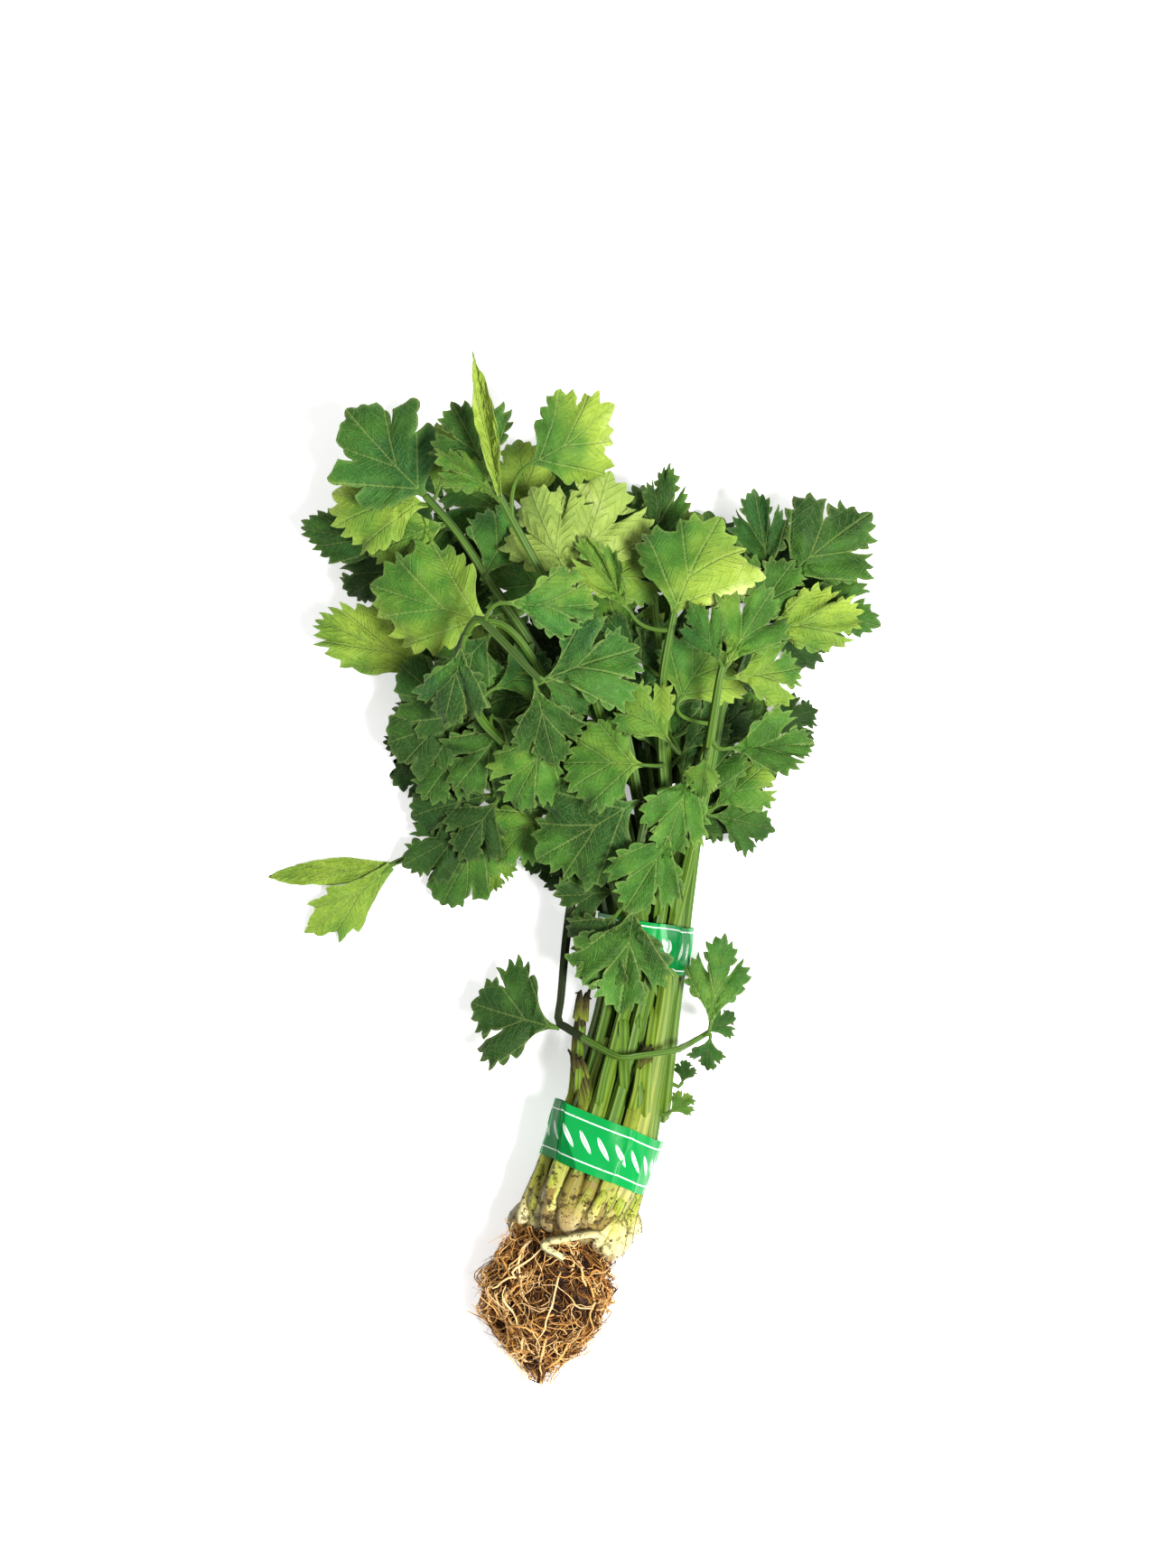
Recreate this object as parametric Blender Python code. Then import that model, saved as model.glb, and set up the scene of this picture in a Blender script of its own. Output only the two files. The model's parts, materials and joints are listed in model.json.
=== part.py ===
"""Chinese celery bunch, laid on its side: a root mass, three crowns, old cut stalks, leafy stalks and two
binding bands.  Metres, +Z up.  +Y runs from the roots to the leaves, and the bunch lies on z = 0."""

import itertools
import math
import random

import bmesh
import bpy
import numpy as np
from mathutils import Matrix, Vector
from mathutils.bvhtree import BVHTree
from mathutils.geometry import delaunay_2d_cdt

MM = 0.001
SEED = 11

# Middle line of the bound stalks, from the crowns to where the leaves spread
SPINE = [
    (-3.0, -150.0, 24.0),
    (1.3, -138.0, 24.0),
    (5.6, -122.0, 24.0),
    (12.8, -108.0, 23.5),
    (19.9, -84.0, 22.0),
    (26.0, -60.0, 21.0),
    (30.8, -29.4, 20.0),
    (36.0, 0.0, 21.0),
    (40.0, 25.0, 24.0),
]

# Binding bands
BAND_THICKNESS = 0.6
BAND_GAP = 0.35
BAND_SIDES = 26
BAND_LAP_SKEW = 1
LOWER_BAND_Y = -108.0
LOWER_BAND_WIDTH = 22.0
LOWER_BAND_RADIUS = 20.8
UPPER_BAND_Y = -29.4
UPPER_BAND_WIDTH = 18.5
UPPER_BAND_RADIUS = 15.8

# Stalks: radius where they leave the crown, at each band, and under the leaf
STALK_RADIUS_BASE = 2.1
STALK_RADIUS_SHEATH = 3.6
STALK_RADIUS_LOWER = 2.8
STALK_RADIUS_UPPER = 2.2
STALK_RADIUS_TIP = 1.35
STALK_SPREAD = 0.16
STALK_SIDES = 5
STALK_STEP = 4.5
STALK_RING_STEP = 24.0
STALK_GAP = 0.75
STALK_LOWEST = 0.6
RELAX_STEPS = 260
PART_GAP = 0.3
PART_STEPS = 400

# Crowns: where the roots meet the stalks
CROWN_GAP = 0.45
CROWN_FAN = 1.5
CROWNS = {
    "crown_left": ((-16.0, -137.5, 19.0), 10.0),
    "crown_middle": ((-1.0, -135.0, 34.0), 9.0),
    "crown_right": ((14.0, -142.0, 20.5), 11.5),
}
BROKEN_PETIOLE = [
    (11.0, -143.0, 29.0),
    (8.0, -139.5, 43.0),
    (-2.0, -141.0, 46.5),
    (-11.0, -143.5, 45.5),
    (-3.0, -149.0, 44.0),
]
BROKEN_PETIOLE_RADIUS = 1.5

# Root mass: a core along this line with strands over it
ROOT_TOP = (-7.0, -142.0, 21.0)
ROOT_TIP = (-11.5, -197.0, 12.0)
ROOT_PROFILE = [(0.0, 17.0), (0.12, 22.5), (0.38, 26.5), (0.6, 24.0), (0.8, 17.0), (1.0, 5.0)]
ROOT_HEIGHT = 0.9
ROOT_BOW = -2.2
ROOT_CORE_INSET = -4.0
ROOT_STRANDS = 30
ROOT_STRAND_RADIUS = 1.25
ROOT_GAP = 0.4

# Pieces with no more vertices than this are slivers or cut ends, and are dropped
SPECK_VERTICES = 30

# Leaflets
BLADE_THICKNESS = 0.8
BLADE_CLEARANCE = 0.6
PETIOLULE_RADIUS = 0.85
PETIOLULE_LONGER_THAN = 0.8
LATERAL_STEP = 5.0
LATERAL_STEM = 4.0

# Half outlines of a leaflet one unit long: stem end, wedge, toothed side lobe, cut, middle lobe
HALF_OUTLINES = {
    "cut": [
        (0.034, -0.04),
        (0.13, 0.24),
        (0.36, 0.37),
        (0.34, 0.46),
        (0.52, 0.57),
        (0.38, 0.61),
        (0.39, 0.76),
        (0.15, 0.60),
        (0.25, 0.85),
        (0.11, 0.84),
    ],
    "plain": [
        (0.034, -0.04),
        (0.20, 0.27),
        (0.52, 0.54),
        (0.36, 0.60),
        (0.36, 0.76),
        (0.16, 0.64),
        (0.22, 0.86),
    ],
    "fan": [
        (0.034, -0.04),
        (0.18, 0.15),
        (0.45, 0.27),
        (0.38, 0.38),
        (0.58, 0.48),
        (0.44, 0.57),
        (0.53, 0.75),
        (0.33, 0.71),
        (0.28, 0.93),
        (0.11, 0.83),
    ],
    "long": [
        (0.034, -0.04),
        (0.24, 0.18),
        (0.46, 0.42),
        (0.52, 0.62),
        (0.40, 0.66),
        (0.40, 0.82),
        (0.22, 0.80),
        (0.17, 0.94),
    ],
    "slender": [
        (0.05, -0.04),
        (0.16, 0.14),
        (0.29, 0.36),
        (0.29, 0.58),
        (0.20, 0.80),
    ],
}
OUTLINE_TIP = (0.0, 1.0)
MIDRIB_POINTS = [(0.0, 0.30), (0.0, 0.62)]
HALF_WIDTH = 0.52


def leaflet(
    heading, length, at=None, pitch=0, roll=0, curl=22, fold=6, cup=24, width=1.0, lie=False, kind="cut"
):
    """One leaflet: plan heading and length, and how it tilts, curls along its rib and folds across it."""
    return {
        "heading": heading,
        "length": length,
        "at": at,
        "pitch": pitch,
        "roll": roll,
        "curl": curl,
        "fold": fold,
        "cup": cup,
        "width": width,
        "lie": lie,
        "kind": kind,
    }


def leafy(end, heading, leaflets, via=(), pitch=0, tip_radius=STALK_RADIUS_TIP):
    """One leafy stalk: where its stem ends, the points that it passes on the way, and its leaflets."""
    return {
        "end": end,
        "heading": heading,
        "leaflets": leaflets,
        "via": via,
        "pitch": pitch,
        "tip_radius": tip_radius,
    }


# Leafy stalks, millimetres and degrees, the ones that lie on top first
LEAFY_STALKS = {
    "leafy_stalk_arching": leafy(
        (-11.4, 72.5, 68.0), -48,
        [
            leaflet(24, 43, pitch=0, roll=-8, curl=26, width=0.9),
            leaflet(-76, 36, pitch=-8, curl=28, width=0.8),
            leaflet(-32, 27, pitch=-6, curl=30, width=0.6),
            leaflet(-4, 38, at=(-25.4, 102.2, 78.0), pitch=5, curl=36, width=0.75, fold=20),
            leaflet(256, 42, at=(-40.5, 88.5, 73.0), pitch=-24, curl=22, width=0.65, fold=16),
        ],
        via=[(2, 32, 30), (-34, 56, 45), (-43, 82, 65), (-34, 97, 75), (-23, 87, 73)], pitch=-14,
    ),
    "leafy_stalk_top_spike": leafy(
        (-27.1, 143.2, 66.0), 114,
        [
            leaflet(100.5, 56, pitch=6, curl=8, fold=58, cup=6, width=0.42, kind="slender"),
            leaflet(135, 32, pitch=6, roll=26, curl=30, width=0.6),
            leaflet(118, 34, at=(-30.0, 150.0, 58.0), pitch=4, curl=16),
            leaflet(26, 40, at=(-14.8, 155.5, 72), pitch=10, roll=14, curl=40, cup=40, width=0.9, kind="fan"),
        ],
        via=[(14, 62, 46), (-7, 108, 60)], pitch=6,
    ),
    "leafy_stalk_right_star": leafy(
        (57.6, 78.4, 66.0), 78,
        [
            leaflet(118, 28, pitch=6, curl=26, width=0.65),
            leaflet(62, 38, pitch=4, curl=30, width=0.8),
            leaflet(6, 32, pitch=-4, curl=28, width=0.95),
            leaflet(4, 37, at=(58.0, 47.0, 56.0), pitch=2, curl=20, fold=30, width=0.75),
            leaflet(262, 18, at=(51.5, 45.0, 59.0), pitch=-4, curl=26, width=0.8),
        ],
        via=[(48.5, 12, 34), (52.7, 47, 54)], pitch=10,
    ),
    "leafy_stalk_round_fan": leafy(
        (39.4, 99.4, 58.0), 80,
        [
            leaflet(70, 43, pitch=16, curl=48, width=1.1, cup=34, kind="fan"),
            leaflet(122, 38, at=(23.6, 98.0, 55.0), pitch=8, curl=20, width=0.5, fold=30),
            leaflet(174, 31, at=(26.4, 41.0, 60.0), pitch=0, curl=28, width=1.05, kind="fan"),
        ],
        via=[(33, 40, 40), (35, 72, 51)], pitch=12,
    ),
    "leafy_stalk_over_band": leafy(
        (24.6, -12.0, 44.0), 266,
        [
            leaflet(262, 44, pitch=-4, curl=4, width=0.9, cup=34, fold=10),
            leaflet(232, 29, at=(18.0, -16.0, 42.0), pitch=-14, curl=20),
        ],
        via=[(32, 10, 35), (36, 27, 42), (31, 30, 49), (26.5, 12, 50)],
    ),
    "leafy_stalk_drooping": leafy(
        (53.6, -62.6, 27.0), 30,
        [
            leaflet(166, 36, at=(-6.0, -61.0, 24.0), pitch=2, curl=28, width=1.3),
            leaflet(90, 38, at=(53.6, -61.6, 27.0), pitch=6, curl=24, width=0.66),
            leaflet(34, 14, pitch=-10, curl=20, kind="plain"),
            leaflet(262, 15, at=(54.0, -64.0, 28.0), pitch=-10, curl=24, kind="plain"),
        ],
        via=[(20, 4, 27), (6, 8, 29), (-0.5, -8, 28), (-2.5, -34, 25), (-4.6, -60, 24), (8, -68, 36),
             (22, -72, 44.5), (40, -69, 41)],
        pitch=-8, tip_radius=0.95,
    ),
    "leafy_stalk_left_broad": leafy(
        (-32.4, 95.9, 51.0), 170,
        [
            leaflet(164, 49, pitch=8, curl=30, width=0.85, kind="fan"),
            leaflet(226, 31, pitch=-6, curl=30),
            leaflet(241, 41, at=(-6.0, 56.0, 53.0), pitch=-4, curl=34, width=0.75),
            leaflet(235, 36, at=(-25.0, 57.5, 45.0), pitch=-6, curl=30),
        ],
        via=[(22, 30, 34), (2, 56, 42)],
    ),
    "leafy_stalk_upper_left": leafy(
        (-56.0, 144.5, 46.0), 138,
        [
            leaflet(136, 46, pitch=6, curl=28, width=0.9, kind="fan"),
            leaflet(174, 41, pitch=1, curl=34, width=0.85, kind="fan"),
            leaflet(78, 31, pitch=4, curl=30),
            leaflet(196, 36, at=(-47.0, 134.0, 44.0), pitch=-4, curl=30),
            leaflet(62, 33, at=(-34.0, 113.0, 44.0), pitch=0, curl=26, kind="plain"),
        ],
        via=[(12, 50, 32), (-18, 92, 40)],
    ),
    "leafy_stalk_pale_crown": leafy(
        (2.6, 109.9, 45.0), 92,
        [
            leaflet(76, 46, pitch=10, curl=30),
            leaflet(116, 44, pitch=8, curl=34, width=0.9),
            leaflet(34, 33, pitch=4),
            leaflet(150, 37, at=(-3.0, 104.0, 43.0), pitch=2, curl=26),
            leaflet(201, 47, at=(24.0, 26.0, 47.0), pitch=-2, curl=30, width=0.85, kind="fan"),
        ],
        via=[(28, 30, 34), (17, 72, 40)],
    ),
    "leafy_stalk_right_broad": leafy(
        (81.4, 111.7, 28.0), 42,
        [
            leaflet(43, 44, pitch=6, curl=20),
            leaflet(100, 38, pitch=6, curl=20, width=0.6),
            leaflet(-20, 40, pitch=0, curl=18, width=0.7),
            leaflet(242, 37, at=(39.0, 16.0, 46.0), pitch=-4, curl=22, width=0.85),
        ],
        via=[(43, 22, 36), (62, 72, 34)],
    ),
    "leafy_stalk_right_low": leafy(
        (70.9, 92.4, 38.0), 18,
        [
            leaflet(8, 46, pitch=2, curl=20, width=0.6),
            leaflet(58, 33, pitch=4),
            leaflet(60, 29, at=(41.5, 66.0, 48.0), pitch=4, curl=26, width=1.1, kind="fan"),
            leaflet(248, 36, at=(47.0, 39.0, 50.0), pitch=-2, curl=26, width=0.8),
            leaflet(40, 12, at=(38.0, -94.5, 21.0), kind="plain"),
            leaflet(75, 10, at=(43.0, -83.0, 20.0), kind="plain"),
        ],
        via=[(47, 26, 34), (58, 62, 38)],
    ),
    "leafy_stalk_top_middle": leafy(
        (31.3, 122.2, 34.0), 84,
        [
            leaflet(79, 36, pitch=6, curl=14, width=0.55, fold=24),
            leaflet(121, 33, pitch=4),
            leaflet(46, 25, pitch=2),
            leaflet(120, 29, at=(38.0, 49.0, 61.0), pitch=4, curl=24, width=0.95),
        ],
        via=[(37, 34, 38), (36, 76, 40)],
    ),
    "leafy_stalk_left_yellow": leafy(
        (-54.1, 77.7, 28.0), 154,
        [
            leaflet(154, 51, pitch=4, curl=18, width=0.52, fold=20, kind="long"),
            leaflet(114, 31, pitch=0),
            leaflet(246, 30, pitch=-6),
            leaflet(116, 32, at=(-6.0, 55.5, 36.0), pitch=4, curl=24, kind="plain"),
        ],
        via=[(14, 36, 26), (-20, 62, 30)],
    ),
    "leafy_stalk_left_point": leafy(
        (-67.4, 125.7, 26.0), 168,
        [
            leaflet(169, 40, pitch=0, curl=18, width=0.56, kind="long"),
            leaflet(220, 28, pitch=-6),
            leaflet(126, 31, pitch=0),
            leaflet(136, 38, at=(-16.0, 72.0, 34.0), pitch=4, curl=24, kind="plain"),
        ],
        via=[(10, 44, 24), (-26, 88, 28)],
    ),
    "leafy_stalk_right_lowest": leafy(
        (55.0, 24.0, 20.0), 25,
        [
            leaflet(40, 30, pitch=10, curl=26, width=0.9),
            leaflet(-8, 27, pitch=-6, curl=24),
            leaflet(80, 29, pitch=4),
            leaflet(82, 32, at=(43.0, 36.0, 27.0), pitch=4, kind="plain"),
        ],
        via=[(45, 4, 21)],
    ),
    "leafy_stalk_left_dark": leafy(
        (-42.2, 57.4, 28.0), 188,
        [
            leaflet(190, 31, pitch=-4, curl=26, width=1.1),
            leaflet(145, 33, pitch=-2),
            leaflet(238, 33, pitch=-8),
        ],
        via=[(20, 22, 26), (-10, 46, 30)],
    ),
    "leafy_stalk_left_low": leafy(
        (-30.6, 29.4, 23.0), 196,
        [
            leaflet(192, 35, pitch=-2, curl=20),
            leaflet(232, 29, pitch=-4, curl=16),
            leaflet(150, 31, pitch=-4),
            leaflet(222, 29, at=(-10.0, 24.0, 26.0), pitch=-4, kind="plain"),
        ],
        via=[(22, 16, 23), (-4, 30, 25)],
    ),
    "leafy_stalk_hanging_left": leafy(
        (-33.8, 15.6, 12.0), 222,
        [
            leaflet(238, 35, pitch=-4, curl=10, width=0.85),
            leaflet(203, 36, pitch=0, curl=8, width=0.8),
            leaflet(266, 25, pitch=-4, curl=10, width=0.75),
        ],
        via=[(25, 6, 13), (4, 24, 14), (-16, 24, 13)],
    ),
    "leafy_stalk_on_the_table": leafy(
        (-71.0, 2.0, 4.5), 202,
        [
            leaflet(188, 49, width=0.36, curl=6, fold=4, cup=16, lie=True, kind="slender"),
            leaflet(221, 42, at=(-72.0, 0.5, 4.5), width=0.64, curl=6, fold=4, cup=16, lie=True),
        ],
        via=[(20, 2, 8), (-4, 15, 4.5), (-36, 12.5, 3.5)], tip_radius=0.95,
    ),
    "leafy_stalk_back_left": leafy(
        (-54.0, 109.9, 12.0), 158,
        [leaflet(166, 34, lie=True, kind="plain"), leaflet(112, 36, pitch=0, kind="plain")],
        via=[(16, 30, 15), (-18, 70, 16)],
    ),
    "leafy_stalk_back_top": leafy(
        (-16.6, 137.4, 24.0), 105,
        [
            leaflet(100, 32, pitch=4, kind="plain"),
            leaflet(147, 38, pitch=-4, kind="plain"),
            leaflet(58, 38, pitch=0, kind="plain"),
            leaflet(96, 37, at=(20.5, 74.0, 33.0), pitch=4, kind="plain"),
        ],
        via=[(26, 40, 24), (6, 92, 26)],
    ),
    "leafy_stalk_back_middle": leafy(
        (14.4, 118.0, 18.0), 88,
        [
            leaflet(98, 40, pitch=0, kind="plain"),
            leaflet(58, 40, pitch=-4, kind="plain"),
            leaflet(70, 36, at=(30.0, 50.0, 27.0), pitch=2, kind="plain"),
        ],
        via=[(32, 40, 22), (24, 80, 20)],
    ),
    "leafy_stalk_back_right": leafy(
        (53.6, 106.0, 16.0), 72,
        [
            leaflet(84, 36, pitch=0, kind="plain"),
            leaflet(38, 36, pitch=-4, kind="plain"),
            leaflet(92, 36, at=(48.5, 63.0, 26.0), pitch=2, kind="plain"),
        ],
        via=[(42, 36, 20), (48, 78, 20)],
    ),
    "leafy_stalk_under_right": leafy(
        (72.0, 90.0, 11.0), 10,
        [leaflet(8, 34, lie=True, kind="plain"), leaflet(56, 34, pitch=-4, kind="plain")],
        via=[(46, 20, 17), (58, 56, 14)],
    ),
    "leafy_stalk_under_left": leafy(
        (-43.0, 41.9, 10.0), 184,
        [leaflet(190, 31, lie=True, kind="plain"), leaflet(142, 34, pitch=-4, kind="plain")],
        via=[(18, 14, 15), (-12, 38, 14)],
    ),
    "leafy_stalk_under_right_low": leafy(
        (60.0, 44.0, 10.0), 5,
        [leaflet(-14, 27, lie=True, kind="plain"), leaflet(52, 30, pitch=-2, kind="plain")],
        via=[(44, 8, 15), (53, 30, 12)],
    ),
}

# Old stalks, cut short above the lower band
OLD_STALKS = {
    "old_stalk_long": (4.0, -54.0, 25.0),
    "old_stalk_short": (3.0, -76.0, 36.0),
    "old_stalk_broken": (28.5, -73.0, 39.0),
}

COLOURS = {
    "leaf": ((0.105, 0.270, 0.050, 1.0), 0.55),
    "old_stalk": ((0.330, 0.330, 0.110, 1.0), 0.70),
    "crown": ((0.640, 0.560, 0.330, 1.0), 0.65),
    "root": ((0.330, 0.160, 0.050, 1.0), 0.90),
    "band": ((0.010, 0.430, 0.120, 1.0), 0.30),
}


def clear_scene():
    for obj in list(bpy.data.objects):
        bpy.data.objects.remove(obj)


def unit(vector):
    return vector / np.linalg.norm(vector)


def direction(heading, pitch):
    """Unit vector of a plan heading and an elevation, both in degrees."""
    h, p = math.radians(heading), math.radians(pitch)
    return np.array([math.cos(p) * math.cos(h), math.cos(p) * math.sin(h), math.sin(p)])


def smooth_line(points, step):
    """Points about one step apart on a centripetal Catmull-Rom curve through the given ones."""
    points = np.array(points, float)
    ends = np.vstack([2 * points[0] - points[1], points, 2 * points[-1] - points[-2]])
    line = [points[0]]
    for a, b, c, d in zip(ends, ends[1:], ends[2:], ends[3:]):
        t = np.cumsum([0.0] + [math.sqrt(np.linalg.norm(q - p)) for p, q in ((a, b), (b, c), (c, d))])
        for share in np.linspace(0, 1, 25)[1:]:
            x = t[1] + share * (t[2] - t[1])
            ab = a + (b - a) * (x - t[0]) / (t[1] - t[0])
            bc = b + (c - b) * (x - t[1]) / (t[2] - t[1])
            cd = c + (d - c) * (x - t[2]) / (t[3] - t[2])
            abc = ab + (bc - ab) * (x - t[0]) / (t[2] - t[0])
            bcd = bc + (cd - bc) * (x - t[1]) / (t[3] - t[1])
            line.append(abc + (bcd - abc) * (x - t[1]) / (t[2] - t[1]))
    return resample(np.array(line), step)


def resample(line, step):
    along = np.concatenate([[0.0], np.cumsum(np.linalg.norm(np.diff(line, axis=0), axis=1))])
    count = max(3, round(along[-1] / step) + 1)
    wanted = np.linspace(0.0, along[-1], count)
    return np.column_stack([np.interp(wanted, along, line[:, k]) for k in range(3)])


def resample_corners(corners, step):
    """Points about one step apart along straight runs, with every corner kept."""
    line = [corners[0]]
    for a, b in zip(corners, corners[1:]):
        count = max(1, round(np.linalg.norm(b - a) / step))
        line += [a + (b - a) * (k + 1) / count for k in range(count)]
    return np.array(line)


SPINE_LINE = smooth_line(SPINE, 1.0)


def spine_at(y):
    """Centre, axis and sideways unit vectors of the bundle where its middle line has this y."""
    k = int(np.argmin(np.abs(SPINE_LINE[:, 1] - y)))
    a, b = SPINE_LINE[max(k - 2, 0)], SPINE_LINE[min(k + 2, len(SPINE_LINE) - 1)]
    axis = unit(b - a)
    side = unit(np.cross(axis, (0.0, 0.0, 1.0)))
    return SPINE_LINE[k], axis, side, np.cross(side, axis)


def spread_in_disc(wanted, radii, disc_radius):
    """Moves circles apart until they fit side by side in a disc, keeping their order."""
    at = np.array(wanted, float)
    radii = np.array(radii, float)
    reach = radii[:, None] + radii[None, :]
    for _ in range(400):
        apart = at[:, None] - at[None, :]
        distance = np.linalg.norm(apart, axis=2) + np.eye(len(at)) * 1e6
        short = np.maximum(reach - distance, 0.0)
        at += 0.35 * ((short / distance)[:, :, None] * apart).sum(axis=1)
        out = np.linalg.norm(at, axis=1)
        room = np.maximum(disc_radius - radii, 0.1)
        at *= np.minimum(1.0, room / np.maximum(out, 1e-6))[:, None]
    return at


def stalk_radius(along, length, bulk, tip_radius, leafy_one):
    """Radius at a distance along a stalk: wide at the crown, thinner at each band, thinnest at its leaf."""
    marks = [0.0, 6.0, 14.0, 32.0, 112.0, max(length, 113.0)]
    sizes = [
        STALK_RADIUS_BASE,
        STALK_RADIUS_SHEATH * 0.9,
        STALK_RADIUS_SHEATH * bulk,
        STALK_RADIUS_LOWER * bulk,
        STALK_RADIUS_UPPER * bulk if leafy_one else 2.0,
        tip_radius,
    ]
    return np.interp(along, marks, sizes)


def stalk_starts(names, bulks, rng):
    """Where each stalk passes the bands, and which crown it grows from."""
    wanted = []
    for name in names:
        end = LEAFY_STALKS[name]["end"] if name in LEAFY_STALKS else OLD_STALKS[name]
        if name in LEAFY_STALKS and LEAFY_STALKS[name]["via"]:
            end = np.mean([LEAFY_STALKS[name]["via"][0], end], axis=0)
        sideways = (end[0] - 20.0) / 70.0 if name in LEAFY_STALKS else (end[0] - 18.0) / 18.0
        upwards = (end[2] - 32.0) / 32.0 if name in LEAFY_STALKS else (end[2] - 22.0) / 16.0
        wanted.append((12.0 * sideways + rng.uniform(-1, 1), 12.0 * upwards + rng.uniform(-1, 1)))
    leafy_ones = [k for k, name in enumerate(names) if name in LEAFY_STALKS]
    gap = STALK_GAP / 2
    lower = spread_in_disc(wanted, STALK_RADIUS_LOWER * bulks + gap, LOWER_BAND_RADIUS - BAND_GAP)
    upper = np.zeros_like(lower)
    upper[leafy_ones] = spread_in_disc(
        lower[leafy_ones] * 0.7,
        STALK_RADIUS_UPPER * bulks[leafy_ones] + gap,
        UPPER_BAND_RADIUS - BAND_GAP,
    )
    return lower, upper


def crown_of(point):
    """The crown nearest to a point of the bundle's cross-section, and how far off its middle that is."""
    centre, _, side, up = spine_at(-138.0)
    best = None
    for name, (at, _) in CROWNS.items():
        seen = np.array([np.dot(np.array(at) - centre, side), np.dot(np.array(at) - centre, up)])
        distance = np.linalg.norm(seen - point)
        if best is None or distance < best[0]:
            best = (distance, name, point - seen)
    return best[1], best[2]


def first_path(name, lower, upper, crown, offset):
    """The stalk's line before it is bent clear of its neighbours."""
    centre, radius = np.array(CROWNS[crown][0]), CROWNS[crown][1] + CROWN_GAP
    points = []
    _, axis, side, up = spine_at(-138.0)
    outwards = unit(axis + (side * offset[0] + up * offset[1]) * CROWN_FAN / radius)
    points.append(centre + outwards * radius)
    points.append(centre + outwards * (radius + 6.0))
    c, axis, side, up = spine_at(LOWER_BAND_Y)
    at_lower = c + side * lower[0] + up * lower[1]
    points.append(at_lower)
    if name in OLD_STALKS:
        points.append(np.array(OLD_STALKS[name]))
        return smooth_line(points, STALK_STEP)
    at_band, axis, side, up = spine_at(UPPER_BAND_Y)
    at_upper = at_band + side * upper[0] + up * upper[1]
    bow = spine_at((c[1] + at_band[1]) / 2)[0] - (c + at_band) / 2
    points += [(at_lower + at_upper) / 2 + bow, at_upper]
    spec = LEAFY_STALKS[name]
    points += [np.array(p, float) for p in spec["via"]]
    end = np.array(spec["end"], float)
    back = direction(spec["heading"], spec["pitch"]) * 9.0
    points += [end - back, end]
    return smooth_line(points, STALK_STEP)


def keep_in_band(paths, weights, radii, band_y, width, band_radius):
    centre, axis, _, _ = spine_at(band_y)
    along = (paths - centre) @ axis
    offset = paths - centre - along[:, :, None] * axis
    out = np.linalg.norm(offset, axis=2)
    room = band_radius - BAND_GAP - radii
    inside = (np.abs(along) < width / 2 + 3.0) & (out > room) & (out < 1.4 * band_radius)
    move = np.where(inside, (room - out) / np.maximum(out, 1e-6), 0.0)
    return paths + (move * (weights > 0))[:, :, None] * offset


def bend_clear(paths, radii, weights, crowns, fixed_ends):
    """Pushes neighbouring stalks apart, smooths them, and keeps them in the bands and off the crowns."""
    count, samples, _ = paths.shape
    others = ~np.eye(count, dtype=bool)
    for step in range(RELAX_STEPS):
        inner = weights[:, 1:-1] * weights[:, 2:] * weights[:, :-2]
        bend = (paths[:, :-2] + paths[:, 2:]) / 2 - paths[:, 1:-1]
        paths[:, 1:-1] += 0.25 * inner[:, :, None] * bend
        push = np.zeros_like(paths)
        for shift in range(-3, 4):
            a = slice(max(0, -shift), samples - max(0, shift))
            b = slice(max(0, shift), samples - max(0, -shift))
            apart = paths[:, None, a] - paths[None, :, b]
            distance = np.sqrt((apart**2).sum(axis=3)) + 1e-9
            reach = radii[:, None, a] + radii[None, :, b] + STALK_GAP
            there = others[:, :, None] & (weights[:, None, a] > 0) & (weights[None, :, b] > 0)
            short = np.where(there, np.maximum(reach - distance, 0.0), 0.0)
            push[:, a] += ((short / distance)[..., None] * apart).sum(axis=1)
        paths += 0.22 * push * (weights > 0)[:, :, None]
        paths = keep_in_band(paths, weights, radii, LOWER_BAND_Y, LOWER_BAND_WIDTH, LOWER_BAND_RADIUS)
        paths = keep_in_band(paths, weights, radii, UPPER_BAND_Y, UPPER_BAND_WIDTH, UPPER_BAND_RADIUS)
        for at, crown_radius in CROWNS.values():
            apart = paths - np.array(at)
            distance = np.linalg.norm(apart, axis=2)
            short = np.maximum(crown_radius + radii + CROWN_GAP - distance, 0.0)
            short[:, 0] = np.maximum(crown_radius + CROWN_GAP - distance[:, 0], 0.0)
            paths += (short / np.maximum(distance, 1e-6))[:, :, None] * apart
        own = paths[:, 0] - crowns[:, :3]
        far = np.linalg.norm(own, axis=1)
        paths[:, 0] = crowns[:, :3] + own * ((crowns[:, 3] + CROWN_GAP) / far)[:, None]
        paths[:, :, 2] = np.maximum(paths[:, :, 2], radii + STALK_LOWEST)
        for row, column, point in fixed_ends:
            paths[row, column] = point
    return paths


def coarse(points, radii):
    """A stalk's line with the few rings that its solid needs, closest together where it bends."""
    tangents = np.gradient(points, axis=0)
    tangents /= np.linalg.norm(tangents, axis=1)[:, None]
    kept = [0]
    for k in range(1, len(points) - 1):
        turn = math.degrees(math.acos(min(1.0, float(np.dot(tangents[k], tangents[kept[-1]])))))
        if (k - kept[-1]) * STALK_STEP >= STALK_RING_STEP or turn > 20.0:
            kept.append(k)
    kept.append(len(points) - 1)
    return points[kept], radii[kept]


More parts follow.
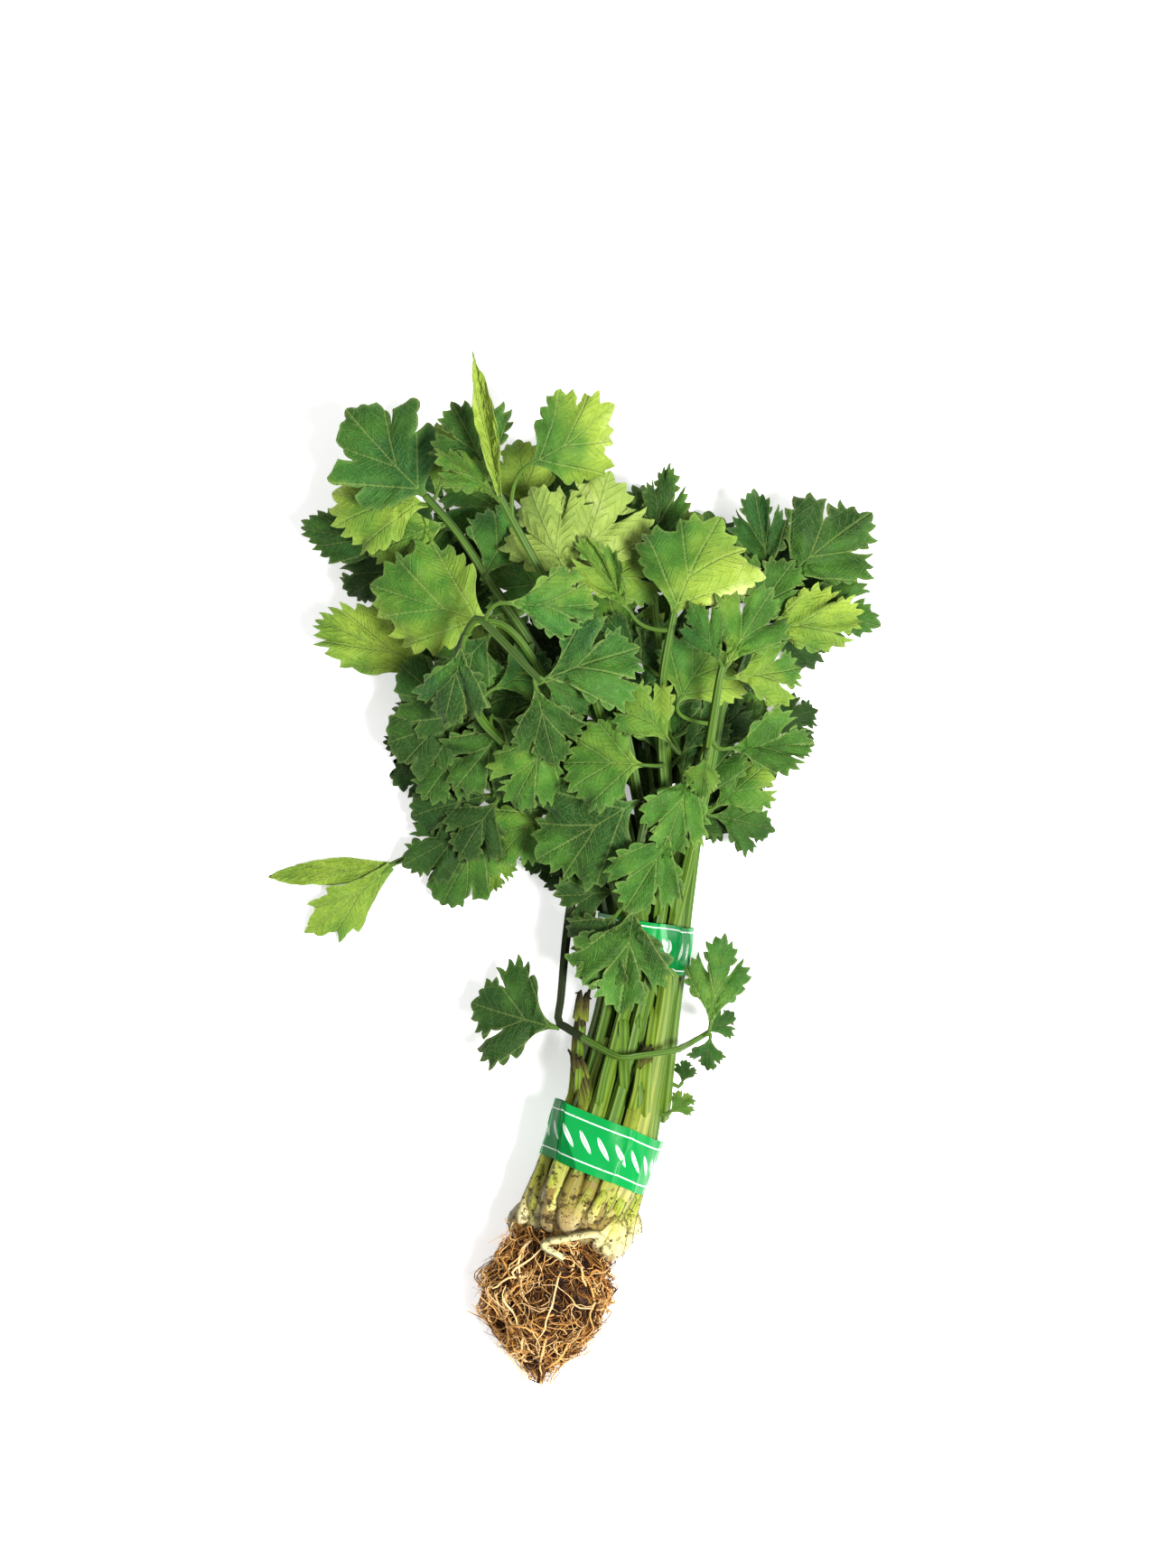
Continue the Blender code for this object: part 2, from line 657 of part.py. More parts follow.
def nearest_shares(a, b, c, d):
    """How far along segments a-b and c-d, as shares, their nearest points lie."""
    u, v, w = b - a, d - c, a - c
    uu, uv, vv = (u * u).sum(-1), (u * v).sum(-1), (v * v).sum(-1)
    uw, vw = (u * w).sum(-1), (v * w).sum(-1)
    s = np.clip((uv * vw - vv * uw) / np.maximum(uu * vv - uv * uv, 1e-9), 0.0, 1.0)
    for _ in range(2):
        t = np.clip((uv * s + vw) / vv, 0.0, 1.0)
        s = np.clip((uv * t - uw) / uu, 0.0, 1.0)
    return s, t


def part_lines(lines, crowns):
    """Moves the corners of the stalks' lines until no two stalks, and no stalk and crown, touch."""
    names = list(lines)
    points = np.vstack([lines[name][0] for name in names])
    radii = np.concatenate([lines[name][1] for name in names])
    owner = np.concatenate([[k] * len(lines[name][0]) for k, name in enumerate(names)])
    last = np.array([k for k in range(len(owner)) if k + 1 == len(owner) or owner[k + 1] != owner[k]])
    first = np.array([0, *(last[:-1] + 1)])
    fixed = points[last].copy()
    start = np.array([k for k in range(len(owner)) if k not in set(last)])
    other = owner[start][:, None] < owner[start][None, :]
    centres, sizes = np.array(crowns)[:, :3], np.array(crowns)[:, 3]
    for _ in range(PART_STEPS):
        a, b = points[start], points[start + 1]
        s, t = nearest_shares(a[:, None], b[:, None], a[None], b[None])
        apart = a[:, None] + s[..., None] * (b - a)[:, None] - a[None] - t[..., None] * (b - a)[None]
        distance = np.linalg.norm(apart, axis=2) + 1e-9
        ra, rb = radii[start], radii[start + 1]
        reach = ra[:, None] + s * (rb - ra)[:, None] + ra[None] + t * (rb - ra)[None] + PART_GAP
        short = np.where(other, np.maximum(reach - distance, 0.0), 0.0)
        push = 0.5 * (short / distance)[..., None] * apart
        move = np.zeros_like(points)
        np.add.at(move, start, (push * (1 - s)[..., None]).sum(axis=1) - (push * (1 - t)[..., None]).sum(axis=0))
        np.add.at(move, start + 1, (push * s[..., None]).sum(axis=1) - (push * t[..., None]).sum(axis=0))
        points += np.clip(move, -1.5, 1.5)
        for name, (at, crown_radius) in CROWNS.items():
            a, b = points[start], points[start + 1]
            share = np.clip(((np.array(at) - a) * (b - a)).sum(1) / ((b - a) ** 2).sum(1), 0.0, 1.0)
            out = a + share[:, None] * (b - a) - np.array(at)
            distance = np.linalg.norm(out, axis=1)
            need = crown_radius + CROWN_GAP + radii[start] * np.minimum(1.0, 4 * share)
            push = (np.maximum(need - distance, 0.0) / distance)[:, None] * out
            np.add.at(points, start, push * (1 - share)[:, None])
            np.add.at(points, start + 1, push * share[:, None])
        own = points[first] - centres
        ahead = points[first + 1] - points[first]
        far, run = np.linalg.norm(own, axis=1), np.linalg.norm(ahead, axis=1)
        slant = np.linalg.norm(np.cross(own, ahead), axis=1) / (far * run)
        points[first] = centres + own * ((sizes + CROWN_GAP + radii[first] * slant) / far)[:, None]
        points[:, 2] = np.maximum(points[:, 2], radii + STALK_LOWEST)
        points[last] = fixed
        if short.max() < 0.02:
            break
    return {name: (np.round(points[owner == k], 3), radii[owner == k]) for k, name in enumerate(names)}


def stalk_paths(rng):
    """The corners of every stalk's line, and its radii, as {name: (points, radii)}, in millimetres."""
    names = list(LEAFY_STALKS) + list(OLD_STALKS)
    bulks = np.array([1.0 + rng.uniform(-STALK_SPREAD, STALK_SPREAD) for _ in names])
    lower, upper = stalk_starts(names, bulks, rng)
    lines, owners = [], []
    for k, name in enumerate(names):
        crown, offset = crown_of(lower[k])
        owners.append(crown)
        lines.append(first_path(name, lower[k], upper[k], crown, offset))
    samples = max(len(line) for line in lines)
    paths = np.zeros((len(names), samples, 3))
    weights = np.zeros((len(names), samples))
    radii = np.zeros((len(names), samples))
    fixed = []
    for k, (name, line) in enumerate(zip(names, lines)):
        count = len(line)
        paths[k, :count] = line
        paths[k, count:] = line[-1] + np.array([0.0, 0.0, 500.0 + 20.0 * k])
        weights[k, :count] = 1.0
        leafy_one = name in LEAFY_STALKS
        tip = LEAFY_STALKS[name]["tip_radius"] if leafy_one else 2.0
        along = np.arange(count) * STALK_STEP
        radii[k, :count] = stalk_radius(along, along[-1], bulks[k], tip, leafy_one)
        fixed += [(k, count - 1 - n, line[-1 - n].copy()) for n in range(3)]
        for point in LEAFY_STALKS[name]["via"][1:] if leafy_one else ():
            nearest = int(np.argmin(np.linalg.norm(line - np.array(point), axis=1)))
            fixed.append((k, nearest, line[nearest].copy()))
    crowns = np.array([[*CROWNS[c][0], CROWNS[c][1]] for c in owners])
    paths = bend_clear(paths, radii, weights, crowns, fixed)
    found = {}
    for k, (name, line) in enumerate(zip(names, lines)):
        found[name] = coarse(paths[k, : len(line)], radii[k, : len(line)])
    return part_lines(found, crowns)


def across(tangent):
    """Two unit vectors square to a tangent, the second as near to up as it can be."""
    side = np.cross(tangent, (0.0, 0.0, 1.0))
    side = unit(side) if np.linalg.norm(side) > 0.05 else np.array([1.0, 0.0, 0.0])
    return side, np.cross(side, tangent)


def radii_along(corners, radii, line):
    """The radii at the points of a line that runs along the same corners."""
    marks = np.concatenate([[0.0], np.cumsum(np.linalg.norm(np.diff(corners, axis=0), axis=1))])
    wanted = np.concatenate([[0.0], np.cumsum(np.linalg.norm(np.diff(line, axis=0), axis=1))])
    return np.interp(wanted, marks, radii)


def tube(points, radii, sides):
    """Vertices and faces of a closed tube along a line, its frame carried from ring to ring."""
    points = np.array(points, float)
    tangents = np.gradient(points, axis=0)
    tangents /= np.linalg.norm(tangents, axis=1)[:, None]
    side, up = across(tangents[0])
    rings = []
    for point, tangent, radius in zip(points, tangents, radii):
        side = unit(side - tangent * np.dot(side, tangent))
        up = np.cross(side, tangent)
        for k in range(sides):
            angle = 2 * math.pi * k / sides
            rings.append(point + radius * (math.cos(angle) * side + math.sin(angle) * up))
    faces = [tuple(range(sides))]
    for ring in range(len(points) - 1):
        for k in range(sides):
            a, b = ring * sides + k, ring * sides + (k + 1) % sides
            faces.append((b, a, a + sides, b + sides))
    faces.append(tuple(range((len(points) - 1) * sides, len(points) * sides))[::-1])
    return np.array(rings), faces


def blade_plan(half_outline):
    """Leaflet outline and rib points of unit length, with the triangles that both faces share."""
    left = [(-a, b) for a, b in half_outline]
    outline = half_outline + [OUTLINE_TIP] + left[::-1]
    points = [Vector(p) for p in outline + MIDRIB_POINTS]
    edges = [(k, (k + 1) % len(outline)) for k in range(len(outline))]
    found = delaunay_2d_cdt(points, edges, [list(range(len(outline)))], 1, 1e-6)
    order = [old[0] for old in found[3]]
    triangles = [tuple(order[v] for v in face) for face in found[2]]
    return np.array(outline + MIDRIB_POINTS), len(outline), triangles


BLADE_PLANS = {kind: blade_plan(half) for kind, half in HALF_OUTLINES.items()}


def blade_surface(plan, spec, wave):
    """Where points of the flat leaflet plan, in unit lengths, lie once it is bent, folded and waved."""
    length = spec["length"]
    a = plan[:, 0] * (1.0 + wave[3] * np.sign(plan[:, 0])) + wave[4] * plan[:, 1] ** 2
    a, b = a * spec["width"] * length, plan[:, 1] * length
    curl = math.radians(spec["curl"]) / length
    turn = curl * b
    forward = np.where(abs(curl) > 1e-7, np.sin(turn) / curl, b)
    drop = np.where(abs(curl) > 1e-7, (1 - np.cos(turn)) / curl, 0.0)
    half = HALF_WIDTH * spec["width"] * length
    bend = math.radians(spec["cup"]) / half
    fold = math.radians(spec["fold"])
    away = np.abs(a)
    sideways = np.sign(a) * (math.sin(fold) - np.sin(fold - bend * away)) / bend
    rise = (np.cos(fold - bend * away) - math.cos(fold)) / bend
    share = away / half
    rise = rise + wave[0] * share**2 * np.sin(2 * math.pi * (wave[1] * plan[:, 1] + wave[2]) + np.sign(a))
    tangent = direction(spec["heading"], spec["pitch"])
    flat = direction(spec["heading"] + 90.0, 0.0)
    lift = np.cross(tangent, flat)
    roll = math.radians(spec["roll"])
    side = flat * math.cos(roll) + lift * math.sin(roll)
    normal = np.cross(tangent, side)
    out = np.cos(turn)[:, None] * normal + np.sin(turn)[:, None] * tangent
    line = forward[:, None] * tangent - drop[:, None] * normal
    return line + sideways[:, None] * side + rise[:, None] * out


def blade_mesh(spec, base, wave, thickness, grown=1.0):
    """A leaflet as a closed solid of this thickness, its two faces triangulated alike."""
    plan, edge, triangles = BLADE_PLANS[spec["kind"]]
    plan = plan * (grown, 1.0)
    small = 0.01
    middle = blade_surface(plan, spec, wave)
    slope_a = blade_surface(plan + (small, 0.0), spec, wave) - middle
    slope_b = blade_surface(plan + (0.0, small), spec, wave) - middle
    normal = np.cross(slope_b, slope_a)
    normal /= np.linalg.norm(normal, axis=1)[:, None]
    count = len(plan)
    points = np.vstack([middle - normal * thickness / 2, middle + normal * thickness / 2]) + base
    faces = list(triangles) + [tuple(v + count for v in t[::-1]) for t in triangles]
    for k in range(edge):
        m = (k + 1) % edge
        faces += [(m, k, k + count), (m, k + count, m + count)]
    return points, faces


def leaflet_mesh(spec, base, wave, stem, thickness, stem_radius, grown=1.0):
    """A leaflet with the short square stem that it hangs on, as one closed solid."""
    points, faces = blade_mesh(spec, base, wave, thickness, grown)
    if stem is None:
        return points, faces
    count, edge = len(points) // 2, BLADE_PLANS[spec["kind"]][1]
    faces = faces[:-2]
    ring = [edge - 1, 0, count, count + edge - 1]
    side = unit(points[0] - points[edge - 1])
    up = unit(points[count] - points[0])
    added = []
    for k in range(len(stem) - 2, -1, -1):
        tangent = unit(stem[k + 1] - stem[max(k - 1, 0)])
        side = unit(side - tangent * np.dot(side, tangent))
        up = unit(up - tangent * np.dot(up, tangent) - side * np.dot(up, side))
        following = [len(points) + len(added) + n for n in range(4)]
        for a, b in ((-1, -1), (1, -1), (1, 1), (-1, 1)):
            added.append(stem[k] + stem_radius * (a * side + b * up))
        for n in range(4):
            m = (n + 1) % 4
            faces.append((ring[n], ring[m], following[m], following[n]))
        ring = following
    faces.append(tuple(ring))
    return np.vstack([points, added]), faces


def outer_faces(kind):
    """The faces of a leaflet away from its stem end, which may not meet its own stalk."""
    plan, _, triangles = BLADE_PLANS[kind]
    away = [t for t in triangles if min(plan[v][1] for v in t) > 0.2]
    return away + [tuple(v + len(plan) for v in t[::-1]) for t in away]


def tree_of(points, faces):
    return BVHTree.FromPolygons([Vector(p) for p in points], faces)


class Obstacles:
    """What stands in the bunch already, with the name of the node that each shape belongs to."""

    def __init__(self):
        self.items = []

    def add(self, owner, points, faces):
        self.items.append((owner, tree_of(points, faces), points.min(axis=0), points.max(axis=0)))

    def hit(self, points, faces, owner, own_faces=()):
        low, high = points.min(axis=0), points.max(axis=0)
        tree, own_tree = None, None
        for name, other, other_low, other_high in self.items:
            if (low > other_high).any() or (high < other_low).any():
                continue
            if name == owner:
                if own_faces:
                    own_tree = own_tree or tree_of(points, own_faces)
                    if own_tree.overlap(other):
                        return True
                continue
            tree = tree or tree_of(points, faces)
            if tree.overlap(other):
                return True
        return False


def tries():
    """Small changes to a leaflet's height, tilt and heading, the smallest first."""
    heights = (0.0, 2.5, -2.5, 5.0, -5.0, 8.0, -8.0, 12.0, -12.0)
    tilts = (0.0, 8.0, -8.0, 16.0, -16.0, 26.0, -26.0)
    rolls = (0.0, 12.0, -12.0, 24.0, -24.0)
    turns = (0.0, 9.0, -9.0)
    found = [
        (abs(z) / 4 + abs(p) / 12 + abs(r) / 14 + abs(h) / 8, z, p, r, h)
        for z, p, r, h in itertools.product(heights, tilts, rolls, turns)
    ]
    return [f[1:] for f in sorted(found)][:420]


TRIES = tries()


def petiolules(line, base, tangent, share_on):
    """Ways for a short stem to run from a stalk to a leaflet's base, or none where the base is on it."""
    distance = np.linalg.norm(line - base, axis=1)
    nearest = min(int(np.argmin(distance)), len(line) - 2)
    if distance.min() < PETIOLULE_LONGER_THAN:
        return [None]
    found = []
    for back in (0.5, 0.0, 1.0, 1.6):
        first = max(0, nearest - int(distance[nearest] / STALK_STEP * back))
        start = line[first] + share_on * (line[first + 1] - line[first])
        reach = np.linalg.norm(base - start)
        bow = base - tangent * reach * 0.45
        share = np.linspace(0, 1, 3 if reach < 9 else 4 if reach < 16 else 5)[:, None]
        found.append((1 - share) ** 2 * start + 2 * share * (1 - share) * bow + share**2 * base)
    return found


def place_leaflet(name, number, spec, line, obstacles, rng):
    """Finds the least change that sets a leaflet clear of all that stands already."""
    base = line[-1] if spec["at"] is None else np.array(spec["at"], float)
    if spec["at"] is None and number > 0:
        back = LATERAL_STEP * ((number + 1) // 2)
        base = base - back * unit(line[-1] - line[-3])
        base = base + direction(spec["heading"], spec["pitch"]) * LATERAL_STEM
    wave = (rng.uniform(0.6, 1.6), rng.choice((1.0, 1.5, 2.0)), rng.random())
    wave += (rng.uniform(-0.12, 0.12), rng.uniform(-0.1, 0.1))
    away = outer_faces(spec["kind"])
    for size in (1.0, 0.86, 0.72):
        for height, tilt, roll, turn in TRIES:
            trial = dict(spec)
            trial["length"] = spec["length"] * size
            trial["pitch"] += tilt
            trial["roll"] += roll
            trial["heading"] += turn
            at = base + np.array([0.0, 0.0, height])
            if spec["lie"]:
                fall = min(0.8, max(0.0, (at[2] - 1.2) / trial["length"]))
                trial["pitch"] = tilt / 3 - math.degrees(math.asin(fall))
            points, faces = blade_mesh(trial, at, wave, BLADE_THICKNESS)
            lowest = points[:, 2].min()
            if spec["lie"]:
                at[2] -= lowest - 0.05
                lowest = 0.05
            if lowest < 0.04 or at[2] < 1.5:
                continue
            thick = BLADE_THICKNESS + 2 * BLADE_CLEARANCE
            if obstacles.hit(*blade_mesh(trial, at, wave, thick, 1.05), name, away):
                continue
            tangent = direction(trial["heading"], trial["pitch"])
            for stem in petiolules(line, at, tangent, 0.2 + 0.18 * (number % 4)):
                padded = leaflet_mesh(trial, at, wave, stem, thick, PETIOLULE_RADIUS + BLADE_CLEARANCE)
                if stem is None or not obstacles.hit(*padded, name):
                    return {"spec": trial, "base": np.round(at, 3), "wave": wave, "stem": stem}
    return None


def mesh_object(name, points, faces, collection):
    """A named object from vertices in millimetres."""
    mesh = bpy.data.meshes.new(name)
    mesh.from_pydata([Vector(p) * MM for p in points], [], faces)
    edit = bmesh.new()
    edit.from_mesh(mesh)
    bmesh.ops.recalc_face_normals(edit, faces=edit.faces)
    edit.to_mesh(mesh)
    edit.free()
    obj = bpy.data.objects.new(name, mesh)
    collection.objects.link(obj)
    return obj


def paint(obj, slot):
    """Gives an object its own material in the colour of its slot."""
    colour, roughness = COLOURS[slot]
    material = bpy.data.materials.new(obj.name)
    material.use_nodes = True
    shader = material.node_tree.nodes["Principled BSDF"]
    shader.inputs["Base Color"].default_value = colour
    shader.inputs["Roughness"].default_value = roughness
    obj.data.materials.clear()
    obj.data.materials.append(material)


def connected_pieces(edit):
    """The vertices of a mesh, piece by connected piece."""
    pieces, reached = [], set()
    for first in edit.verts:
        if first in reached:
            continue
        reached.add(first)
        piece, waiting = [first], [first]
        while waiting:
            vertex = waiting.pop()
            for edge in vertex.link_edges:
                other = edge.other_vert(vertex)
                if other not in reached:
                    reached.add(other)
                    piece.append(other)
                    waiting.append(other)
        pieces.append(piece)
    return pieces


def one_closed_body(mesh):
    """Drops the slivers and cut ends that a join leaves; true where one closed body remains."""
    edit = bmesh.new()
    edit.from_mesh(mesh)
    pieces = connected_pieces(edit)
    bodies = [piece for piece in pieces if len(piece) > SPECK_VERTICES]
    specks = [vertex for piece in pieces if len(piece) <= SPECK_VERTICES for vertex in piece]
    bmesh.ops.delete(edit, geom=specks, context="VERTS")
    closed = all(len(edge.link_faces) == 2 for edge in edit.edges)
    edit.to_mesh(mesh)
    edit.free()
    return closed and len(bodies) == 1


def join_collection(obj, parts, operation="UNION"):
    """Joins a collection's objects into one, or cuts them from it, and removes them."""
    for solver in ("MANIFOLD", "EXACT"):
        modifier = obj.modifiers.new("join", "BOOLEAN")
        modifier.operation = operation
        modifier.solver = solver
        modifier.operand_type = "COLLECTION"
        modifier.collection = parts
        graph = bpy.context.evaluated_depsgraph_get()
        mesh = bpy.data.meshes.new_from_object(obj.evaluated_get(graph))
        obj.modifiers.clear()
        if one_closed_body(mesh):
            break
    obj.data = mesh
    for part in list(parts.objects):
        bpy.data.objects.remove(part)
    bpy.data.collections.remove(parts)


def parts_collection(name):
    parts = bpy.data.collections.new(name)
    bpy.context.scene.collection.children.link(parts)
    return parts


def hull_ring(paths, band_y, band_radius, offset, reach):
    """Directions, touching points and the band's own axes, round the stalks that a band lies on."""
    centre, axis, side, up = spine_at(band_y)
    seen = []
    for corners, corner_radii in paths.values():
        line = resample_corners(corners, 1.5)
        radii = radii_along(corners, corner_radii, line)
        along = (line - centre) @ axis
        out = line - centre - along[:, None] * axis
        near = (np.abs(along - offset) < reach) & (np.linalg.norm(out, axis=1) < 1.2 * band_radius)
        for point, radius in zip(out[near], radii[near]):
            seen.append((np.dot(point, side), np.dot(point, up), radius))
    seen = np.array(seen)
    ring = []
    for k in range(BAND_SIDES):
        angle = 2 * math.pi * k / BAND_SIDES
        normal = np.array([math.cos(angle), math.sin(angle)])
        support = seen[:, :2] @ normal + seen[:, 2]
        best = seen[int(np.argmax(support))]
        touch = best[:2] + best[2] * normal
        at = centre + axis * offset + side * touch[0] + up * touch[1]
        ring.append((at, side * normal[0] + up * normal[1]))
    return ring


def band_mesh(paths, band_y, band_radius, width, lap):
    """A binding band that follows the outline of the stalks it holds, with a second layer where it laps."""
    inner, outer = [], []
    for row, offset in enumerate((-width / 2, width / 2)):
        ring = hull_ring(paths, band_y, band_radius, offset, width / 2 + 1.0)
        for k, (point, outwards) in enumerate(ring):
            layers = 2.0 if lap[0] <= k - row * BAND_LAP_SKEW <= lap[1] else 1.0
            inner.append(point + outwards * BAND_GAP)
            outer.append(point + outwards * (BAND_GAP + BAND_THICKNESS * layers))
    points = np.array(inner + outer)
    faces = []
    rows = [0, 1, 3, 2]
    for row, following in zip(rows, rows[1:] + rows[:1]):
        for k in range(BAND_SIDES):
            m = (k + 1) % BAND_SIDES
            a, b = row * BAND_SIDES, following * BAND_SIDES
            faces.append((a + k, a + m, b + m, b + k))
    return points, faces


def crown_mesh(at, radius, rng):
    """A crown: a lumpy ball, drawn out a little towards the roots."""
    edit = bmesh.new()
    bmesh.ops.create_icosphere(edit, subdivisions=2, radius=radius)
    points = np.array([v.co[:] for v in edit.verts])
    faces = [tuple(v.index for v in f.verts) for f in edit.faces]
    edit.free()
    phase = [rng.uniform(0, 6) for _ in range(3)]
    lumps = np.sin(points[:, 0] * 0.55 + phase[0]) + np.sin(points[:, 2] * 0.65 + phase[1])
    points *= (0.96 + 0.02 * lumps)[:, None]
    return points + np.array(at), faces


def root_frame():
    top, tip = np.array(ROOT_TOP), np.array(ROOT_TIP)
    axis = unit(tip - top)
    side, up = across(axis)
    return top, axis, side, up, np.linalg.norm(tip - top)


def root_surface(share, angle, proud):
    """A point on the root mass: share of the way to its tip, angle round it, and height over its skin."""
    top, axis, side, up, length = root_frame()
    radius = np.interp(share, [p[0] for p in ROOT_PROFILE], [p[1] for p in ROOT_PROFILE])
    radius *= 1.0 + 0.07 * math.sin(3 * angle + 5 * share) + 0.05 * math.sin(5 * angle - 9 * share)
    radius += proud
    across_axis = math.cos(angle) * side + ROOT_HEIGHT * math.sin(angle) * up
    bow = ROOT_BOW * math.sin(math.pi * min(1.0, share))
    return top + axis * share * length + radius * across_axis + np.array([bow, 0.0, 0.0])


def root_core():
    """The packed middle of the root mass, with a small flat under it where it rests."""
    rings, sides = 8, 14
    points = [np.array(ROOT_TOP)]
    for ring in range(rings):
        share = ring / (rings - 1)
        points += [root_surface(share, 2 * math.pi * k / sides, ROOT_CORE_INSET) for k in range(sides)]
    points.append(np.array(ROOT_TIP) + (np.array(ROOT_TIP) - np.array(ROOT_TOP)) * 0.04)
    points = np.array(points)
    points[:, 2] = np.maximum(points[:, 2], 0.0)
    faces = [(0, 1 + (k + 1) % sides, 1 + k) for k in range(sides)]
    for ring in range(rings - 1):
        for k in range(sides):
            a, b = 1 + ring * sides + k, 1 + ring * sides + (k + 1) % sides
            faces.append((a, b, b + sides, a + sides))
    last = 1 + (rings - 1) * sides
    faces += [(last + k, last + (k + 1) % sides, len(points) - 1) for k in range(sides)]
    return points, faces


def root_strand(rng, number):
    """One root strand that leaves the core, runs over it and stands out or dips in at its end."""
    angle = 2 * math.pi * (number * 0.618 + rng.uniform(-0.05, 0.05))
    start = 0.44 * rng.random() ** 1.8 - 0.05
    span = rng.uniform(0.42, 0.72)
    drift = rng.uniform(-1.3, 1.3)
    phase = rng.uniform(0, 6)
    stands_out = rng.random() < 0.45
    steps = 5
    line = []
    for k in range(steps):
        t = k / (steps - 1)
        proud = 0.4 + 0.9 * math.sin(4.0 * t + phase)
        if k == 0:
            proud = ROOT_CORE_INSET - 3.0
        if k == steps - 1:
            proud = rng.uniform(1.5, 4.0) if stands_out else ROOT_CORE_INSET - 3.0
        point = root_surface(min(1.06, start + span * t), angle + drift * t, proud)
        point[2] = max(point[2], 1.4)
        line.append(point)
    return np.array(line)


def build_bands(paths, collection, obstacles):
    for name, band_y, band_radius, width, lap in (
        ("band_lower", LOWER_BAND_Y, LOWER_BAND_RADIUS, LOWER_BAND_WIDTH, (8, 12)),
        ("band_upper", UPPER_BAND_Y, UPPER_BAND_RADIUS, UPPER_BAND_WIDTH, (1, 5)),
    ):
        points, faces = band_mesh(paths, band_y, band_radius, width, lap)
        obstacles.add(name, points, faces)
        paint(mesh_object(name, points, faces, collection), "band")


def build_crowns(collection, obstacles, rng):
    for name, (at, radius) in CROWNS.items():
        points, faces = crown_mesh(at, radius, rng)
        obstacles.add(name, points, faces)
        crown = mesh_object(name, points, faces, collection)
        if name == "crown_right":
            parts = parts_collection("petioles")
            line = smooth_line(BROKEN_PETIOLE, 6.0)
            points, faces = tube(line, [BROKEN_PETIOLE_RADIUS] * len(line), STALK_SIDES)
            mesh_object("broken_petiole", points, faces, parts)
            join_collection(crown, parts)
        paint(crown, "crown")


def build_roots(collection, rng):
    core = mesh_object("root_mass", *root_core(), collection)
    strands = parts_collection("strands")
    for k in range(ROOT_STRANDS):
        line = root_strand(rng, k)
        radii = np.linspace(ROOT_STRAND_RADIUS, ROOT_STRAND_RADIUS * 0.6, len(line))
        mesh_object(f"strand_{k}", *tube(line, radii, 3), strands)
    join_collection(core, strands)
    cutters = parts_collection("crown_seats")
    for name, (at, radius) in CROWNS.items():
        edit = bmesh.new()
        bmesh.ops.create_icosphere(edit, subdivisions=2, radius=(radius + ROOT_GAP) * 1.03)
        points = np.array([v.co[:] for v in edit.verts]) + np.array(at)
        faces = [tuple(v.index for v in f.verts) for f in edit.faces]
        edit.free()
        mesh_object(f"seat_{name}", points, faces, cutters)
    join_collection(core, cutters, "DIFFERENCE")
    paint(core, "root")


def grow(rng):
    """Lines and leaflets of every stalk, set clear of each other."""
    paths = stalk_paths(rng)
    obstacles = Obstacles()
    for name, (line, radii) in paths.items():
        obstacles.add(name, *tube(line, radii, STALK_SIDES))
    return paths, obstacles


def build_stalks(paths, obstacles, collection, rng):
    dropped = []
    for name, spec in LEAFY_STALKS.items():
        rings = paths[name]
        line = resample_corners(rings[0], STALK_STEP)
        placed = []
        for number, one in enumerate(spec["leaflets"]):
            found = place_leaflet(name, number, one, line, obstacles, rng)
            if found is None:
                dropped.append((name, number))
                continue
            placed.append(leaflet_mesh(**found, thickness=BLADE_THICKNESS, stem_radius=PETIOLULE_RADIUS))
            obstacles.add(name, *placed[-1])
        stalk = mesh_object(name, *tube(*rings, STALK_SIDES), collection)
        parts = parts_collection("leaflets")
        for number, solid in enumerate(placed):
            mesh_object(f"leaflet_{number}", *solid, parts)
        join_collection(stalk, parts)
        paint(stalk, "leaf")
    for name in OLD_STALKS:
        stalk = mesh_object(name, *tube(*paths[name], STALK_SIDES), collection)
        paint(stalk, "old_stalk")
    return dropped


def centre_on_origin(collection):
    """Moves every solid alike, so that the middle of the footprint is the origin."""
    corners = np.array([v.co[:] for obj in collection.objects for v in obj.data.vertices])
    low, high = corners.min(axis=0), corners.max(axis=0)
    shift = Vector((-(low[0] + high[0]) / 2, -(low[1] + high[1]) / 2, -low[2]))
    for obj in collection.objects:
        obj.data.transform(Matrix.Translation(shift))
    return shift


def main():
    clear_scene()
    collection = bpy.data.collections.new("chinese_celery_bunch")
    bpy.context.scene.collection.children.link(collection)
    rng = random.Random(SEED)
    paths, obstacles = grow(rng)
    build_bands(paths, collection, obstacles)
    build_crowns(collection, obstacles, rng)
    build_roots(collection, random.Random(SEED + 1))
    root = bpy.data.objects["root_mass"]
    points = np.array([v.co[:] for v in root.data.vertices]) / MM
    obstacles.add("root_mass", points, [tuple(p.vertices) for p in root.data.polygons])
    dropped = build_stalks(paths, obstacles, collection, rng)
    print("leaflets left out:", dropped)
    centre_on_origin(collection)


if __name__ == "__main__":
    main()
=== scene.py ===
"""Chinese celery bunch laid on its side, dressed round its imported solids: leafy stalks with toothed, veined
leaflets, old cut stalks, crowns with their sheaths, a tangle of roots, soil, and two green binding bands.
The tables are in millimetres, +Y from the roots to the leaves, and the bunch lies on z = 0."""

import json
import math
import random

import bmesh
import bpy
import numpy as np
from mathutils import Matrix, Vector
from mathutils.geometry import delaunay_2d_cdt

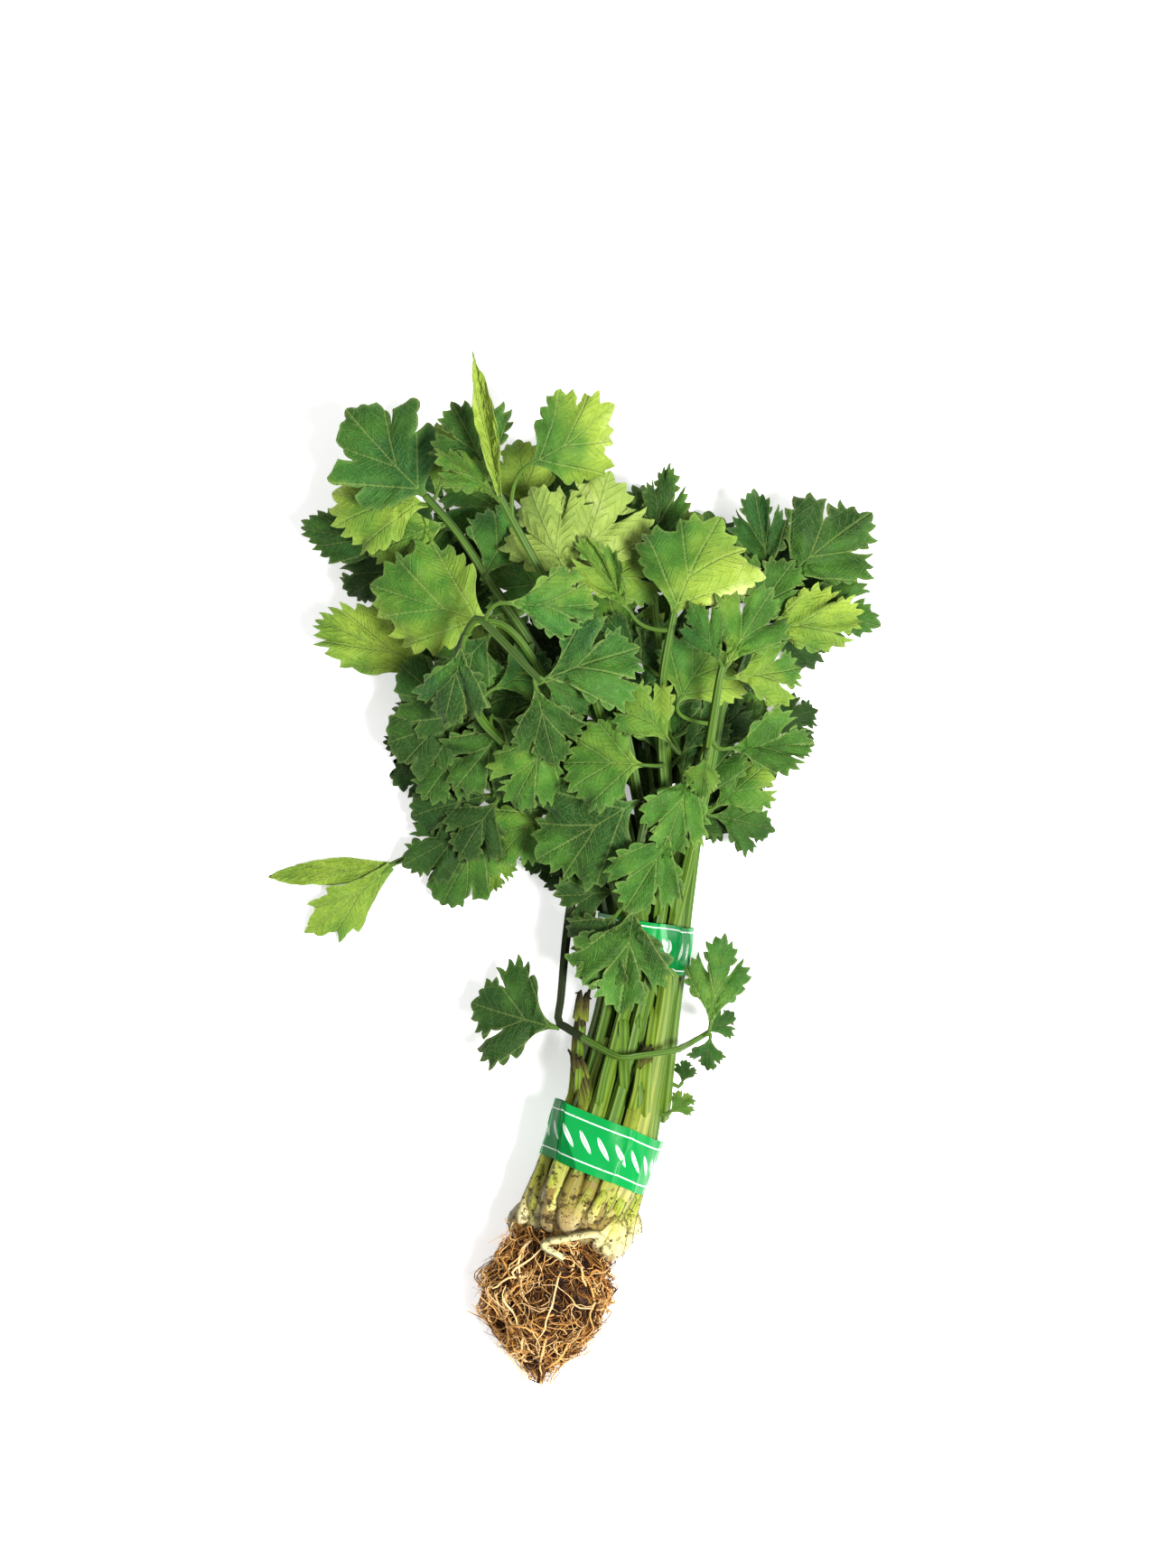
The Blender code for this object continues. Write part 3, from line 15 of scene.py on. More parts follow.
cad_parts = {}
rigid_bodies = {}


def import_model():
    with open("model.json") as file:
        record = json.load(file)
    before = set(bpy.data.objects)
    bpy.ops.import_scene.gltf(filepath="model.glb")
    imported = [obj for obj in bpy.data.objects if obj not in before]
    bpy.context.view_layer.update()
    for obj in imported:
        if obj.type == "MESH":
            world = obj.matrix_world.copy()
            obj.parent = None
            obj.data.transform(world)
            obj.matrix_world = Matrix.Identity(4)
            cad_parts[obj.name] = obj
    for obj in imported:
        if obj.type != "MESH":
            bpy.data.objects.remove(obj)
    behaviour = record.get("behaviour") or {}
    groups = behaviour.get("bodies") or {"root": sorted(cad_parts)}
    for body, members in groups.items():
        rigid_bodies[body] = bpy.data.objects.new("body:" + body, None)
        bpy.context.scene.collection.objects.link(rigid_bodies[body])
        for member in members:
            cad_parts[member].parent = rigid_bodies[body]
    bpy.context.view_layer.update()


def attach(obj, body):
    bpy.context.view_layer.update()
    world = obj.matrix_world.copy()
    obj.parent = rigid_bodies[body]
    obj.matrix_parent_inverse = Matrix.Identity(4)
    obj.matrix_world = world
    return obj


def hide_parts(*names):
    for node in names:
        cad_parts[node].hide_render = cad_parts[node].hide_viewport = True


bl_info = {
    "name": "Celery Bunch",
    "version": (1, 0, 0),
    "blender": (4, 5, 0),
    "location": "3D View > Sidebar > Celery",
    "description": "Builds a bound bunch of Chinese celery with its leaves, stalks, crowns and roots",
    "category": "Add Mesh",
}

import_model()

MM = 0.001
LOWEST = 0.1
SOIL_LOWEST = 0.02

# Colours that the settings don't hold, in linear light
PAINT = {
    "leaf_brightest": (0.520, 0.590, 0.215),
    "leaf_cool": (0.012, 0.105, 0.026),
    "leaf_back": (0.175, 0.235, 0.062),
    # Painted shade in the valleys beside a leaflet's main veins
    "leaf_valley": (0.006, 0.030, 0.004),
    "leaf_vein": (0.240, 0.330, 0.085),
    # Painted shade for the leaflets that lie low in the bunch
    "leaf_low": (0.006, 0.022, 0.003),
    "stalk_foot": (0.225, 0.240, 0.026),
    "stalk_middle": (0.058, 0.118, 0.010),
    # Paler rib tops, partly their own colour and partly painted highlight; painted shade in the grooves
    "stalk_rib": (0.200, 0.270, 0.035),
    "stalk_groove": (0.014, 0.038, 0.003),
    "stalk_withered": (0.010, 0.016, 0.004),
    "stalk_soil": (0.050, 0.032, 0.014),
    # Painted shade on the lower side of a stalk
    "stalk_flank": (0.012, 0.026, 0.003),
    "old_foot": (0.300, 0.270, 0.080),
    "old_lower": (0.190, 0.230, 0.026),
    "old_middle": (0.110, 0.140, 0.014),
    "old_upper": (0.038, 0.034, 0.008),
    "old_tip": (0.008, 0.007, 0.004),
    "old_spots": (0.035, 0.022, 0.009),
    "crown_top": (0.150, 0.210, 0.014),
    "crown_upper": (0.300, 0.330, 0.040),
    "crown_middle": (0.490, 0.450, 0.145),
    "crown_foot": (0.760, 0.670, 0.430),
    "crown_brown": (0.130, 0.080, 0.020),
    "crown_stain": (0.230, 0.135, 0.034),
    "crown_streak": (0.090, 0.085, 0.014),
    "crown_dirt": (0.040, 0.021, 0.007),
    "crown_specks": (0.028, 0.017, 0.008),
    # Painted shade on the sides and undersides of the crown's sheaths and bulb
    "crown_flank": (0.038, 0.030, 0.006),
    "root_brown": (0.180, 0.068, 0.012),
    "root_tan": (0.500, 0.250, 0.064),
    "soil_dark": (0.014, 0.006, 0.003),
    "soil_light": (0.070, 0.032, 0.012),
    "band_light": (0.001, 0.215, 0.042),
    "floor_dark": (0.86, 0.86, 0.85),
    "floor_light": (0.90, 0.90, 0.89),
    "white": (1.0, 1.0, 1.0),
}

# Corners of each stalk's line and its radius there, millimetres
STALK_LINES = {
    "leafy_stalk_arching": (
        (1.1, -123.6, 35.1, 2.1), (11.1, -98.3, 33, 2.98), (17.8, -73.6, 31.1, 2.59),
        (22.3, -49.2, 29.2, 2.4), (23.7, -24.8, 29.8, 2.2), (20.7, -13.5, 35.3, 2.13),
        (8.5, 11.8, 33.6, 2.01), (-6.3, 32.7, 35.5, 1.9), (-24.6, 50, 41.4, 1.79),
        (-35.4, 61.3, 47.6, 1.71), (-41.9, 81.7, 63.3, 1.6), (-43, 85.1, 65.9, 1.58),
        (-35.4, 98.5, 74.5, 1.5), (-32.2, 95.8, 74.1, 1.48), (-14.6, 77.5, 69.1, 1.37),
        (-11.6, 74.3, 68, 1.35),
    ),
    "leafy_stalk_top_spike": (
        (-1.5, -125.2, 41.8, 2.1), (6.4, -102.4, 39.3, 3.08), (13.8, -77.6, 36.9, 2.69),
        (20.5, -51.8, 35, 2.48), (27.4, -26.7, 33.6, 2.27), (24.7, 0.5, 35.5, 2.13),
        (19.6, 27.3, 39.5, 1.99), (13.7, 53.2, 44.8, 1.86), (5.8, 78.1, 51, 1.73), (-4, 102.2, 57.8, 1.59),
        (-16.7, 125.4, 62.9, 1.46), (-27.3, 145, 66, 1.35),
    ),
    "leafy_stalk_right_star": (
        (9.8, -133.6, 34.4, 2.1), (18.5, -124.6, 35.4, 4.04), (25, -103.3, 33.5, 3.15),
        (30.7, -77, 32, 2.92), (35.2, -50.2, 30.8, 2.69), (38.4, -23.4, 31.3, 2.45), (44.4, 2, 36.1, 2.19),
        (49.1, 26.8, 44.4, 1.92), (52.8, 51.1, 54.9, 1.66), (56.4, 75.8, 65.4, 1.39),
        (57.4, 80.2, 66, 1.35),
    ),
    "leafy_stalk_round_fan": (
        (4.7, -126.2, 39.3, 2.1), (11.9, -106.5, 40.3, 3.19), (19.5, -82.1, 37, 2.64),
        (25.5, -56.4, 34.6, 2.44), (31.6, -30.2, 34, 2.24), (36, -4.2, 36.1, 2.06), (36.8, 23, 37.2, 1.88),
        (34.6, 49.4, 43.6, 1.7), (34.9, 75.3, 51.5, 1.53), (39.2, 101.2, 58, 1.35),
    ),
    "leafy_stalk_over_band": (
        (7.7, -127.4, 33.4, 2.1), (16.7, -104.7, 33.1, 3.03), (23.2, -80, 31.2, 2.64),
        (28.7, -54.4, 29.6, 2.44), (33.3, -28.1, 29, 2.24), (31.3, -1.1, 33.1, 2.02),
        (33.5, 24.3, 41.6, 1.81), (35.9, 28.3, 42.9, 1.78), (33.6, 30.3, 45, 1.74),
        (31.4, 32.1, 48.3, 1.7), (30.2, 28, 48.8, 1.67), (26.2, 11.5, 48.7, 1.53),
        (24.7, -5.7, 43.8, 1.39), (24.4, -10.2, 44, 1.35),
    ),
    "leafy_stalk_drooping": (
        (6.6, -128.9, 23.4, 2.1), (15.2, -106, 20.9, 3.11), (21.7, -81.9, 20.4, 2.71),
        (27.1, -56.8, 19.9, 2.5), (30.7, -31.3, 22, 2.29), (27.8, -14, 23, 2.17), (19.8, -2.2, 26.5, 2.05),
        (4.5, 8.3, 30.9, 1.91), (2.7, 4.3, 28.8, 1.88), (-1.8, -21.8, 26.1, 1.71),
        (-4.3, -48.2, 24.1, 1.53), (-5.2, -57, 23.6, 1.47), (-2.4, -58.9, 26.3, 1.44),
        (16.1, -68.9, 41.6, 1.27), (19.7, -70, 44, 1.24), (23.9, -69.4, 43.2, 1.21),
        (40.6, -67, 40.2, 1.1), (42.3, -66.4, 36.2, 1.07), (45.8, -65.1, 28.1, 1.01),
        (49.5, -63, 27.1, 0.98), (53.4, -60.8, 27, 0.95),
    ),
    "leafy_stalk_left_broad": (
        (-2.1, -123.3, 30.9, 2.1), (5.8, -100.8, 28.3, 2.72), (13.2, -76.7, 26.7, 2.37),
        (20, -51.5, 24.7, 2.19), (24.3, -26.2, 24.8, 2), (24.2, -0.1, 31.1, 1.88), (18, 25.2, 34.7, 1.76),
        (6.7, 48.4, 39.7, 1.64), (-6.8, 70.6, 45.1, 1.53), (-21.4, 92.6, 50.2, 1.41),
        (-28.1, 97.5, 51.2, 1.37), (-32.6, 97.7, 51, 1.35),
    ),
    "leafy_stalk_upper_left": (
        (-9.2, -125.3, 31.9, 2.1), (-0.4, -100.7, 29.8, 3.03), (7.4, -77.3, 28.5, 2.65),
        (14.2, -52.6, 28, 2.44), (18.4, -28, 27, 2.24), (20.2, -10.3, 30.5, 2.15),
        (15.8, 17.2, 33.1, 2.03), (9.4, 42.9, 32.8, 1.91), (-1.2, 66.5, 35.6, 1.79),
        (-14.8, 88.7, 39.1, 1.67), (-29.6, 110.8, 42.2, 1.55), (-44.6, 133, 45.1, 1.43),
        (-56.2, 146.3, 46, 1.35),
    ),
    "leafy_stalk_pale_crown": (
        (4.7, -126.6, 27.8, 2.1), (13.3, -102.2, 27.1, 3.15), (20, -77.6, 26, 2.74),
        (25.7, -51.9, 25.2, 2.53), (28.6, -25.5, 27.4, 2.32), (28.9, 1.3, 28.9, 2.14),
        (26.2, 27.3, 32.8, 1.96), (21.4, 53.3, 36.8, 1.77), (14.4, 78.8, 40.9, 1.59),
        (2.7, 102.8, 45, 1.41), (2.4, 111.7, 45, 1.35),
    ),
    "leafy_stalk_right_broad": (
        (16.7, -130.3, 29.4, 2.1), (25.6, -116, 27.1, 3.74), (30.3, -90.8, 26.3, 2.96),
        (34.9, -64.9, 25.4, 2.73), (39, -38.5, 25.1, 2.51), (41.5, -11.8, 27.4, 2.31),
        (44.5, 14.9, 31.2, 2.12), (49.7, 41.2, 33, 1.92), (58.5, 66, 33.6, 1.73), (68.2, 90.8, 31, 1.54),
        (77.6, 110.8, 27.9, 1.38), (81.2, 113.5, 28, 1.35),
    ),
    "leafy_stalk_right_low": (
        (21.3, -130, 23.2, 2.1), (27.3, -115, 19.8, 2.98), (33.3, -88.3, 20.2, 2.35),
        (38.3, -61.7, 20.3, 2.18), (42.4, -35.3, 21.4, 2), (45.5, -9, 24.9, 1.85), (49, 16.9, 30.1, 1.73),
        (54, 42.6, 35.4, 1.61), (58.8, 69.4, 38.2, 1.49), (62.2, 91.6, 38, 1.39), (66.2, 93.4, 38, 1.37),
        (70.7, 94.2, 38, 1.35),
    ),
    "leafy_stalk_top_middle": (
        (9.4, -129.8, 28.3, 2.1), (18.9, -107.9, 27.5, 2.83), (25.2, -82.8, 26, 2.47),
        (30.6, -56.9, 25, 2.28), (35, -30.5, 24.4, 2.09), (36.7, -3.9, 28.3, 1.95),
        (37.2, 22.2, 31.5, 1.83), (36.5, 48.8, 36.9, 1.7), (35.7, 75.6, 39.5, 1.58),
        (32.2, 102, 36.2, 1.45), (31.1, 124, 34, 1.35),
    ),
    "leafy_stalk_left_yellow": (
        (-7.6, -130.3, 25.6, 2.1), (-0.5, -107.4, 24.3, 2.63), (7.8, -81.7, 23.2, 2.29),
        (14.5, -56.2, 22.8, 2.11), (19.7, -30.6, 22.9, 1.94), (18.5, -13, 21.2, 1.86),
        (12, 11.6, 25.5, 1.75), (3.4, 35.2, 27.5, 1.65), (-12.3, 55.4, 28.8, 1.54),
        (-25.5, 66.4, 29.7, 1.47), (-50.3, 77.5, 27.9, 1.37), (-54.3, 79.5, 28, 1.35),
    ),
    "leafy_stalk_left_point": (
        (-12.4, -125.6, 21.3, 2.1), (-3, -99.9, 19.5, 3.32), (5.4, -74.9, 19, 2.9),
        (12.3, -49.2, 19.1, 2.67), (16, -24.3, 18.9, 2.45), (14.6, -12.5, 18.7, 2.36),
        (6.6, 14.1, 17.6, 2.2), (3.2, 40.8, 21.9, 2.04), (-7.6, 64.1, 25.3, 1.88),
        (-22.9, 85.6, 27.6, 1.72), (-40.7, 105.8, 27.1, 1.56), (-58.9, 125.7, 26, 1.4),
        (-63.1, 127.1, 26, 1.38), (-67.6, 127.5, 26, 1.35),
    ),
    "leafy_stalk_right_lowest": (
        (14.1, -127.5, 21.5, 2.1), (23.3, -103.2, 21.1, 3.21), (29.2, -78.7, 20, 2.8),
        (34.4, -52.9, 19.5, 2.58), (39, -26.5, 19.4, 2.37), (43.2, 0.1, 19.7, 1.92),
        (46.7, 22.2, 20, 1.51), (50.5, 24.4, 20, 1.43), (54.8, 25.8, 20, 1.35),
    ),
    "leafy_stalk_left_dark": (
        (-6.2, -129.5, 20.1, 2.1), (0.9, -107.6, 18.3, 2.58), (9, -82.1, 17.7, 2.25),
        (15.9, -56.4, 17.4, 2.08), (20.8, -30.6, 17.6, 1.9), (21.2, -9.7, 18.4, 1.8),
        (15.8, 14.7, 27.3, 1.69), (4.7, 32.8, 31.3, 1.59), (-14.1, 49.9, 29.7, 1.48),
        (-38.1, 60.3, 27.9, 1.37), (-42.4, 59.2, 28, 1.35),
    ),
    "leafy_stalk_left_low": (
        (0.1, -128.3, 23.9, 2.1), (7.9, -103.4, 21.8, 3.49), (15.1, -79.3, 21, 3.04),
        (21.5, -54.3, 19.9, 2.81), (25.7, -29.1, 19, 2.57), (25.7, -6.5, 18.4, 2.32),
        (18.6, 8.3, 19.7, 2.1), (0.8, 25.5, 24.4, 1.78), (-4.4, 31.9, 25, 1.67), (-22.2, 33.7, 23, 1.46),
        (-30.8, 31.2, 23, 1.35),
    ),
    "leafy_stalk_hanging_left": (
        (-7, -136.6, 11.3, 2.1), (1.4, -127.2, 7, 4.08), (11.4, -102.4, 6.2, 3.14),
        (17.6, -76.8, 6.8, 2.91), (23.1, -51.3, 7.3, 2.68), (26.7, -26, 7.5, 2.43),
        (24.8, -10.2, 7.5, 2.24), (10.6, 10.4, 8.6, 1.96), (3, 25.8, 11.6, 1.77), (-1.3, 25.9, 13.3, 1.73),
        (-27.4, 23.4, 12, 1.44), (-34, 17.4, 12, 1.35),
    ),
    "leafy_stalk_on_the_table": (
        (-9.7, -131.3, 9.8, 2.1), (-2.4, -116.1, 7.7, 3.59), (1.6, -107.9, 8, 3.17),
        (9.4, -84.3, 8.7, 2.76), (15.7, -59.4, 9.1, 2.55), (20.6, -35, 9.6, 2.34), (21.1, -14, 10, 2.07),
        (3, 8, 5.9, 1.79), (-5.8, 17.1, 4.4, 1.65), (-10.2, 16.7, 4.3, 1.6), (-36.9, 14.2, 3.5, 1.32),
        (-62.9, 7.2, 4.5, 1.04), (-71.2, 3.8, 4.5, 0.95),
    ),
    "leafy_stalk_back_left": (
        (-10.3, -127.1, 14.8, 2.1), (-1.7, -104, 13.3, 3.13), (6.4, -78.9, 13.2, 2.73),
        (13.2, -53.3, 13.5, 2.52), (18.2, -28.1, 14.1, 2.31), (17.8, -9.9, 14.6, 2.2),
        (13.9, 16.6, 11.2, 2.05), (3.4, 40.2, 14.5, 1.89), (-10.8, 62, 15.6, 1.74),
        (-26.9, 83.3, 14.8, 1.58), (-43.2, 104.8, 12.4, 1.43), (-49.9, 110.4, 11.9, 1.38),
        (-54.2, 111.7, 12, 1.35),
    ),
    "leafy_stalk_back_top": (
        (3.9, -130.7, 18.4, 2.1), (10.9, -106.9, 16.2, 2.69), (18, -82.3, 15.8, 2.35),
        (24.1, -56.8, 15.4, 2.17), (29.2, -31.2, 15.6, 1.99), (30.5, -4, 17.7, 1.88),
        (26.5, 22.7, 20.9, 1.79), (20.9, 48.7, 23.4, 1.69), (12.9, 74.2, 25.1, 1.6), (3, 99.1, 25.8, 1.51),
        (-10.1, 122.7, 24.4, 1.41), (-16.8, 139.2, 24, 1.35),
    ),
    "leafy_stalk_back_middle": (
        (5.4, -132, 13.1, 2.1), (9, -122.6, 11.6, 3.05), (16.7, -96.5, 11, 2.31), (23.3, -70, 11, 2.14),
        (28.8, -43.5, 10.9, 1.97), (32, -16.8, 12.3, 1.83), (32.2, 9.8, 16, 1.73),
        (30.4, 36.5, 18.8, 1.64), (26.9, 63.1, 20, 1.55), (21.1, 89.4, 19.5, 1.46),
        (13.7, 115.3, 17.9, 1.37), (14.2, 119.8, 18, 1.35),
    ),
    "leafy_stalk_back_right": (
        (10.4, -127.9, 16.8, 2.1), (18.9, -105.4, 15, 3.05), (24.9, -81.3, 14.8, 2.66),
        (30.3, -55.7, 14.8, 2.45), (34.7, -29.3, 15.4, 2.25), (38, -2.7, 16.7, 2.07),
        (40.9, 24, 18.2, 1.9), (44, 50.8, 19.3, 1.73), (47.5, 77.5, 19.7, 1.55), (51.9, 103.6, 15.9, 1.38),
        (53.4, 107.8, 16, 1.35),
    ),
    "leafy_stalk_under_right": (
        (17.1, -129.6, 13.7, 2.1), (24.9, -107.4, 13, 2.6), (30, -82.6, 12.3, 2.26),
        (35, -56.9, 12.3, 2.09), (39.4, -30.7, 13.2, 1.92), (43.7, -4.4, 14.6, 1.8),
        (48.6, 21.7, 15.2, 1.68), (55, 47.3, 14.5, 1.57), (60.2, 73.2, 12.6, 1.46), (63.1, 90.5, 11, 1.39),
        (67.3, 91.7, 10.9, 1.37), (71.8, 91.8, 11, 1.35),
    ),
    "leafy_stalk_under_left": (
        (-5, -132.9, 15.4, 2.1), (1.2, -119.6, 14.1, 3.08), (9.3, -94.2, 14.4, 2.43),
        (16.3, -68.3, 13.9, 2.25), (22.2, -42, 13.6, 2.07), (25.7, -15.5, 13.9, 1.91),
        (17.1, 11.4, 15.8, 1.76), (0.6, 30.9, 14.8, 1.62), (-17, 40.9, 13.2, 1.5), (-43.2, 43.7, 10, 1.35),
    ),
    "leafy_stalk_under_right_low": (
        (10.8, -132.7, 9.3, 2.1), (19, -109.2, 8.2, 2.77), (25, -84, 8.3, 2.42), (30.9, -58.2, 8.7, 2.23),
        (36.4, -32.1, 9.6, 2.05), (42.2, -6.1, 10.5, 1.84), (49.1, 19.5, 11.4, 1.63),
        (52.2, 36.6, 11.3, 1.49), (51, 45.2, 10, 1.42), (55.3, 46, 9.9, 1.38), (59.8, 45.8, 10, 1.35),
    ),
    "old_stalk_long": (
        (-13.1, -128.1, 28, 2.1), (-10.7, -113.6, 26.8, 2.91), (-0.3, -89, 25, 2.32),
        (2.8, -61.3, 25.1, 2.19), (3.8, -52.2, 25, 2.15),
    ),
    "old_stalk_short": (
        (-7.1, -124.5, 37.7, 2.1), (-4.4, -114.2, 37.8, 3.54), (4.3, -91.7, 35, 2.69),
        (5.4, -88, 34.7, 2.64), (2.8, -74.2, 36, 2.51),
    ),
    "old_stalk_broken": (
        (8.3, -131.1, 39.5, 2.1), (13.9, -120.2, 40.4, 3.51), (22.6, -96.2, 39.2, 2.67),
        (28.3, -71.2, 39, 2.42),
    ),
}

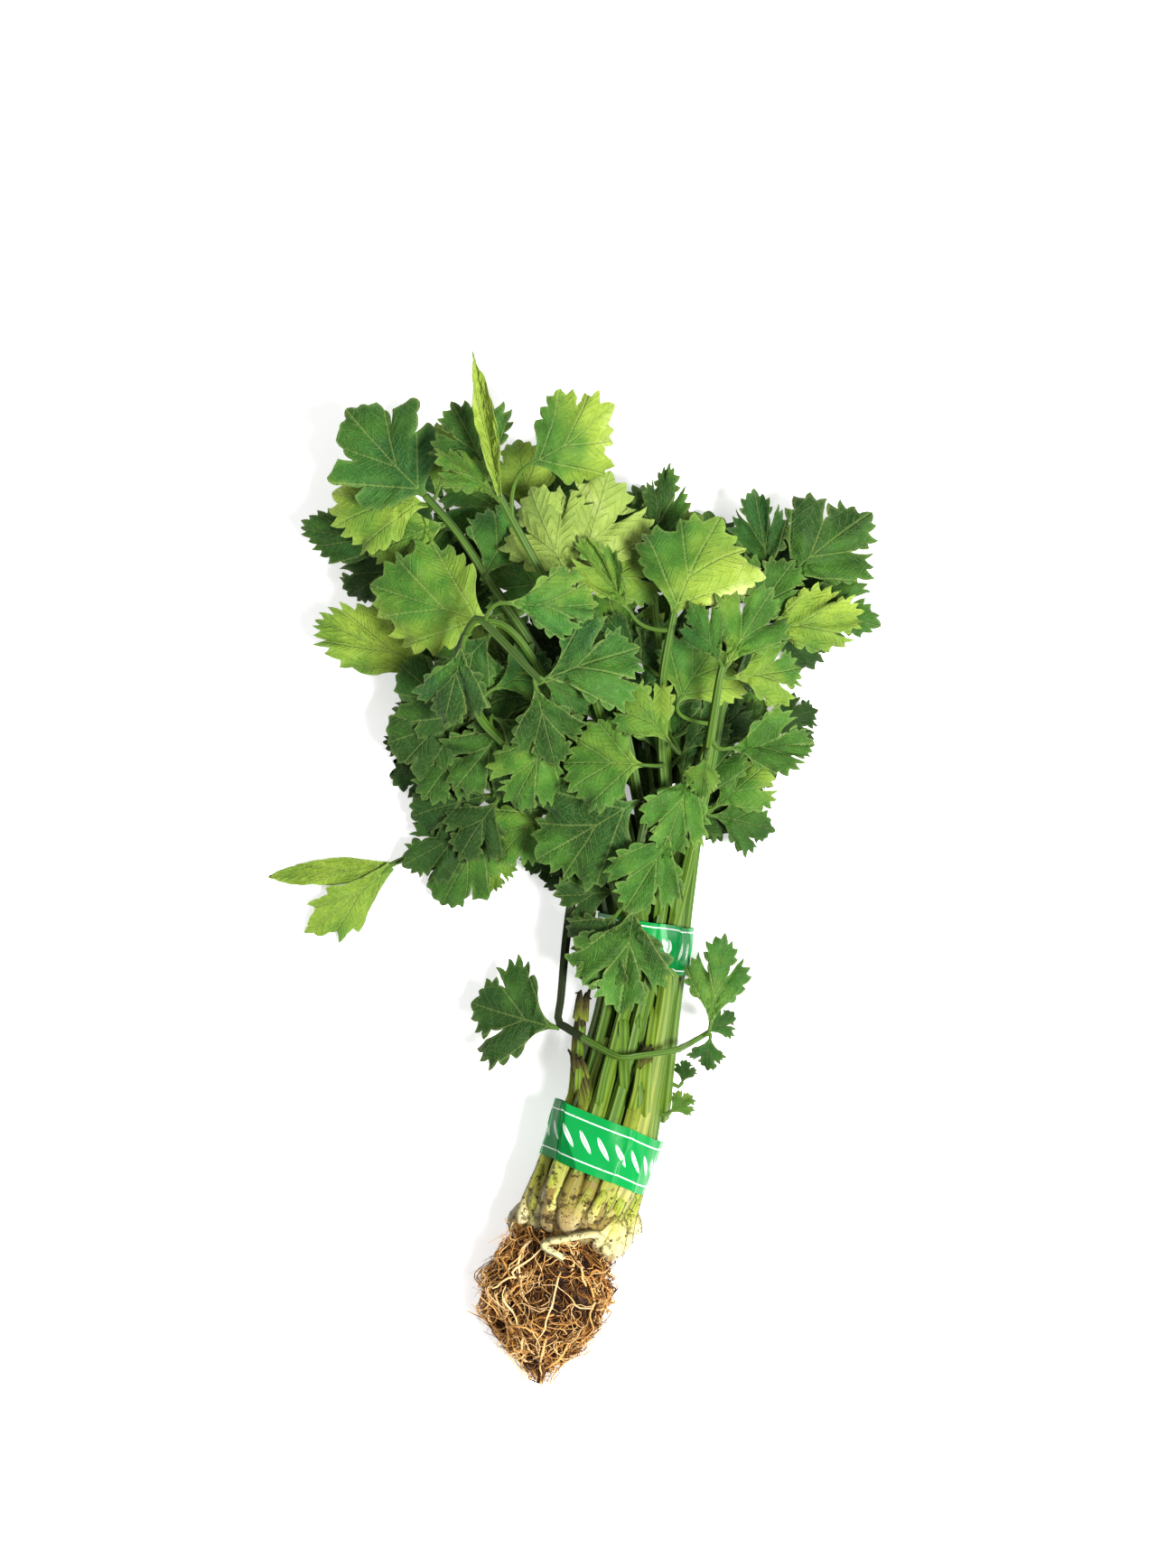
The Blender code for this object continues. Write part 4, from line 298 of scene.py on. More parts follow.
# kind, base, heading, length, pitch, roll, curl, fold, cup, width, wave, where its stem leaves the stalk
LEAFLETS = {
    "leafy_stalk_arching": (
        ("cut", (-11.6, 74.3, 68), 24, 43, 0, -8, 26, 6, 24, 0.9, (0.69, 2, 0.64, -0.12, -0.03), None),
        ("cut", (-14, 74, 68.5), -76, 36, -8, 0, 28, 6, 24, 0.8, (1.22, 1, 0.96, 0, 0.01),
        (-13.5, 76.3, 68.7)),
        ("cut", (-11.6, 75.8, 68.7), -32, 27, -14, 0, 30, 6, 24, 0.6, (1.47, 1, 0.63, -0.05, -0.05),
        (-12.9, 75.7, 68.5)),
        ("cut", (-25.6, 104, 78), -4, 38, 5, 0, 36, 20, 24, 0.75, (1.21, 2, 0.19, 0.06, 0.09),
        (-33, 96.5, 74.2)),
        ("cut", (-40.7, 90.3, 73), 256, 42, -24, 0, 22, 16, 24, 0.65, (0.8, 1.5, 0.88, 0.02, -0.02),
        (-38.8, 92.4, 70.6)),
    ),
    "leafy_stalk_top_spike": (
        ("slender", (-27.3, 145, 66), 100.5, 56, 6, 0, 8, 58, 6, 0.42, (0.7, 1, 0.51, -0.06, 0.05), None),
        ("cut", (-27.8, 143.5, 65.7), 135, 32, 6, 26, 30, 6, 24, 0.6, (0.99, 1.5, 0.82, 0.02, -0.04),
        (-26, 142.6, 65.6)),
        ("cut", (-30.2, 151.8, 58), 118, 34, 4, 0, 16, 6, 24, 1, (0.78, 2, 0.98, -0.09, 0),
        (-24.3, 139.4, 65.1)),
        ("fan", (-15, 157.3, 72), 26, 40, 10, 14, 40, 6, 40, 0.9, (1.25, 2, 0.61, -0.05, 0.08),
        (-22.5, 136.2, 64.6)),
    ),
    "leafy_stalk_right_star": (
        ("cut", (57.4, 80.2, 66), 118, 28, 6, 0, 26, 6, 24, 0.65, (0.8, 1, 0.07, -0.02, -0.05), None),
        ("cut", (58.4, 79, 62.5), 62, 38, 4, 0, 30, 6, 24, 0.8, (0.65, 1.5, 0.37, 0.02, -0.07),
        (56.8, 77.5, 65.6)),
        ("cut", (60.5, 75.9, 61.9), 6, 32, -4, 0, 28, 6, 24, 0.95, (0.96, 1.5, 0.98, 0.04, 0.04),
        (56.9, 78.3, 65.7)),
        ("cut", (57.8, 48.8, 56), 4, 37, 2, 0, 20, 30, 24, 0.75, (1.18, 1, 0.59, 0.1, -0.01),
        (53.2, 54.1, 56.2)),
        ("cut", (51.3, 46.8, 59), 262, 18, -4, 0, 26, 6, 24, 0.8, (0.96, 1.5, 0.96, -0.11, 0.03),
        (52.3, 47.8, 53.5)),
    ),
    "leafy_stalk_round_fan": (
        ("fan", (39.2, 101.2, 58), 70, 43, 16, 0, 48, 6, 34, 1.1, (1.08, 2, 0.31, -0.09, -0.09), None),
        ("cut", (23.4, 99.8, 55), 122, 38, 8, 0, 20, 30, 24, 0.5, (1.05, 1.5, 0.74, 0.1, 0.05),
        (38, 94.2, 56.2)),
        ("fan", (26.2, 42.8, 60), 174, 31, 0, 0, 28, 6, 24, 1.05, (1.3, 1.5, 0.35, 0.04, 0.08),
        (35.1, 43.1, 42.1)),
    ),
    "leafy_stalk_over_band": (
        ("cut", (24.4, -10.2, 44), 262, 44, -4, 0, 4, 10, 34, 0.9, (1.47, 1.5, 0.94, -0.11, 0), None),
        ("cut", (17.8, -14.2, 42), 232, 29, -14, 12, 20, 6, 24, 1, (0.61, 2, 0.38, 0.02, 0.02),
        (24.9, -3, 44.5)),
    ),
    "leafy_stalk_drooping": (
        ("cut", (-6.2, -59.2, 24), 166, 36, 2, 0, 28, 6, 24, 1.3, (0.68, 2, 0.12, -0.06, -0.02),
        (-4.6, -57.4, 24.1)),
        ("cut", (53.4, -59.8, 29.5), 81, 38, 6, 0, 24, 6, 24, 0.66, (0.93, 2, 0.69, -0.01, -0.01),
        (51, -62.2, 27.1)),
        ("plain", (52.3, -61, 27), 34, 14, -10, 0, 20, 6, 24, 1, (1.14, 2, 0.75, -0.11, 0.02),
        (51.7, -61.8, 27.1)),
        ("plain", (53.8, -62.2, 28), 262, 15, -10, 0, 24, 6, 24, 1, (1.08, 1, 0.96, -0.09, 0.06),
        (52.4, -61.4, 27)),
    ),
    "leafy_stalk_left_broad": (
        ("fan", (-32.6, 97.7, 51), 164, 49, 8, 0, 30, 6, 24, 0.85, (1.26, 1.5, 0.26, -0.12, -0.04), None),
        ("cut", (-30.7, 93.3, 50.4), 226, 31, -6, 0, 30, 6, 24, 1, (1.28, 1, 0.52, 0.06, -0.03),
        (-29.8, 97.6, 51.1)),
        ("cut", (-6.2, 57.8, 53), 241, 41, -4, 0, 34, 6, 24, 0.75, (1.53, 1.5, 0.89, -0.04, 0.03),
        (-1.3, 61.6, 42.9)),
        ("cut", (-25.2, 59.3, 40), 235, 36, -6, 0, 30, 6, 24, 1, (0.8, 1.5, 0.8, 0.06, -0.06),
        (-3.9, 66, 43.9)),
    ),
    "leafy_stalk_upper_left": (
        ("fan", (-56.2, 146.3, 46), 136, 46, 6, 0, 28, 6, 24, 0.9, (0.81, 1, 0.58, -0.04, -0.07), None),
        ("fan", (-56.9, 143, 45.8), 174, 41, 1, 0, 34, 6, 24, 0.85, (1.1, 1, 0.71, 0.11, -0.04),
        (-54.4, 144.3, 45.9)),
        ("cut", (-52.1, 146.5, 43.5), 78, 31, 4, 0, 30, 6, 24, 1, (0.77, 1.5, 0.47, 0.1, 0.07),
        (-54.9, 144.9, 45.9)),
        ("cut", (-47.2, 135.8, 44), 196, 36, -4, 0, 30, 6, 24, 1, (0.98, 2, 0.49, -0.04, 0.07),
        (-49.6, 138.8, 45.5)),
        ("plain", (-34.2, 114.8, 44), 62, 33, 0, 0, 26, 6, 24, 1, (1.58, 1.5, 0.32, 0.08, -0.04),
        (-32.6, 115.3, 42.8)),
    ),
    "leafy_stalk_pale_crown": (
        ("cut", (2.4, 111.7, 45), 76, 46, 10, 0, 30, 6, 24, 1, (1.21, 2, 0.71, 0.02, -0.04), None),
        ("cut", (0.8, 110.3, 50.6), 116, 44, 8, 0, 34, 6, 24, 0.9, (1.39, 1, 0.64, -0.02, -0.06),
        (2.5, 109, 45)),
        ("cut", (5.9, 109, 42.8), 34, 33, 4, 0, 22, 6, 24, 1, (1.37, 1.5, 0.24, -0.09, -0.09),
        (2.4, 109.8, 45)),
        ("cut", (-3.2, 105.8, 38), 150, 37, 2, 0, 26, 6, 24, 1, (1.23, 1.5, 0.11, 0.01, 0.03),
        (2.6, 106.1, 45)),
        ("fan", (23.8, 27.8, 47), 210, 47, -2, 0, 30, 6, 24, 0.85, (0.97, 1, 0.68, -0.07, 0),
        (26.1, 28.2, 32.9)),
    ),
    "leafy_stalk_right_broad": (
        ("cut", (81.2, 113.5, 28), 43, 44, 6, 0, 20, 6, 24, 1, (0.78, 1, 0.76, 0.01, -0.09), None),
        ("cut", (77.3, 113.6, 28.7), 100, 38, 6, 0, 20, 6, 24, 0.6, (0.83, 1.5, 0.54, 0.11, 0),
        (78.9, 111.8, 27.9)),
        ("cut", (81.8, 108.3, 28.3), -20, 40, 0, 0, 18, 6, 24, 0.7, (1.6, 1, 0.39, 0.07, 0.08),
        (79.6, 112.3, 27.9)),
        ("cut", (38.8, 17.8, 51), 242, 37, 12, 0, 22, 6, 24, 0.85, (0.69, 2, 0.39, -0.01, -0.06),
        (44.3, 13.7, 31)),
    ),
    "leafy_stalk_right_low": (
        ("cut", (70.7, 94.2, 38), 8, 46, 2, 0, 20, 6, 24, 0.6, (1.49, 1, 0.38, 0.02, 0.08), None),
        ("cut", (68, 96.1, 35.8), 58, 33, 4, 0, 22, 6, 24, 1, (1.4, 1.5, 0.46, 0.04, -0.06),
        (67.9, 93.7, 38)),
        ("fan", (41.3, 67.8, 48), 60, 29, 4, 0, 26, 6, 24, 1.1, (1.32, 2, 0.92, -0.09, -0.05),
        (56.9, 58.5, 37)),
        ("cut", (46.8, 40.8, 47.5), 248, 36, 24, 0, 26, 6, 24, 0.8, (0.99, 1, 0.98, 0.01, 0.06),
        (53.8, 41.4, 35.1)),
        ("plain", (37.8, -92.7, 21), 40, 12, 0, 0, 22, 6, 24, 1, (0.92, 2, 0.86, -0.04, -0.08),
        (32.5, -91.8, 20.2)),
        ("plain", (42.8, -81.2, 20), 75, 10, 0, 0, 22, 6, 24, 1, (1.04, 2, 0.42, -0.05, 0.08),
        (35.3, -77.7, 20.3)),
    ),
    "leafy_stalk_top_middle": (
        ("cut", (31.1, 124, 34), 79, 36, 6, 0, 14, 24, 24, 0.55, (0.82, 1, 0.43, -0.11, 0.01), None),
        ("cut", (29.3, 122.5, 32.3), 121, 33, 4, 0, 22, 6, 24, 1, (1.29, 1, 0.47, 0.12, 0.08),
        (31.2, 121.3, 34.3)),
        ("cut", (34.1, 121.9, 32.1), 46, 25, 2, 0, 22, 6, 24, 1, (1.12, 2, 0.69, 0.11, 0),
        (31.2, 122.1, 34.2)),
        ("cut", (37.8, 50.8, 63.5), 129, 29, 4, 0, 24, 6, 24, 0.95, (1.55, 1, 0.76, -0.01, 0.01),
        (36.2, 56.6, 37.7)),
    ),
    "leafy_stalk_left_yellow": (
        ("long", (-54.3, 79.5, 28), 154, 51, 4, 0, 18, 20, 24, 0.52, (1.43, 2, 0.64, 0.01, 0.07), None),
        ("cut", (-51.4, 81.1, 25.6), 114, 31, 0, 0, 22, 6, 24, 1, (1.16, 1.5, 0.67, 0.11, 0.07),
        (-51.8, 78.3, 28)),
        ("cut", (-51.4, 73.8, 27.7), 246, 30, -6, 0, 22, 6, 24, 1, (1.21, 1.5, 0.85, 0.11, 0),
        (-52.5, 78.7, 28)),
        ("plain", (-6.2, 57.3, 33.5), 116, 32, 4, 12, 24, 6, 24, 1, (1.17, 1, 0.41, -0.09, -0.1),
        (-14.8, 57.4, 28.9)),
    ),
    "leafy_stalk_left_point": (
        ("long", (-67.6, 127.5, 26), 169, 40, 0, 0, 18, 6, 24, 0.56, (0.98, 2, 0.97, 0, -0.02), None),
        ("cut", (-65.8, 123.9, 25.6), 220, 28, -6, 0, 22, 6, 24, 1, (1.4, 2, 0.12, -0.1, -0.07),
        (-64.8, 127.3, 26)),
        ("cut", (-65.1, 129.7, 23.5), 126, 31, 0, 0, 22, 6, 24, 1, (1.53, 1.5, 0.41, 0.11, 0.08),
        (-65.7, 127.3, 26)),
        ("plain", (-16.2, 73.8, 26), 136, 38, -4, 0, 24, 6, 24, 1, (0.87, 1.5, 0.49, -0.04, 0.08),
        (-17.1, 77.5, 26.7)),
    ),
    "leafy_stalk_right_lowest": (
        ("cut", (54.8, 25.8, 20), 40, 30, 10, 0, 26, 6, 24, 0.9, (1.54, 1.5, 0.52, -0.09, -0.02), None),
        ("cut", (54.2, 23.2, 19.6), -8, 27, -6, 0, 24, 6, 24, 1, (0.63, 1.5, 0.13, 0.07, -0.1),
        (52.1, 25, 20)),
        ("cut", (50.9, 27.7, 25.3), 80, 29, 4, 0, 22, 6, 24, 1, (0.79, 1, 0.01, -0.05, 0.04),
        (52.9, 25.2, 20)),
        ("plain", (42.8, 37.8, 29.5), 82, 32, 4, 0, 22, 6, 24, 1, (0.84, 1.5, 0.1, 0.06, -0.08),
        (46.5, 21, 20)),
    ),
    "leafy_stalk_left_dark": (
        ("cut", (-42.4, 59.2, 28), 190, 31, 12, 0, 26, 6, 24, 1.1, (1.11, 1.5, 0.72, 0.05, 0.08), None),
        ("cut", (-40.7, 61.1, 30.5), 145, 33, 14, 0, 22, 6, 24, 1, (0.62, 2, 0.41, 0.01, -0.07),
        (-39.7, 59.9, 28)),
        ("cut", (-39.5, 55.5, 27.6), 238, 33, 0, 0, 22, 6, 24, 1, (0.8, 2, 0.53, -0.07, -0.06),
        (-40.5, 59.7, 28)),
    ),
    "leafy_stalk_left_low": (
        ("cut", (-30.8, 31.2, 20.5), 192, 35, -2, 0, 20, 6, 24, 1, (1.14, 2, 0.86, -0.06, 0.05),
        (-27.4, 32.2, 23)),
        ("cut", (-28.5, 29.5, 25.2), 232, 29, -4, 0, 16, 6, 24, 1, (1.41, 1, 0.32, -0.04, 0.08),
        (-28.1, 32, 23)),
        ("cut", (-29.5, 34.6, 17.7), 150, 31, -4, 0, 22, 6, 24, 1, (0.82, 1, 0.89, -0.09, -0.05),
        (-28.9, 31.8, 23)),
        ("plain", (-10.2, 25.8, 23.5), 222, 29, -4, 0, 22, 6, 24, 1, (1.33, 1.5, 0.39, -0.02, 0.09),
        (-12.1, 32.7, 24.1)),
    ),
    "leafy_stalk_hanging_left": (
        ("cut", (-34, 17.4, 12), 238, 35, -4, 0, 10, 6, 24, 0.85, (1.14, 2, 0.13, -0.02, 0.04), None),
        ("cut", (-34, 19.2, 14.5), 203, 36, 0, 12, 8, 6, 24, 0.8, (0.62, 1, 0.57, -0.03, 0.06),
        (-32, 19.3, 12)),
        ("cut", (-30.6, 16.8, 9.2), 266, 25, -4, 0, 10, 6, 24, 0.75, (0.96, 2, 0.51, 0.06, 0),
        (-32.6, 18.7, 12)),
    ),
    "leafy_stalk_on_the_table": (
        ("slender", (-71.2, 3.8, 6.3), 188, 49, -3.9, 0, 6, 4, 16, 0.36, (1.29, 1, 0.8, 0, -0.1),
        (-67.9, 5.2, 4.5)),
        ("cut", (-72.2, 2.3, 7.8), 221, 42, -4.5, -12, 6, 4, 16, 0.64, (1.36, 2, 0.51, 0.02, -0.07),
        (-68.6, 4.9, 4.5)),
    ),
    "leafy_stalk_back_left": (
        ("plain", (-54.2, 111.7, 16.9), 166, 34, -18.5, 0, 22, 6, 24, 1, (0.78, 1, 0.17, -0.08, -0.04),
        (-50.8, 110.7, 11.9)),
        ("plain", (-51.3, 113.1, 17.1), 112, 36, 0, 0, 22, 6, 24, 1, (1.27, 2, 0.06, 0.11, -0.01),
        (-51.5, 110.9, 12)),
    ),
    "leafy_stalk_back_top": (
        ("plain", (-16.8, 139.2, 24), 100, 32, 4, 0, 22, 6, 24, 1, (1.36, 1.5, 0.39, -0.02, -0.03), None),
        ("plain", (-18.3, 136.8, 23.8), 147, 38, -4, 12, 22, 6, 24, 1, (0.81, 1.5, 0.01, 0.05, 0.07),
        (-15.8, 136.7, 24.1)),
        ("plain", (-12.8, 138, 21.6), 58, 38, 0, 0, 22, 6, 24, 1, (0.78, 1.5, 0.36, -0.03, 0.08),
        (-16.1, 137.4, 24)),
        ("plain", (20.3, 75.8, 33), 96, 37, 4, 0, 22, 6, 24, 1, (1.2, 1, 0.51, -0.12, 0.08),
        (13.3, 73.1, 25)),
    ),
    "leafy_stalk_back_middle": (
        ("plain", (14.2, 119.8, 18), 98, 40, 0, 0, 22, 6, 24, 1, (1.4, 2, 0.88, 0.1, 0.09), None),
        ("plain", (16.7, 118.2, 15.3), 58, 40, -4, 0, 22, 6, 24, 1, (1.17, 1, 0.5, 0.12, 0.06),
        (13.9, 117, 18)),
        ("plain", (29.8, 51.8, 32), 70, 36, 2, -12, 22, 6, 24, 1, (0.86, 1, 0.74, 0.07, 0.06),
        (28.3, 52.3, 19.5)),
    ),
    "leafy_stalk_back_right": (
        ("plain", (53.4, 107.8, 16), 84, 36, 0, 12, 22, 6, 24, 1, (1.01, 1.5, 0.88, 0.05, 0.05), None),
        ("plain", (55.3, 105.5, 18.5), 38, 36, -4, 0, 22, 6, 24, 1, (1.37, 1.5, 0.21, -0.08, 0.06),
        (52.4, 105.2, 15.9)),
        ("plain", (48.3, 64.8, 23.5), 92, 36, 10, 0, 22, 6, 24, 1, (0.9, 1, 0.01, -0.03, 0.03),
        (46.1, 66.6, 19.5)),
    ),
    "leafy_stalk_under_right": (
        ("plain", (71.8, 91.8, 13.7), 8, 34, -12.4, 0, 22, 6, 24, 1, (1.22, 1, 0.27, 0.11, -0.04),
        (68.2, 91.7, 10.9)),
        ("plain", (69.1, 94.4, 5.7), 56, 34, 4, 12, 22, 6, 24, 1, (0.82, 1.5, 0.57, 0.01, -0.02),
        (69, 91.8, 11)),
    ),
    "leafy_stalk_under_left": (
        ("plain", (-43.2, 43.7, 9.9), 190, 31, -7, 0, 22, 6, 24, 1, (1.6, 2, 0.21, -0.09, -0.02), None),
        ("plain", (-41.4, 45.7, 7.8), 142, 29.2, -4, -12, 22, 6, 24, 1, (1.17, 1, 0.62, 0.06, -0.05),
        (-40.5, 43.4, 10.3)),
    ),
    "leafy_stalk_under_right_low": (
        ("plain", (59.8, 45.8, 13.7), -14, 27, -19, 0, 22, 6, 24, 1, (1, 1, 0.76, 0.04, -0.1),
        (56.2, 46, 9.9)),
        ("plain", (57.2, 48.6, 7.3), 52, 30, -2, 0, 22, 6, 24, 1, (0.86, 1.5, 0.91, 0.01, 0),
        (57, 45.9, 10)),
    ),
}

# Half outlines of a leaflet one unit long, from its stem end to its tip: tooth tips with the notches between
# them. The second outline of a kind has a shallower cut beside its middle lobe.
HALF_OUTLINES = {
    "cut": (
        [(0.022, -0.04), (0.035, 0.08), (0.11, 0.20), (0.24, 0.29), (0.37, 0.34), (0.34, 0.40), (0.48, 0.46),
         (0.43, 0.51), (0.55, 0.61), (0.44, 0.62), (0.48, 0.73), (0.38, 0.69), (0.38, 0.80), (0.29, 0.70),
         (0.14, 0.56), (0.17, 0.67), (0.28, 0.75), (0.21, 0.78), (0.26, 0.88), (0.16, 0.86), (0.13, 0.95),
         (0.07, 0.91)],
        [(0.022, -0.04), (0.035, 0.08), (0.11, 0.20), (0.24, 0.29), (0.37, 0.36), (0.34, 0.42), (0.49, 0.49),
         (0.43, 0.54), (0.53, 0.64), (0.42, 0.65), (0.45, 0.76), (0.35, 0.73), (0.34, 0.82), (0.28, 0.75),
         (0.22, 0.67), (0.21, 0.73), (0.29, 0.81), (0.21, 0.83), (0.24, 0.91), (0.15, 0.89), (0.12, 0.96),
         (0.06, 0.93)],
    ),
    "plain": (
        [(0.022, -0.04), (0.04, 0.08), (0.13, 0.22), (0.28, 0.34), (0.42, 0.42), (0.39, 0.48), (0.53, 0.56),
         (0.42, 0.59), (0.47, 0.70), (0.36, 0.68), (0.36, 0.80), (0.24, 0.70), (0.16, 0.62), (0.18, 0.72),
         (0.28, 0.82), (0.19, 0.84), (0.17, 0.94), (0.08, 0.91)],
        [(0.022, -0.04), (0.04, 0.08), (0.13, 0.22), (0.28, 0.34), (0.41, 0.43), (0.38, 0.49), (0.51, 0.59),
         (0.41, 0.62), (0.44, 0.73), (0.34, 0.71), (0.34, 0.82), (0.26, 0.77), (0.22, 0.73), (0.22, 0.79),
         (0.25, 0.87), (0.17, 0.87), (0.15, 0.95), (0.07, 0.92)],
    ),
    "fan": (
        [(0.022, -0.04), (0.05, 0.04), (0.15, 0.12), (0.29, 0.17), (0.42, 0.21), (0.40, 0.27), (0.52, 0.32),
         (0.48, 0.38), (0.58, 0.46), (0.52, 0.50), (0.59, 0.60), (0.50, 0.62), (0.53, 0.73), (0.43, 0.71),
         (0.43, 0.84), (0.33, 0.78), (0.30, 0.92), (0.20, 0.85), (0.17, 0.98), (0.08, 0.90)],
        [(0.022, -0.04), (0.05, 0.04), (0.15, 0.12), (0.29, 0.18), (0.43, 0.24), (0.39, 0.30), (0.51, 0.35),
         (0.46, 0.41), (0.58, 0.50), (0.49, 0.54), (0.55, 0.65), (0.46, 0.66), (0.47, 0.78), (0.36, 0.73),
         (0.27, 0.66), (0.27, 0.74), (0.35, 0.85), (0.24, 0.84), (0.23, 0.94), (0.12, 0.90)],
    ),
    "long": (
        [(0.022, -0.04), (0.10, 0.08), (0.24, 0.20), (0.38, 0.34), (0.50, 0.48), (0.47, 0.54), (0.54, 0.63),
         (0.44, 0.65), (0.46, 0.75), (0.36, 0.74), (0.38, 0.85), (0.26, 0.81), (0.25, 0.92), (0.15, 0.87),
         (0.12, 0.97), (0.06, 0.93)],
        [(0.022, -0.04), (0.09, 0.08), (0.22, 0.20), (0.35, 0.34), (0.46, 0.48), (0.43, 0.54), (0.50, 0.65),
         (0.40, 0.68), (0.41, 0.78), (0.32, 0.77), (0.33, 0.87), (0.23, 0.84), (0.21, 0.94), (0.13, 0.90),
         (0.11, 0.98), (0.05, 0.95)],
    ),
    "slender": (
        [(0.05, -0.04), (0.10, 0.06), (0.17, 0.16), (0.25, 0.28), (0.30, 0.42), (0.30, 0.54), (0.26, 0.66),
         (0.20, 0.78), (0.15, 0.86), (0.08, 0.94)],
        [(0.05, -0.04), (0.09, 0.06), (0.15, 0.16), (0.23, 0.28), (0.28, 0.42), (0.29, 0.54), (0.24, 0.66),
         (0.18, 0.78), (0.12, 0.88), (0.06, 0.95)],
    ),
    "round": (
        [(0.022, -0.04), (0.05, 0.05), (0.17, 0.10), (0.30, 0.12), (0.34, 0.16), (0.45, 0.19), (0.45, 0.26),
         (0.54, 0.32), (0.47, 0.41), (0.34, 0.42), (0.44, 0.46), (0.47, 0.53), (0.56, 0.58), (0.55, 0.68),
         (0.45, 0.72), (0.38, 0.76), (0.23, 0.62), (0.31, 0.74), (0.28, 0.81), (0.29, 0.90), (0.19, 0.91),
         (0.14, 0.97), (0.07, 0.95)],
        [(0.022, -0.04), (0.05, 0.05), (0.17, 0.10), (0.31, 0.14), (0.36, 0.18), (0.46, 0.22), (0.46, 0.29),
         (0.53, 0.36), (0.46, 0.44), (0.36, 0.45), (0.44, 0.50), (0.46, 0.57), (0.54, 0.62), (0.52, 0.71),
         (0.42, 0.74), (0.35, 0.77), (0.26, 0.68), (0.31, 0.78), (0.28, 0.84), (0.27, 0.92), (0.18, 0.93),
         (0.13, 0.98), (0.06, 0.96)],
    ),
    "finger": (
        [(0.07, -0.04), (0.13, 0.12), (0.22, 0.28), (0.34, 0.46), (0.46, 0.62), (0.34, 0.62), (0.36, 0.70),
         (0.38, 0.82), (0.26, 0.77), (0.21, 0.82), (0.15, 0.90), (0.09, 0.93)],
        [(0.07, -0.04), (0.12, 0.12), (0.18, 0.28), (0.28, 0.44), (0.40, 0.57), (0.30, 0.58), (0.31, 0.66),
         (0.34, 0.80), (0.23, 0.75), (0.18, 0.80), (0.13, 0.90), (0.07, 0.93)],
    ),
}
OWN_OUTLINES = {
    ("leafy_stalk_on_the_table", 1): "finger",
    ("leafy_stalk_upper_left", 0): "round",
    ("leafy_stalk_left_dark", 0): "round",
    ("leafy_stalk_left_dark", 1): "round",
    ("leafy_stalk_hanging_left", 0): "round",
    ("leafy_stalk_top_middle", 1): "round",
}
# Half width of an outline, the length that waves and veins are sized for, and how calm the narrow kinds are
HALF_WIDTH = 0.52
USUAL_LENGTH = 40.0
CALM = {"slender": 0.25, "finger": 0.5, "long": 0.7}

# Leaflets that hang a little lower, and how the tint drifts across a leaflet and from its stem to its tip,
# partly the leaflet's own colour and partly painted light and shade across it
LOWERED = {("leafy_stalk_upper_left", 1): 2.5}
DRIFTS = {
    ("leafy_stalk_round_fan", 0): (-0.95, 0.1),
    ("leafy_stalk_top_spike", 3): (-0.1, 0.9),
    ("leafy_stalk_upper_left", 0): (0.45, 0.0),
    ("leafy_stalk_left_low", 2): (0.0, 0.5),
    ("leafy_stalk_top_middle", 0): (-0.5, 0.1),
    ("leafy_stalk_left_broad", 0): (0.25, -0.3),
    ("leafy_stalk_on_the_table", 0): (0.0, 0.3),
}

# Main veins of half a leaflet: where each leaves the midrib, and its direction. Then how much further off a
# place behind a vein's start counts, and the step and slant of the side veins.
MAIN_VEINS = [((0.0, 0.0), (0.0, 1.0)), ((0.0, 0.08), (0.70, 0.714)), ((0.0, 0.34), (0.50, 0.866))]
BEHIND_VEIN = 5.0
SIDE_VEIN_STEP = 0.085
SIDE_VEIN_SLANT = 1.15

# How yellow each leaflet is, from 0, deep green, to 1, bright yellow-green, and which show their underside.
# A leaflet's tint is partly its own colour and partly painted light and shade: paler where lit, deeper where
# shaded
TINTS = {
    "leafy_stalk_arching": (0.18, 0.05, 0.15, 0.45, -0.12),
    "leafy_stalk_top_spike": (0.88, 0.58, 0.12, 0.62),
    "leafy_stalk_right_star": (0.20, 0.38, 0.50, 0.46, 0.55),
    "leafy_stalk_round_fan": (0.66, 0.50, 0.42),
    "leafy_stalk_over_band": (0.20, 0.05),
    "leafy_stalk_drooping": (0.08, 0.36, 0.22, 0.20),
    "leafy_stalk_left_broad": (0.72, 0.12, 0.42, 0.16),
    "leafy_stalk_upper_left": (0.18, 0.80, 0.62, 0.60, 0.24),
    "leafy_stalk_pale_crown": (0.92, 0.75, 0.68, 0.45, 0.14),
    "leafy_stalk_right_broad": (0.14, 0.02, 0.15, 0.42),
    "leafy_stalk_right_low": (0.72, 0.25, 0.60, 0.42, 0.50, 0.10),
    "leafy_stalk_top_middle": (0.02, 0.20, 0.36, 0.60),
    "leafy_stalk_left_yellow": (0.66, 0.10, 0.16, 0.25),
    "leafy_stalk_left_point": (0.16, -0.10, 0.40, 0.36),
    "leafy_stalk_right_lowest": (0.46, 0.26, 0.34, 0.20),
    "leafy_stalk_left_dark": (0.12, -0.02, 0.18),
    "leafy_stalk_left_low": (-0.25, -0.20, 0.36, 0.52),
    "leafy_stalk_hanging_left": (0.40, 0.08, 0.58),
    "leafy_stalk_on_the_table": (0.66, 0.58),
    "leafy_stalk_back_top": (0.72, 0.52, 0.30, 0.52),
    "leafy_stalk_back_left": (-0.05, 0.30),
    "leafy_stalk_under_right_low": (0.24, 0.40),
}
DEFAULT_TINTS = (0.16, 0.24, 0.12, 0.3)
TURNED = {("leafy_stalk_pale_crown", 0), ("leafy_stalk_pale_crown", 1)}

# How yellow the stalks are, and the withered stem that hangs beside the bundle: its stalk, the plan corner
# that it lies left of and below, and its tint
STALK_TINTS = (-0.8, -0.5, -0.5, -0.2, 0.1, 0.5)
HANGING = "leafy_stalk_drooping"
HANGING_X = 4.0
HANGING_Y = 10.0
WITHERED = -2.0

